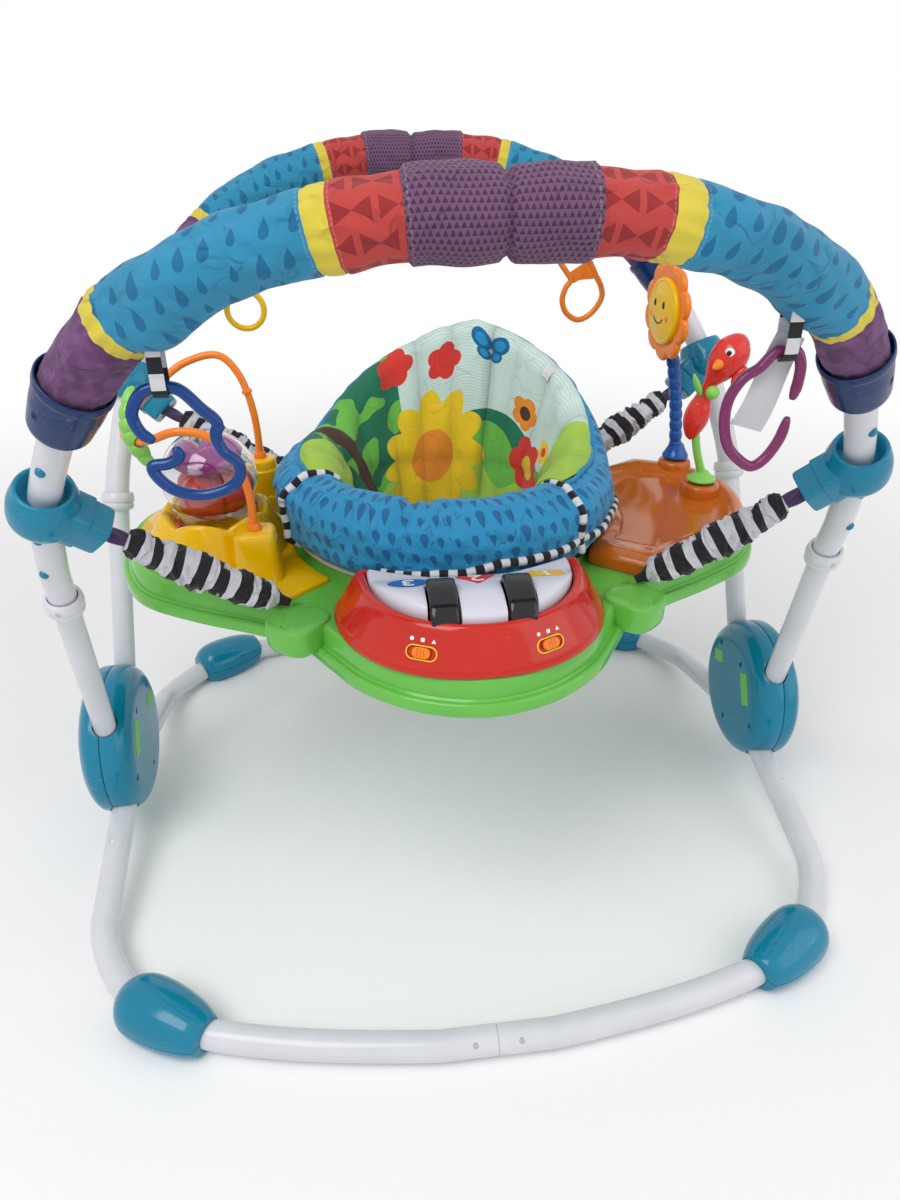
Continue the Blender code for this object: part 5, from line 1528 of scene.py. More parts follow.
def add_keys(white):
    profiles = ((0.001, -0.01), (0.001, -0.0046), (0.0015, -0.0028), (0.0028, -0.0013), (0.0048, -0.0004))
    rings = [[Vector((0.0, KEY_MIDDLE, 0.4448))]]
    rings.append(piano_ring(0.103, -0.302, 0.2165, 0.4448))
    for inset, drop in profiles:
        ring = piano_ring(0.104 - inset, -0.303 + inset, 0.2155 + inset, 0.0)
        rings.append([Vector((p.x, p.y, key_top(p.y) + drop)) for p in ring])
    edge = rings[-1]
    for share in (0.93, 0.85, 0.75, 0.64, 0.52, 0.4, 0.28, 0.16, 0.06):
        ring = [(p.x * share, KEY_MIDDLE + (p.y - KEY_MIDDLE) * share) for p in edge]
        rings.append([Vector((x, y, key_top(y))) for x, y in ring])
    rings.append([Vector((0.0, KEY_MIDDLE, key_top(KEY_MIDDLE)))])
    whole = lofted("key_cap", rings)
    for side in (-1, 1):
        gap = [(side * 0.0208, -0.4), (side * 0.0512, -0.4), (side * 0.0512, -0.2488), (side * 0.0208, -0.2488)]
        carved(whole, slab("bar_gap", gap, 0.43, 0.5))
    for name, cuts in (("left", ((-0.0368, 1),)), ("middle", ((-0.0352, -1), (0.0352, 1))),
            ("right", ((0.0368, -1),))):
        key = twin(whole, f"key_cap_{name}")
        for x, way in cuts:
            cut_flat(key, (x, 0.0, 0.0), (way, 0.0, 0.0))
        tidy_skin(key)
        if key.dimensions.x < 0.05:
            raise RuntimeError(f"{name} key is missing")
        softened(key, 0.0009, 2, 60)
        dressed(key, f"piano_key_{name}", "key_white", white, f"piano_key_{name}", angle=30)
    bpy.data.objects.remove(whole)
    ellipse = [(0.0195 * cos(i * pi / 24), 0.0138 * sin(i * pi / 24)) for i in range(48)]
    triangle = rounded([(-0.021, 0.013), (0.0, -0.0165), (0.021, 0.013)], 0.005, 4, True)
    square = rounded([(-0.017, -0.0118), (0.017, -0.0118), (0.017, 0.0118), (-0.017, 0.0118)], 0.004, 4, True)
    for number, outline, x, y, colour, name in (("3", ellipse, -0.065, -0.2385, "picture_blue", "left"),
            ("2", triangle, 0.001, -0.239, "picture_red", "middle"),
            ("1", square, 0.0705, -0.232, "picture_yellow", "right")):
        tilt = atan((key_top(y + 0.006) - key_top(y - 0.006)) / 0.012)
        place = Matrix.Translation((x, y, key_top(y) + 0.0003)) @ Matrix.Rotation(tilt, 4, "X")
        dressed(slab(f"key_picture_{name}", outline, -0.0002, 0.0003, place), f"piano_key_{name}", "key_white",
            plastic(colour, colour, 0.35, 0.2, 0.1))
        bpy.ops.object.text_add()
        text = bpy.context.object
        text.data.body = number
        text.data.size = 0.031
        text.data.align_x = "CENTER"
        text.data.align_y = "CENTER"
        text.data.extrude = 0.00025
        only(text)
        bpy.ops.object.convert(target="MESH")
        digit = named(f"key_number_{name}")
        lift = Matrix.Translation((0, 0.003 if number == "2" else 0, 0.0005))
        digit.data.transform(place @ lift @ Matrix.Rotation(pi, 4, "Z"))
        dressed(tidy_skin(digit), f"piano_key_{name}", "key_white",
            plastic("picture_white", "picture_white", 0.4, 0.1, 0.0))


class JUMPER_OT_piano(bpy.types.Operator):
    """Adds the toy piano: red housing, black bars, white keys with pictures, and two switches"""
    bl_idname = "jumper.piano"
    bl_label = "Toy piano"

    def execute(self, context):
        add_piano()
        return {"FINISHED"}


def wire_axes():
    outward = Vector((-0.885, 0.0, -0.466)).normalized()
    back = Vector((0.0, 0.989, 0.148))
    return outward, (back - outward * back.dot(outward)).normalized()


def inside_dome(item):
    """Presses a piece of the spinner into the room that the clear dome leaves it."""
    for vertex in item.data.vertices:
        out = vertex.co - GLOBE_CENTRE
        if out.length > 0.0498:
            vertex.co = GLOBE_CENTRE + out * 0.0498 / out.length
        vertex.co.z = max(vertex.co.z, 0.4575)
    return item


def add_popper():
    yellow = plastic("toy_yellow", "toy_yellow", 0.15, 0.15, 0.5)
    red = plastic("spinner_red", "toy_red", 0.15, 0.1, 0.5)
    purple = plastic("spinner_purple", "toy_purple", 0.15, 0.1, 0.5)
    orange = plastic("wire_orange", "wire_orange", 0.18, 0.1, 0.4)
    green = plastic("slider_green", "slider_green", 0.25, 0.1, 0.3)
    rings = []
    for height, inset in ((TRAY_TOP, 0.0), (0.414, 0.0), (0.4155, 0.0008), (PLATE_TOP, 0.003)):
        rings.append([Vector((p.x, p.y, height)) for p in lobe_outline(-1, 38, -41, 0.021, inset)])
    middle = Vector((-0.275, -0.01, 0.0))
    plate = lofted("popper_plate", [[middle + upwards(TRAY_TOP)]] + rings + [[middle + upwards(PLATE_TOP)]])
    dressed(plate, TRAY, "toy_yellow", yellow, "popper_base", angle=45)

    foot = Vector((GLOBE_CENTRE.x, GLOBE_CENTRE.y, 0.0))
    # A soft mound like an open flower: its six petals stand up round the dome in a wavy edge.
    line = smooth_path([(0.081, 0, 0.0), (0.0805, 0, 0.1), (0.0775, 0, 0.28), (0.0725, 0, 0.5),
        (0.0668, 0, 0.74), (0.0628, 0, 0.91), (0.059, 0, 1.0), (0.0545, 0, 0.975), (0.05, 0, 0.9),
        (0.0468, 0, 0.78)], 4)
    rings = []
    for p in line:
        ring = []
        for i in range(144):
            turn = tau * i / 144
            petal = abs(sin(3 * turn + 0.55)) ** 0.8
            rise = (0.0425 + 0.009 * petal) * p.z
            fold = 1 + 0.026 * (petal - 0.45) * sin(pi * min(1.0, p.z + 0.15)) + 0.006 * sin(18 * turn)
            reach = p.x * (1 + (fold - 1) * clamped((p.x - 0.05) / 0.01))
            ring.append(foot + Vector((reach * cos(turn), reach * sin(turn), 0.414 + rise)))
        rings.append(ring)
    low = [foot + Vector((0.0464 * cos(i * pi / 72), 0.0464 * sin(i * pi / 72), 0.449)) for i in range(144)]
    mound = lofted("popper_mound", [[foot + upwards(0.414)]] + rings + [low] + [[foot + upwards(0.449)]])
    dressed(mound, TRAY, "toy_yellow", yellow, angle=60)
    for name, top, low_power in (("front", POST_FRONT, 4.2), ("rear", POST_REAR, 2.0)):
        rise = top.z - 0.4135
        steps = ((0.026, 0.0), (0.0258, 0.04), (0.024, 0.1), (0.0222, 0.4), (0.0216, 0.72), (0.0212, 0.86),
            (0.02, 0.95), (0.018, 0.99), (0.015, 1.0))
        if name == "rear":
            steps = ((0.0258, 0.0), (0.0256, 0.3), (0.0244, 0.34), (0.0226, 0.36), (0.0216, 0.62),
                (0.0212, 0.8), (0.019, 0.83), (0.0186, 0.95), (0.017, 0.99), (0.0145, 1.0))
        rings = []
        for radius, share in steps:
            ring = []
            for i in range(64):
                x, y = superellipse(tau * i / 64, radius * (1.06 if name == "front" else 1), radius, radius,
                    low_power)
                ring.append(Vector((top.x + x, top.y + y, 0.4135 + rise * share)))
            rings.append(ring)
        low = Vector((top.x, top.y, 0.4135))
        post = lofted(f"wire_post_{name}", [[low]] + rings + [[Vector((top.x, top.y, top.z))]])
        dressed(softened(post, 0.0006, 2, 30), TRAY, "toy_yellow", yellow, angle=45)
        sleeve = turned(f"wire_collar_{name}",
            [(0.0, 0.0), (0.0078, 0.0), (0.0078, 0.0035), (0.0064, 0.006), (0.0058, 0.0075), (0.0, 0.008)],
            Matrix.Translation(top), 32)
        dressed(sleeve, TRAY, "toy_orange", orange, angle=50)
    tongue_line = smooth_path([(-0.338, -0.052, 0.418), (-0.33, -0.048, 0.433), (-0.318, -0.042, 0.446),
        (-0.306, -0.036, 0.454)], 6)
    rings = []
    for i, p in enumerate(tongue_line):
        share = i / (len(tongue_line) - 1)
        wide = 0.0125 * (1 - 0.35 * share) * (0.75 if i == 0 else 1)
        ring = []
        for j in range(24):
            x, z = superellipse(tau * j / 24, wide, 0.0026, 0.0026, 2.6)
            ring.append(p + Vector((0.42, -0.91, 0)) * x + Vector((-0.75, -0.35, 0.55)) * z)
        rings.append(ring)
    tongue = lofted("popper_tongue", [[tongue_line[0]]] + rings + [[tongue_line[-1]]])
    dressed(tongue, TRAY, "spinner_red", red, angle=60)

    dome = [(0.045, 0.4553), (0.0452, 0.458), (0.0475, 0.464)]
    for i in range(23):
        turn = radians(-40 + 130 * i / 22)
        dome.append((max(0.0, 0.053 * cos(turn)) if i < 22 else 0.0, 0.5 + 0.053 * sin(turn)))
    dome = [p for p in dome[:3]] + [p for p in dome[3:] if p[1] > 0.4675]
    inner = [(max(0.0, r - 0.0018) if r else 0.0, z - (0.0018 if z > 0.52 else 0.0)) for r, z in dome]
    place = Matrix.Translation(foot)
    globe = turned("popper_dome", dome + inner[::-1] + [dome[0]], place, 64)
    dressed(globe, TRAY, "globe_clear", clear_plastic(), "popper_globe", angle=60)
    spindle = turned("spinner_spindle",
        [(0.0, 0.456), (0.0158, 0.456), (0.015, 0.4585), (0.0085, 0.468), (0.0068, 0.476), (0.0062, 0.529),
        (0.004, 0.5322), (0.0, 0.533)], place, 36)
    dressed(spindle, "popper_spinner", "spinner_red", red, "popper_spinner", angle=50)
    for i in range(3):
        turn = tau * i / 3 - 1.9
        out = Vector((cos(turn), sin(turn), 0.0))
        lobe = ball(f"spinner_lobe_{i}", (0.029, 0.0265, 0.029),
            axes(foot + out * 0.024 + upwards(0.482), upwards(1) + out * 0.2, out), 0.15)
        dressed(inside_dome(lobe), "popper_spinner", "spinner_red", red, angle=80)
        turn += 0.75
        out = Vector((cos(turn), sin(turn), 0.0))
        petal = ball(f"spinner_petal_{i}", (0.0135, 0.024, 0.026),
            axes(foot + out * 0.02 + upwards(0.523), out + upwards(0.55), (0, 0, 1)), -0.25)
        dressed(inside_dome(petal), "popper_spinner", "spinner_red", purple, angle=80)

    outward, back = wire_axes()
    bends = [POST_FRONT, POST_FRONT + Vector((-0.001, 0, 0.042)), Vector((-0.23, -0.102, 0.55)),
        Vector((-0.255, -0.0975, 0.5735))]
    for degrees in range(-75, 76, 15):
        turn = radians(degrees)
        bends.append(WIRE_CENTRE + WIRE_ARC * (outward * cos(turn) + back * sin(turn)))
    bends += [Vector(p) for p in ((-0.26, 0.0935, 0.608), (-0.24, 0.0905, 0.5905), (-0.2288, 0.088, 0.563),
        (-0.2226, 0.0855, 0.525))] + [POST_REAR]
    route = even_path(smooth_path(bends, 8), 150)[0]
    for _ in range(6):
        route = [route[0]] + [(a + b * 2 + c) / 4 for a, b, c in zip(route, route[1:], route[2:])] + [route[-1]]
    dressed(swept("bead_wire", route, 0.0044, None, 18), TRAY, "toy_orange", orange, "wire_loop", angle=60)
    ring = turned("wire_stop", rounded([(0.004, -0.002), (0.0062, -0.002), (0.0062, 0.002), (0.004, 0.002),
        (0.004, -0.002)], 0.0006, 2), axes(route[128], route[129] - route[127]), 28)
    dressed(ring, TRAY, "toy_orange", orange)

    turn = radians(-40)
    point = WIRE_CENTRE + WIRE_ARC * (outward * cos(turn) + back * sin(turn))
    along = (back * cos(turn) - outward * sin(turn)).normalized()
    inward = (WIRE_CENTRE - point).normalized()
    up = (upwards(1) - along * along.z).normalized()
    inward = up.cross(along) if up.cross(along).dot(inward) > 0 else along.cross(up)
    rings = []
    rows = 78
    for i in range(rows + 1):
        share = i / rows
        height = -0.031 + 0.086 * share
        depth = 0.013 * ((height - 0.012) / 0.043) ** 2 - 0.001
        rib = 0.84 + 0.16 * abs(sin(pi * 6 * share)) ** 0.7
        radius = 0.0113 * rib * max(0.05, sin(pi * (0.03 + 0.94 * share))) ** 0.42
        centre = point + up * height + inward * depth
        rings.append([centre + along * radius * 0.92 * cos(a) + inward * radius * sin(a)
            for a in (tau * j / 30 for j in range(30))])
    ends = [[point + up * h + inward * (0.013 * ((h - 0.012) / 0.043) ** 2 - 0.001)] for h in (-0.0315, 0.0555)]
    slider = lofted("bead_crescent", [ends[0]] + rings + [ends[1]])
    lead = [point + along * (0.018 * s) + inward * (0.018 ** 2 * abs(s) / 0.196) for s in (-1, 0, 1)]
    carved(slider, swept("bead_bore", lead, 0.006, None, 20))
    dressed(slider, "loop_slider", "slider_green", green, "loop_slider", angle=50)


class JUMPER_OT_popper(bpy.types.Operator):
    """Adds the left station: plate, mound, posts, clear dome with its spinner, and the wire"""
    bl_idname = "jumper.popper"
    bl_label = "Popper station"

    def execute(self, context):
        add_popper()
        return {"FINISHED"}


def add_dish():
    orange = plastic("dish_orange", "dish_orange", 0.12, 0.1, 0.6)
    centre = Vector((0.272, -0.012, 0.0))
    outer = lobe_outline(1, 29, -39, 0.014)
    rings = []
    for share, height in ((0.985, TRAY_TOP), (1.0, 0.412), (1.0, 0.421), (0.99, 0.4262), (0.962, 0.43),
            (0.925, 0.4318), (0.885, 0.432), (0.84, 0.4312), (0.785, 0.4286), (0.735, 0.4256), (0.69, 0.4238),
            (0.63, 0.4232), (0.4, 0.423)):
        rings.append([centre.lerp(p, share) + upwards(height) for p in outer])
    low = centre + upwards(TRAY_TOP)
    high = centre + upwards(0.423)
    dish = lofted("dish_shell", [[low]] + rings + [[high]])
    dressed(dish, TRAY, "dish_orange", orange, "activity_dish", angle=60)
    for name, base, radius in (("bird", BIRD_BASE, 0.0245), ("sun", SUN_BASE, 0.0225)):
        top = base.z - 0.0003
        line = rounded([(0.0, 0.4195), (radius, 0.4195), (radius, 0.43), (radius - 0.001, top - 0.003),
            (radius - 0.004, top), (0.0, top)], 0.003, 4)
        boss = turned(f"stalk_boss_{name}", line, Matrix.Translation((base.x, base.y, 0.0)), 48)
        dressed(boss, TRAY, "dish_orange", orange, angle=50)


class JUMPER_OT_dish(bpy.types.Operator):
    """Adds the right station: the translucent orange dish and the two bosses that hold the stalks"""
    bl_idname = "jumper.dish"
    bl_label = "Dish"

    def execute(self, context):
        add_dish()
        return {"FINISHED"}


def add_sun():
    blue = plastic("stalk_blue", "stalk_blue", 0.18, 0.1, 0.4)
    orange = plastic("petal_orange", "wire_orange", 0.18, 0.1, 0.4)
    yellow = plastic("face_yellow", "toy_yellow", 0.18, 0.1, 0.4)
    ink = plastic("face_ink", "bar_black", 0.3, 0.0, 0.1)
    cone = turned("sun_cone", [(0.0, 0.0), (0.0028, 0.0012), (0.004, 0.0032), (0.0172, 0.0032),
        (0.0175, 0.0044), (0.0168, 0.0065), (0.015, 0.0092), (0.0118, 0.015), (0.0098, 0.0205), (0.0, 0.021)],
        Matrix.Translation(SUN_BASE), 48)
    dressed(cone, "sun_toy", "link_blue", blue, "sun_toy", angle=45)
    way = SUN_HEAD - SUN_BASE
    points = []
    scales = []
    for i in range(109):
        t = 0.06 + 0.87 * i / 108
        points.append(SUN_BASE + way * t + Vector((0.006, 0.0, 0.0)) * sin(pi * t))
        scales.append(0.8 + 0.2 * abs(sin(pi * i / 9)) ** 0.55)
    dressed(swept("sun_stalk", points, 0.0086, scales, 20), "sun_toy", "link_blue", blue, angle=60)
    place = Matrix.Translation(SUN_HEAD) @ Matrix.Rotation(radians(185), 4, "Z") @ Matrix.Rotation(radians(90),
        4, "Y")
    rings = [[place @ upwards(-0.005)]]
    for radius, height in ((0.03, -0.0058), (0.046, -0.006), (0.0515, -0.0056), (0.055, -0.0042),
            (0.057, -0.0016), (0.0566, 0.0008), (0.0545, 0.0026), (0.051, 0.0036), (0.045, 0.003),
            (0.04, 0.0018)):
        ring = []
        for i in range(200):
            turn = tau * i / 200
            fade = max(0.0, min(1.0, (radius - 0.03) / 0.02))
            lobe = 1 + fade * (0.15 * abs(cos(5 * turn)) ** 0.62 - 0.075)
            ring.append(place @ Vector((radius * lobe * cos(turn), radius * lobe * sin(turn), height)))
        rings.append(ring)
    rings.append([place @ upwards(0.0015)])
    dressed(lofted("sun_petals", rings), "sun_toy", "toy_orange", orange, angle=60)
    disc = rounded([(0.0, 0.0005), (0.04, 0.0005), (0.0405, 0.004), (0.0398, 0.0062), (0.0365, 0.008),
        (0.035, 0.0072), (0.033, 0.008), (0.02, 0.0103), (0.0, 0.0112)], 0.0015, 3)
    dressed(turned("sun_face", disc, place, 72), "sun_toy", "toy_yellow", yellow, angle=40)
    # The face's own X points down and its Y to the side.
    for side, word in ((-1, "left"), (1, "right")):
        eye = Vector((-0.009, side * 0.012, 0.0103))
        dressed(ball(f"sun_eye_{word}", (0.0048, 0.003, 0.0014), place @ Matrix.Translation(eye)), "sun_toy",
            "link_blue", ink, angle=80)
        cheek = Vector((0.005, side * 0.021, 0.0097))
        dressed(ball(f"sun_cheek_{word}", (0.004, 0.004, 0.0012), place @ Matrix.Translation(cheek)), "sun_toy",
            "toy_orange", orange, angle=80)
    smile = []
    for i in range(25):
        turn = radians(-58 + 116 * i / 24)
        radius = 0.015
        flat = Vector((radius * cos(turn) - 0.001, radius * sin(turn), 0.0))
        smile.append(place @ Vector((flat.x, flat.y, 0.0112 - 0.0031 * (flat.length / 0.033) ** 1.4)))
    dressed(swept("sun_smile", smile, 0.0011, [0.4] + [1.0] * 23 + [0.4], 12), "sun_toy", "link_blue", ink,
        angle=80)


class JUMPER_OT_sun(bpy.types.Operator):
    """Adds the sun on its ribbed blue stalk, with a plain smile of its own design"""
    bl_idname = "jumper.sun"
    bl_label = "Sun toy"

    def execute(self, context):
        add_sun()
        return {"FINISHED"}


def add_bird():
    red = plastic("bird_red", "toy_red", 0.18, 0.1, 0.4)
    green = plastic("slider_green", "slider_green", 0.25, 0.1, 0.3)
    orange = plastic("wire_orange", "wire_orange", 0.18, 0.1, 0.4)
    white = plastic("picture_white", "picture_white", 0.4, 0.1, 0.0)
    ink = plastic("face_ink", "bar_black", 0.3, 0.0, 0.1)
    base = turned("bird_cone", [(0.0, 0.0), (0.0028, 0.0012), (0.004, 0.0032), (0.0182, 0.0032),
        (0.0185, 0.0042), (0.018, 0.0056), (0.013, 0.0086), (0.0082, 0.0135), (0.0, 0.014)],
        Matrix.Translation(BIRD_BASE), 48)
    dressed(base, "bird_toy", "slider_green", green, "bird_toy", angle=45)
    body = Vector((0.315, 0.036, 0.519))
    neck = Vector((0.3241, 0.033, 0.561))
    head = Vector((0.344, 0.03, 0.598))
    stalk = smooth_path([BIRD_BASE + upwards(0.009), BIRD_BASE.lerp(body, 0.5) + Vector((-0.002, 0, 0.003)),
        body], 12)
    scales = [1.15 - 0.15 * min(1.0, i / 6) for i in range(len(stalk))]
    dressed(swept("bird_stalk", stalk, 0.005, scales, 18), "bird_toy", "slider_green", green, angle=60)
    spine = smooth_path([body - Vector((0.004, 0, 0.024)), body, neck, head,
        head + (head - neck).normalized() * 0.03], 12)
    spine, _ = even_path(spine, 90)
    swell = smooth_path([(0.0, 0, 0.0004), (0.03, 0, 0.0062), (0.09, 0, 0.011), (0.18, 0, 0.015),
        (0.28, 0, 0.0146), (0.37, 0, 0.0108), (0.45, 0, 0.0078), (0.53, 0, 0.0084), (0.61, 0, 0.0142),
        (0.7, 0, 0.02), (0.79, 0, 0.0222), (0.88, 0, 0.0196), (0.95, 0, 0.013), (0.985, 0, 0.0072),
        (1.0, 0, 0.0004)], 12)
    rings = []
    for i, point in enumerate(spine):
        share = i / 89
        radius = min(swell, key=lambda p: abs(p.x - share)).z
        along = (spine[min(89, i + 1)] - spine[max(0, i - 1)]).normalized()
        side = Vector((0, 1, 0))
        side = (side - along * side.dot(along)).normalized()
        front = side.cross(along)
        rings.append([point + side * radius * 0.94 * cos(a) + front * radius * sin(a)
            for a in (tau * j / 40 for j in range(40))])
    bird = lofted("bird_body", [[spine[0]]] + rings + [[spine[-1]]])
    dressed(bird, "bird_toy", "spinner_red", red, angle=80)
    wing = ball("bird_wing", (0.005, 0.0075, 0.0155),
        axes(neck + Vector((-0.015, -0.004, 0.005)), (-0.45, 0, 1)), 0.35)
    dressed(wing, "bird_toy", "slider_green", green, angle=80)
    wing = ball("bird_wing_red", (0.0085, 0.006, 0.014),
        axes(head + Vector((0.01, -0.015, -0.02)), (0.45, -0.1, 1)), 0.2)
    dressed(wing, "bird_toy", "spinner_red", red, angle=80)
    dressed(ball("bird_ball", (0.0085, 0.0085, 0.0085),
        Matrix.Translation(neck + Vector((0.001, -0.014, -0.002))), 0.05), "bird_toy", "slider_green", green,
        angle=80)
    beak = turned("bird_beak", [(0.0, 0.0), (0.0062, 0.0), (0.0058, 0.004), (0.0038, 0.0095), (0.0016, 0.013),
        (0.0, 0.0138)], axes(head + Vector((-0.015, -0.011, -0.004)), (-0.8, -0.52, -0.3)), 32)
    dressed(beak, "bird_toy", "toy_orange", orange, angle=50)
    for side in (-1, 1):
        look = Vector((-0.5, -0.84, 0.2) if side < 0 else (-0.72, 0.66, 0.2)).normalized()
        eye = head + Vector((0.002, 0.0, 0.005)) + look * 0.0185
        dressed(turned(f"bird_eye_{'lr'[side > 0]}",
            [(0.0, -0.004), (0.0066, -0.004), (0.0064, 0.0008), (0.004, 0.0024), (0.0, 0.003)],
            axes(eye, look), 32), "bird_toy", "key_white", white, angle=60)
        dressed(turned(f"bird_pupil_{'lr'[side > 0]}",
            [(0.0, 0.0015), (0.0032, 0.0015), (0.0029, 0.003), (0.0, 0.0038)], axes(eye, look), 24),
            "bird_toy", "key_white", ink, angle=60)


class JUMPER_OT_bird(bpy.types.Operator):
    """Adds the red bird on its green stalk"""
    bl_idname = "jumper.bird"
    bl_label = "Bird toy"

    def execute(self, context):
        add_bird()
        return {"FINISHED"}


# The seat


def seat_sizes(angle):
    """How raised the cushion is at an angle from its back, and its two rolls as (radius, height, half)."""
    raised = max(0.0, 1 - (abs(angle) / radians(78)) ** 1.3)
    low = 0.035 - 0.004 * raised
    top = 0.0308 - 0.019 * min(1.0, 2.2 * raised)
    return (raised, (0.163, 0.4303 + low, low),
        (0.163 + 0.012 * min(1.0, 2.0 * raised), 0.5138 + 0.104 * raised - top, top))


def bumps(value, places, width):
    return sum(depth * exp(-((value - place) / width) ** 2) for place, depth in places)


def seat_section(angle):
    """The cushion's section at an angle: a full roll in front, and a tall thin back."""
    raised, (low_radius, low_z, low), (top_radius, top_z, top) = seat_sizes(angle)
    turned_away = angle * (180 / pi) % 360
    pinch = bumps(turned_away, ((152, 0.4), (180, 1.0), (186, 0.4), (212, 0.35), (241, 0.3)), 2.6)
    points = []
    for i in range(9):
        turn = pi + pi * i / 8
        points.append((low_radius + low * cos(turn), low_z + low * sin(turn)))
    middle = (low_z + top_z) / 2
    swell = 0.5 * (low + top) + 0.001
    points.append(((low_radius + top_radius) / 2 + swell, middle))
    for i in range(9):
        turn = pi * i / 8
        points.append((top_radius + top * cos(turn), top_z + top * sin(turn)))
    points.append(((low_radius + top_radius) / 2 - swell, middle))
    line = smooth_path([(r, 0.0, z) for r, z in points], 5, True)
    steps = even_path(line + [line[0]], 65)[0][:-1]
    full = clamped((abs(angle) - radians(85)) / radians(30))
    middle = Vector((0.163, 0.0, 0.474))
    for j, point in enumerate(steps):
        if point.x > 0.165:
            point.x += 0.0085 * full * exp(-((point.z - 0.488) / 0.017) ** 2)
            point.x += 0.007 * min(1.0, abs(angle)) * exp(-((point.z - 0.443) / 0.011) ** 2)
        if not raised:
            out = (point - middle).normalized()
            wave = sin(31 * angle + 0.5 * j) * sin(13 * angle - 0.8 * j) * sin(0.35 * j + 4 * angle)
            slant = max(0.0, sin(11 * angle + 0.21 * j + 1.5 * sin(3 * angle))) ** 10
            counter = max(0.0, sin(7 * angle - 0.26 * j + 2.0)) ** 14
            top_side = max(0.0, out.z + 0.4)
            point += out * (0.002 * wave - 0.0022 * slant - 0.0016 * counter
                - 0.0078 * pinch * min(1.0, top_side))
    return steps


@once
def seat_cloth():
    """The roll's cover: blue with drops of mixed sizes."""
    material, board, shader = cloth_base("seat_cloth")
    u, v, _ = board.uv()
    round_way = u * 1.22
    across = v * 0.27
    drops = board.effect(raindrops(), Vector=board.vector(u * 74.0, v * 12.0), Width=0.45)
    colour = board.mix(drops["Mask"], tone("seat_blue"), tone("seat_drop"))
    place = board.here()
    crease = board.effect(wrinkles(), Vector=board.vector(round_way, across), Stretch=1.3)
    threads = board.vector(round_way * 1100.0, across * 1100.0)
    height = board.noise(place, 35.0, 3.0, 0.5).scaled(0.6, crease["Height"])
    cloth_surface(board, shader, colour, threads, height, 1.3, 0.62)
    return material


BACK_LEFT = 133.0
BACK_RIGHT = -120.0


# Seams and deep folds of the lining: angle, depth in metres and width in degrees. The depth also sets the
# painted shade along each one in the back's print.
BACK_FOLDS = ((-66, 0.007, 3.5), (-40, 0.0055, 4), (-22, 0.0025, 3), (-9, 0.009, 3), (10, 0.0045, 4),
    (27, 0.006, 3.5), (44, 0.0065, 4), (66, 0.004, 4), (90, 0.007, 3.5), (112, 0.004, 4), (-95, 0.0045, 4))


@once
def back_cloth():
    """The printed back: a mint sky of fine wavy lines, hills, leaves, plain flowers and lime corners, with
    painted shade along the seams and folds.
    """
    material, board, shader = cloth_base("back_cloth")
    u, v, _ = board.uv()
    turn = u.scaled(BACK_RIGHT - BACK_LEFT, BACK_LEFT)
    x = turn * -0.0026
    y = v * 0.25
    wave = board.math("SINE", y.scaled(1750.0, board.math("SINE", x * 190.0) * 1.2))
    colour = board.mix(wave > 0.35, tone("print_mint"), tone("print_mint_line"))
    hill = board.math("SINE", x * 31.0).scaled(0.012, 0.137)
    colour = board.mix(y < hill, colour, tone("print_leaf"))
    hill = board.math("SINE", x * 44.0).scaled(0.014, 0.118)
    colour = board.mix(y < hill, colour, tone("print_hill"))
    low = board.math("COSINE", x * 52.0).scaled(0.016, 0.07)
    colour = board.mix(y < low, colour, tone("print_lime"))
    leaves = board.noise(board.vector(x, y, 0.3), 21.0, 1.0)
    crown = (x < -0.098) * (y > 0.075)
    colour = board.mix(crown, colour, tone("print_hill"))
    colour = board.mix(crown * (leaves > 0.45), colour, tone("print_leaf"))
    trunk = abs(x + y.scaled(0.35, 0.153)) < 0.0145
    colour = board.mix(trunk, colour, tone("print_bark"))
    for turn_at, up, size, petals, count, heart in ((22, 0.088, 0.086, "print_yellow", 6.0, "print_orange"),
            (38, 0.222, 0.024, "print_red", 2.5, "print_red"),
            (14, 0.203, 0.023, "print_red", 2.5, "print_red"),
            (-45, 0.105, 0.04, "print_red", 3.0, "print_yellow"),
            (-33, 0.165, 0.022, "print_orange", 2.5, "print_bark"),
            (-58, 0.15, 0.017, "print_yellow", 2.5, "print_red")):
        dx = x + turn_at * 0.0026
        dy = y - up
        reach = board.math("SQRT", dx * dx + dy * dy)
        way = board.math("ARCTAN2", dy, dx)
        lobe = abs(board.math("COSINE", way * count)).scaled(size * 0.24, size * 0.76)
        colour = board.mix(reach < lobe, colour, tone(petals))
        colour = board.mix(reach < size * 0.4, colour, tone(heart))
    # A plain butterfly: two large wings and two small ones
    for side, up, wide, high in ((-1, 0.006, 0.0125, 0.011), (1, 0.006, 0.0125, 0.011),
            (-1, -0.009, 0.0085, 0.007), (1, -0.009, 0.0085, 0.007)):
        dx = (x + (-0.023 - side * wide * 0.95)) / wide
        dy = (dx.scaled(-0.35 * side * high, y) - (0.218 + up)) / high
        reach = dx * dx + dy * dy
        colour = board.mix(reach < 1.0, colour, tone("seat_drop"))
        colour = board.mix(reach < 0.35, colour, tone("seat_blue"))
    corner_cloth = board.math("MAXIMUM", y.scaled(-120.0, turn) > 78.0, y.scaled(60.0, turn) < -55.0)
    colour = board.mix(corner_cloth, colour, tone("print_lime"))
    # Painted shade along the lining's seams and deep folds: a narrow dark line at each one and a wider soft
    # shade round it.
    for place, depth, _ in BACK_FOLDS:
        off = abs(turn - place)
        near = board.math("MAXIMUM", board.remap(off, 0.2, 1.0, depth * 45, 0.0),
            board.remap(off, 0.5, 5.0, depth * 24, 0.0))
        colour = board.mix(near, colour, (0.02, 0.05, 0.04))
    place = board.here()
    crease = board.effect(wrinkles(), Vector=place, Stretch=1.0)
    threads = board.vector(x * 1100.0, y * 1100.0)
    cloth_surface(board, shader, colour, threads, crease["Height"], 0.5)
    return material


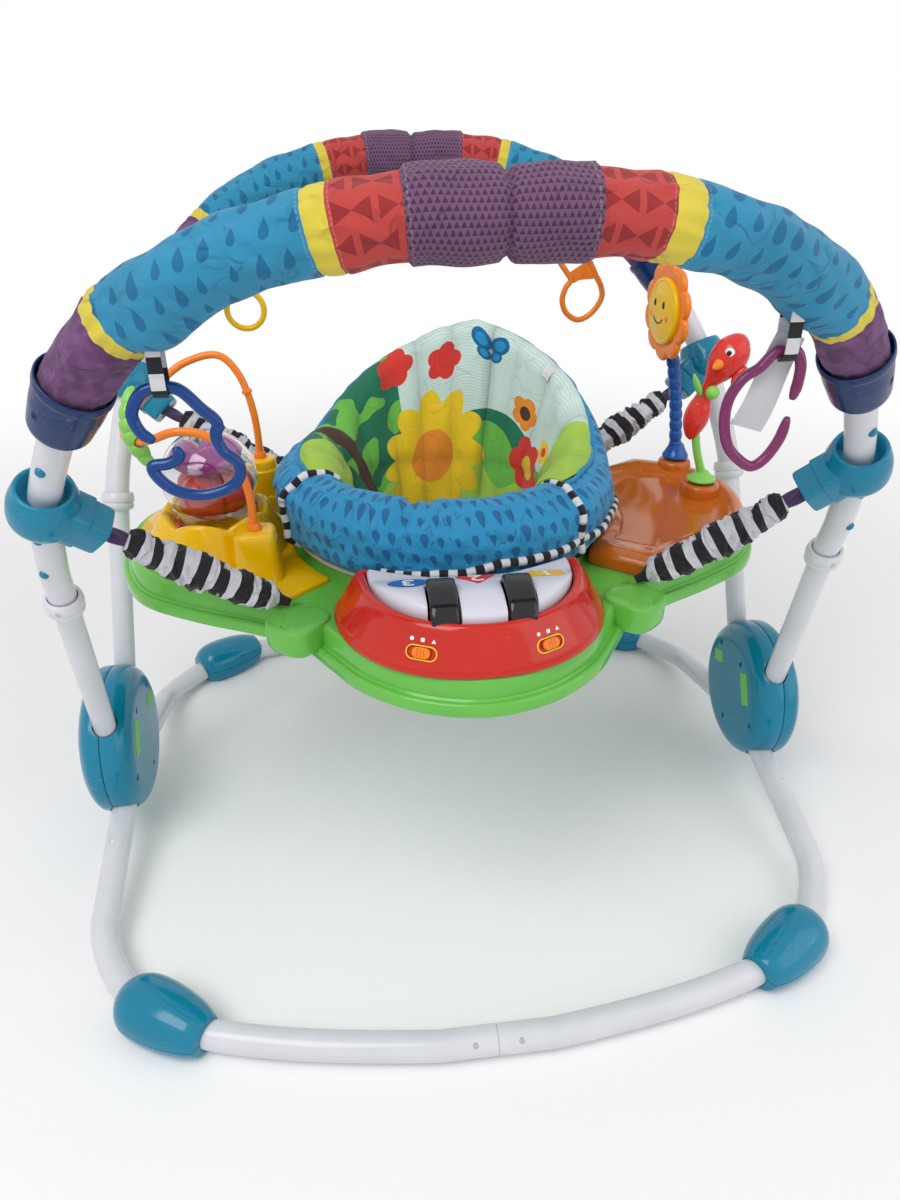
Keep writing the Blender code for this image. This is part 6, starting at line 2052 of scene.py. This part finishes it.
@once
def plain_cloth(name, colour, stretch=1.0):
    """Plain woven cloth of one colour, on the piece's object coordinates."""
    material, board, shader = cloth_base(name)
    place = board.here()
    cloud = board.noise(place, 22.0, 3.0)
    shade = board.mix(board.remap(cloud, 0.35, 0.7, 0.0, 0.22), tone(colour), (0.0, 0.0, 0.0))
    x, y, z = board.split(place)
    threads = board.vector((x + y) * 1000.0, z * 1000.0)
    crease = board.effect(wrinkles(), Vector=place, Stretch=stretch)
    cloth_surface(board, shader, shade, threads, crease["Height"], 0.5)
    return material


@once
def block_cloth(blocks):
    """Piping in black and white blocks. Its UV runs round it and along it."""
    material, board, shader = cloth_base(f"block_cloth_{blocks}", 0.2)
    u, v, _ = board.uv()
    block = board.math("FRACT", v * blocks) > 0.5
    colour = board.mix(block, tone("check_dark"), tone("check_light"))
    crease = board.effect(wrinkles(), Vector=board.here(), Stretch=1.0)
    cloth_surface(board, shader, colour, board.vector(u * 24.0, v * (60.0 * blocks)), crease["Height"], 0.3)
    return material


def seat_point(angle, share, lift=0.0):
    """A point over the cushion's skin: angle from the middle of the back, share round its section."""
    angle = (angle + pi) % tau - pi
    section = seat_section(angle)
    count = len(section)
    place = share % 1.0 * count
    low = section[int(place) % count]
    high = section[(int(place) + 1) % count]
    point = low.lerp(high, place - int(place))
    along = (high - low).normalized()
    point += Vector((along.z, 0.0, -along.x)) * lift
    turn = SEAT_BACK + angle
    return Vector((point.x * cos(turn), point.x * sin(turn), point.z))


def rim_share(angle):
    """Where round the section the rim of the back runs."""
    angle = (angle + pi) % tau - pi
    _, _, (top_radius, top_z, top) = seat_sizes(angle)
    goal = Vector((top_radius + top * cos(radians(78)), 0.0, top_z + top * sin(radians(78))))
    section = seat_section(angle)
    near = min(range(len(section)), key=lambda j: (section[j] - goal).length)
    return near / len(section)


def back_line(degrees, count):
    """The lining of the back at an angle, from its hem behind the front roll up to the rim, with its folds."""
    raised, (low_radius, low_z, low), (top_radius, top_z, top) = seat_sizes(radians(degrees))
    drop = clamped((112 - abs(degrees)) / 50)
    drop = drop * drop * (3 - 2 * drop)
    inner = low_radius - low
    points = [(inner - 0.018 * drop - 0.003, 0.441 - 0.069 * drop),
        (inner - 0.012 * drop - 0.003, 0.446 - 0.043 * drop), (inner - 0.003, low_z - 0.01 * drop - 0.002),
        (inner - 0.002, low_z + 0.006)]
    if raised > 0.12:
        points.append(((low_radius + top_radius - low - top) / 2 - 0.002, (low_z + top_z) / 2))
    for turn in (180, 155, 130, 105, 82):
        turn = radians(turn)
        points.append((top_radius + (top + 0.002) * cos(turn), top_z + (top + 0.002) * sin(turn)))
    line = even_path(smooth_path([(r, 0.0, z) for r, z in points], 8), count)[0]
    ends = min(1.0, (BACK_LEFT - degrees) / 9, (degrees - BACK_RIGHT) / 9)
    puff = 0.0095 - sum(depth * exp(-abs(degrees - place) / width) for place, depth, width in BACK_FOLDS)
    folded = []
    for j, point in enumerate(line):
        share = j / (count - 1)
        before = line[max(0, j - 1)]
        along = (line[min(count - 1, j + 1)] - before).normalized()
        inwards = Vector((-along.z, 0.0, along.x))
        near_rim = min(1.0, (1 - share) / 0.1) ** 0.5
        wave = 0.0026 * sin(radians(degrees) * 9 + 5 * share) * sin(7 * share + radians(degrees) * 5)
        pleat = abs(sin(radians(degrees) * 21.5 + 2 * share)) ** 0.6 - 0.6
        gather = 0.004 * pleat * exp(-(1 - share) / 0.18)
        swell = (puff + wave) * min(1.0, 0.3 + 3 * share) + gather
        folded.append(point + inwards * (swell * near_rim * ends + 0.0006))
    return folded


def puffed(item, pressure, cap, frames=20):
    """Cloth simulation: the skin swells under pressure, and no point moves further than cap(its place)."""
    rest = [v.co.copy() for v in item.data.vertices]
    only(item)
    step = item.modifiers.new("cloth", "CLOTH")
    step.settings.quality = 5
    step.settings.mass = 0.25
    step.settings.tension_stiffness = 18.0
    step.settings.compression_stiffness = 18.0
    step.settings.shear_stiffness = 6.0
    step.settings.bending_stiffness = 0.6
    step.settings.use_pressure = True
    step.settings.uniform_pressure_force = pressure
    step.settings.effector_weights.gravity = 0.0
    step.point_cache.frame_start = 1
    step.point_cache.frame_end = frames
    for number in range(1, frames + 1):
        bpy.context.scene.frame_set(number)
    bpy.ops.object.modifier_apply(modifier=step.name)
    bpy.context.scene.frame_set(1)
    for vertex, start in zip(item.data.vertices, rest):
        move = vertex.co - start
        most = cap(start)
        if move.length > most:
            vertex.co = start + move.normalized() * most
    return item


def add_seat(context):
    cloth = context.scene.jumper_cloth
    grey = plastic("ring_grey", "ring_grey", 0.35, 0.2, 0.1)
    line = rounded([(0.15, 0.395), (0.158, 0.395), (0.16, 0.4262), (0.1838, 0.4262), (0.1838, 0.4275),
        (0.1824, 0.4297), (0.15, 0.4297)], 0.0012, 3, True)
    ring = turned("seat_ring_shell", line + [line[0]], Matrix(), 120)
    dressed(ring, "seat", "ring_grey", grey, "seat_ring")

    columns = 200
    sections = [[seat_point(tau * i / columns - pi, j / 64) for i in range(columns)] for j in range(64)]
    cushion = lofted("seat_cover", sections + [sections[0]])

    def room(spot):
        """Round the back, where the lining lies on it, the cushion may hardly swell."""
        angle = abs((atan2(spot.y, spot.x) - SEAT_BACK + pi) % tau - pi)
        return cloth.roll_swell if angle > radians(136) else 0.0006

    puffed(cushion, cloth.roll_pressure, room)
    modified(cushion, "SUBSURF", levels=1, render_levels=1)
    for vertex in cushion.data.vertices:
        vertex.co.z = max(vertex.co.z, 0.4302)
    dressed(cushion, "seat", "seat_cloth", seat_cloth(), "seat_pad", angle=80)

    rows = 44
    columns = 180
    lines = []
    for i in range(columns + 1):
        degrees = BACK_LEFT + (BACK_RIGHT - BACK_LEFT) * i / columns
        turn = SEAT_BACK + radians(degrees)
        lines.append([Vector((p.x * cos(turn), p.x * sin(turn), p.z)) for p in back_line(degrees, rows)])
    panel = lofted("seat_back_lining", [[line[j] for line in lines] for j in range(rows)], around=False)
    modified(panel, "SOLIDIFY", thickness=0.002, offset=0.0)
    dressed(panel, "seat", "seat_cloth", back_cloth(), angle=80)

    def pipe(name, places, radius, finish):
        steps, length = even_path(
            smooth_path([seat_point(radians(a), share, lift) for a, share, lift in places], 3), 150)
        rings = tube_rings(steps, lambda share, turn: radius, 14)
        piping = lofted(f"seat_piping_{name}", [[steps[0]]] + rings + [[steps[-1]]])
        dressed(piping, "seat", "seat_cloth", finish or block_cloth(round(length / 0.018) * 1.0), angle=80)

    binding = plain_cloth("binding_blue", "seat_blue")
    edge = []
    for i in range(61):
        degrees = BACK_LEFT + (BACK_RIGHT - BACK_LEFT) * i / 60
        edge.append((degrees, rim_share(radians(degrees)), 0.001))
    pipe("rim", edge, 0.003, binding)
    lower = []
    for degrees in range(-84, -189, -6):
        share = 0.42 - 0.05 * max(0.0, -degrees - 148) / 40
        lift = 0.001 + 0.0016 * clamped((-degrees - 128) / 12)
        lower.append((degrees, share, lift))
    pipe("lower", lower, 0.0046, None)
    for word, degrees in (("right", BACK_RIGHT), ("left", BACK_LEFT)):
        pipe(word, [(degrees + 1.5 * sin(9 * t), t, 0.0006)
            for t in (0.215 + 0.62 * i / 20 for i in range(21))], 0.0048, None)
    # A small bare tag sewn into the rim
    tag_lines = [back_line(-37.5 - 1.1 * i, rows)[-5:] for i in range(5)]
    tag = []
    for j in range(5):
        row = []
        for i, line in enumerate(tag_lines):
            turn = SEAT_BACK + radians(-37.5 - 1.1 * i)
            reach = line[j].x - 0.0016 - 0.0006 * (4 - j)
            row.append(Vector((reach * cos(turn), reach * sin(turn), line[j].z)))
        tag.append(row)
    tag = modified(lofted("seat_tag", tag, around=False), "SOLIDIFY", thickness=0.0008, offset=0.0)
    dressed(tag, "seat", "seat_cloth", plain_cloth("tag_white", "check_light"), angle=60)

    rings = []
    for radius, height in ((0.03, 0.2552), (0.06, 0.262), (0.09, 0.274), (0.113, 0.295), (0.129, 0.32),
            (0.14, 0.352), (0.147, 0.385), (0.1486, 0.4), (0.1486, 0.4245)):
        ring = []
        for i in range(120):
            turn = tau * i / 120
            fold = 1 - 0.014 * cos(8 * turn) * (0.27 < height < 0.39) - 0.006 * cos(23 * turn) * (height < 0.39)
            ring.append(Vector((radius * fold * cos(turn), radius * fold * sin(turn), height)))
        rings.append(ring)
    sling = lofted("sling_cloth_seat", [[upwards(0.2552)]] + rings)
    modified(sling, "SUBSURF", levels=1, render_levels=1)
    modified(sling, "SOLIDIFY", thickness=0.0022, offset=-1.0)
    front = SEAT_BACK - pi
    for turn in (-0.62, 0.62):
        way = Vector((cos(front + turn), sin(front + turn), -0.3)).normalized()
        carved(sling, turned("leg_hole", [(0.0, 0.03), (0.05, 0.03), (0.05, 0.18), (0.0, 0.18)],
            axes((0.0, 0.0, 0.343), way), 48))
    dressed(sling, "seat", "sling_cloth", plain_cloth("sling_blue", "sling_blue"), "seat_sling", angle=60)


class JUMPER_OT_seat(bpy.types.Operator):
    """Adds the turning ring, the padded seat cover with its piping and back panel, and the cloth sling"""
    bl_idname = "jumper.seat"
    bl_label = "Seat"

    def execute(self, context):
        add_seat(context)
        return {"FINISHED"}


# The hanging toys


def hung_path(bar, outline):
    return [bar + Vector((x / 1000, 0.0, z / 1000)) for x, z in outline]


def add_hanging_toys():
    blue = [(-11, -40), (-20, -33), (-24, -19), (-17, -5.5), (-6.5, 0), (6.5, 0), (15, -4), (26, -16.5),
        (36, -27.5), (34, -38.5), (38, -50), (47, -59), (48, -70), (39, -80), (19, -85), (0, -81), (-12, -71),
        (-16, -60), (-4, -58), (4.5, -53), (3, -45)]
    purple = [(12.3, -38), (14.5, -24.6), (14, -10), (8.5, 0), (0, 0), (-8.5, 0), (-19, -11.7), (-31, -19.4),
        (-40, -35), (-41, -54), (-35, -74), (-23, -87), (-11.7, -92.6), (-1.3, -86), (7.8, -70), (11.7, -52)]
    for name, bar, outline, radius, slot, colour in (("blue_link", BLUE_BAR, blue, 0.0047, "link_blue",
            "link_blue"), ("purple_link", PURPLE_BAR, purple, 0.0044, "link_purple", "link_purple")):
        path = smooth_path(hung_path(bar, outline), 8)
        count = len(path)
        scales = [min(1.0, 0.45 + 0.55 * (min(i, count - 1 - i) / 5) ** 0.5) for i in range(count)]
        link = swept(f"{name}_moulding", path, radius, scales, 20)
        dressed(link, name, slot, plastic(f"{name}_plastic", colour, 0.14, 0.15, 0.5), name, angle=70)
    circle = []
    for i in range(96):
        turn = tau * i / 96
        circle.append((25.5 * cos(turn), 25.5 * sin(turn) - 24.9))
    ring = swept("yellow_ring_moulding", hung_path(YELLOW_BAR, circle), 0.0041, None, 18, True)
    dressed(ring, "yellow_ring", "toy_yellow", plastic("ring_yellow", "toy_yellow", 0.16, 0.15, 0.4),
        "yellow_ring", angle=70)
    key = [(-7, 0), (7, 0), (18, -1), (24, -9), (34, -27), (42, -41), (45, -56), (38, -71), (26, -83),
        (13, -88), (2, -85), (-9, -75), (-14, -59), (-10, -43), (-3, -32), (-9, -22), (-20, -7), (-18, -1)]
    orange = plastic("ring_orange", "wire_orange", 0.16, 0.15, 0.4)
    ring = swept("orange_ring_moulding", smooth_path(hung_path(ORANGE_BAR, key), 6, True), 0.0041, None, 18,
        True)
    web = rounded([(-0.005, -0.021), (0.021, -0.006), (0.032, -0.031), (0.01, -0.032), (0.0, -0.037)], 0.003, 3,
        True)
    plate = slab("orange_web", web, -0.0017, 0.0017, axes(ORANGE_BAR, (0, -1, 0), (1, 0, 0)), 0.0006)
    dressed(ring, "orange_ring", "toy_orange", orange, "orange_ring", angle=70)
    dressed(plate, "orange_ring", "toy_orange", orange)


class JUMPER_OT_hanging_toys(bpy.types.Operator):
    """Adds the two open links in front and the two rings at the back"""
    bl_idname = "jumper.hanging_toys"
    bl_label = "Hanging toys"

    def execute(self, context):
        add_hanging_toys()
        return {"FINISHED"}


# The sidebar


def tint(label, text, code):
    return bpy.props.FloatVectorProperty(name=label, description=text, default=linear(code), size=3, min=0.0,
        max=1.0, subtype="COLOR")


def size(label, text, default):
    return bpy.props.FloatProperty(name=label, description=text, default=default, min=0.0, precision=4,
        unit="LENGTH")


class JumperStage(bpy.types.PropertyGroup):
    floor_size: bpy.props.FloatProperty(name="Floor size", description="Side of the square floor", default=16.0,
        min=2.0, unit="LENGTH")
    floor_colour: tint("Floor", "Colour of the floor paper", "F7F7F7")
    room_light: bpy.props.FloatProperty(name="Room light", description="Strength of the even light all round",
        default=0.6, min=0.0)
    key_light: bpy.props.FloatProperty(name="Key light",
        description="Power of the large lamp above the left front", default=40.0, min=0.0, unit="POWER")
    fill_light: bpy.props.FloatProperty(name="Fill light",
        description="Power of the large lamp at the right front", default=14.0, min=0.0, unit="POWER")
    camera_place: bpy.props.FloatVectorProperty(name="Camera place", description="Where the camera stands",
        default=(-0.112, -0.969, 0.863), size=3, subtype="TRANSLATION")
    camera_yaw: bpy.props.FloatProperty(name="Camera yaw", description="How far the camera looks to the right",
        default=radians(6.82), subtype="ANGLE")
    camera_pitch: bpy.props.FloatProperty(name="Camera pitch", description="How far the camera looks down",
        default=radians(29.63), subtype="ANGLE")
    camera_roll: bpy.props.FloatProperty(name="Camera roll", description="How far the camera leans",
        default=radians(-0.4), subtype="ANGLE")
    camera_lens: bpy.props.FloatProperty(name="Lens", description="Focal length on a 36 mm frame",
        default=26.22, min=5.0, unit="CAMERA")


class JumperFrame(bpy.types.PropertyGroup):
    teal: tint("Teal plastic", "Hubs, feet and spring housings", "047E9F")
    navy: tint("Dark blue plastic", "Cups at the ends of the arch pads", "0A2C62")
    white_tube: tint("Tube", "Painted steel tube", "D8D9E0")
    base_tube: size("Base tube radius", "Radius of the tube on the floor", 0.0155)
    arch_tube: size("Arch tube radius", "Radius of the tubes of the arches", 0.0145)
    label_green: tint("Label", "Bare labels on the hubs", "6FC45A")


class JumperTray(bpy.types.PropertyGroup):
    tray_green: tint("Tray", "Tray and pods", "68BC4A")
    # The strap slot colour is the painted shadow inside the slots.
    tray_shadow: tint("Strap slot", "Inside of the strap slots", "12200E")
    piano_red: tint("Piano", "Piano housing", "C62518")
    bar_black: tint("Piano bars", "Black bars between the keys", "1B1B1F")
    key_white: tint("Keys", "Piano keys", "DADAE6")
    switch_orange: tint("Switches", "Sliding switches", "F5821E")
    switch_yellow: tint("Switch frames", "Thin frames round the switches", "F7D21E")
    dish_orange: tint("Dish", "Dish of the right station", "C26418")


class JumperToys(bpy.types.PropertyGroup):
    toy_yellow: tint("Yellow", "Left station, sun's face, rear ring", "F0BC00")
    toy_red: tint("Red", "Spinner lobes and bird", "D8342A")
    toy_purple: tint("Purple", "Spinner petals", "A0288A")
    wire_orange: tint("Orange", "Bead wire, sun's petals, rear ring", "F58220")
    slider_green: tint("Green", "Crescent bead and bird's stalk", "86CC5A")
    stalk_blue: tint("Stalk", "Sun's ribbed stalk", "1E55A5")
    link_blue: tint("Blue link", "Open link on the left", "003C82")
    link_purple: tint("Purple link", "Open link on the right", "7B2A5E")
    picture_blue: tint("Blue picture", "Ellipse on the left key", "2A6FC0")
    picture_red: tint("Red picture", "Triangle on the middle key", "D8352A")
    picture_yellow: tint("Yellow picture", "Square on the right key", "F2C21E")
    picture_white: tint("Number", "Numbers on the keys", "F4F4F4")


class JumperCloth(bpy.types.PropertyGroup):
    pad_radius: size("Pad radius", "Radius of the arch pads between their seams", 0.027)
    roll_swell: size("Roll swell", "How far the seat roll may swell as it is blown up", 0.006)
    roll_pressure: bpy.props.FloatProperty(name="Roll pressure",
        description="How hard the seat roll is blown up", default=4.0, min=0.0)
    pad_blue: tint("Pad blue", "Blue lengths of the arch pads", "2E8DB4")
    pad_drop: tint("Pad drops", "Drops on the blue lengths", "166C98")
    pad_red: tint("Pad red", "Red lengths of the arch pads", "C04440")
    pad_red_dark: tint("Pad bow ties", "Bow ties on the red lengths", "982A2C")
    pad_yellow: tint("Pad yellow", "Narrow bands of the arch pads", "DECB48")
    pad_end: tint("Pad end", "Ends of the arch pads", "5E3663")
    pad_end_light: tint("Pad end mottling", "Lighter mottling on the ends", "7A4E80")
    pad_wrap: tint("Wrap", "Wrap in the middle of the arch pads", "74506F")
    pad_wrap_dark: tint("Wrap pattern", "Small triangles on the wrap", "432A49")
    zebra_light: tint("Sleeve", "Pale ground of the sleeves", "D2D3DA")
    zebra_dark: tint("Sleeve bands", "Dark bands of the sleeves", "1C1B20")
    webbing_black: tint("Webbing edge", "Edges of the hanging loops", "1A1A1E")
    webbing_white: tint("Webbing middle", "Middle of the hanging loops", "D8D8DC")
    webbing_purple: tint("Strap", "Straps at the housings' noses", "4A3560")
    seat_blue: tint("Seat blue", "Ground of the seat roll", "2593C6")
    seat_drop: tint("Seat drops", "Drops on the seat roll", "0C679B")
    check_dark: tint("Check dark", "Dark squares", "1C1C21")
    check_light: tint("Check light", "Light squares", "E8E8EA")
    print_mint: tint("Sky", "Sky on the back panel", "D6E8E0")
    print_mint_line: tint("Sky lines", "Wavy lines on the back panel", "BFDDD4")
    print_hill: tint("Hills", "Hills on the back panel", "6DBB4C")
    print_lime: tint("Lower corners", "Lower corners of the back panel", "A9CF4F")
    print_leaf: tint("Leaves", "Leaves and far hill of the back panel", "1F7355")
    print_bark: tint("Bark", "Tree of the back panel", "4A3328")
    print_orange: tint("Print orange", "Hearts of the flowers", "EE8F2A")
    print_yellow: tint("Print yellow", "Flowers of the back panel", "F2CB22")
    print_red: tint("Print red", "Flowers of the back panel", "DB3A30")
    sling_blue: tint("Sling", "Cloth seat under the ring", "2E6FA8")
    ring_grey: tint("Ring", "Turning ring of the seat", "C9CCD2")


SETTINGS = {"jumper_stage": JumperStage, "jumper_frame": JumperFrame, "jumper_tray": JumperTray,
    "jumper_toys": JumperToys, "jumper_cloth": JumperCloth}
STEPS = [JUMPER_OT_stage, JUMPER_OT_base_loop, JUMPER_OT_feet, JUMPER_OT_uprights, JUMPER_OT_hubs,
    JUMPER_OT_housings, JUMPER_OT_cups, JUMPER_OT_arch_pads, JUMPER_OT_sleeves, JUMPER_OT_tray,
    JUMPER_OT_piano, JUMPER_OT_popper, JUMPER_OT_dish, JUMPER_OT_sun, JUMPER_OT_bird, JUMPER_OT_seat,
    JUMPER_OT_hanging_toys]


class JUMPER_PT_sidebar(bpy.types.Panel):
    """The steps in their order, and the sizes and colours that they read"""
    bl_idname = "JUMPER_PT_sidebar"
    bl_label = "Activity jumper"
    bl_space_type = "VIEW_3D"
    bl_region_type = "UI"
    bl_category = "Jumper"

    def draw(self, context):
        for step in STEPS:
            self.layout.operator(step.bl_idname)
        for word, group in SETTINGS.items():
            box = self.layout.box()
            for name in group.__annotations__:
                box.prop(getattr(context.scene, word), name)


def register():
    for word, group in SETTINGS.items():
        bpy.utils.register_class(group)
        setattr(bpy.types.Scene, word, bpy.props.PointerProperty(type=group))
    for step in STEPS:
        bpy.utils.register_class(step)
    bpy.utils.register_class(JUMPER_PT_sidebar)


def unregister():
    bpy.utils.unregister_class(JUMPER_PT_sidebar)
    for step in reversed(STEPS):
        bpy.utils.unregister_class(step)
    for word, group in SETTINGS.items():
        delattr(bpy.types.Scene, word)
        bpy.utils.unregister_class(group)


def main():
    register()
    for step in STEPS:
        group, name = step.bl_idname.split(".")
        getattr(getattr(bpy.ops, group), name)()


if __name__ == "__main__":
    main()
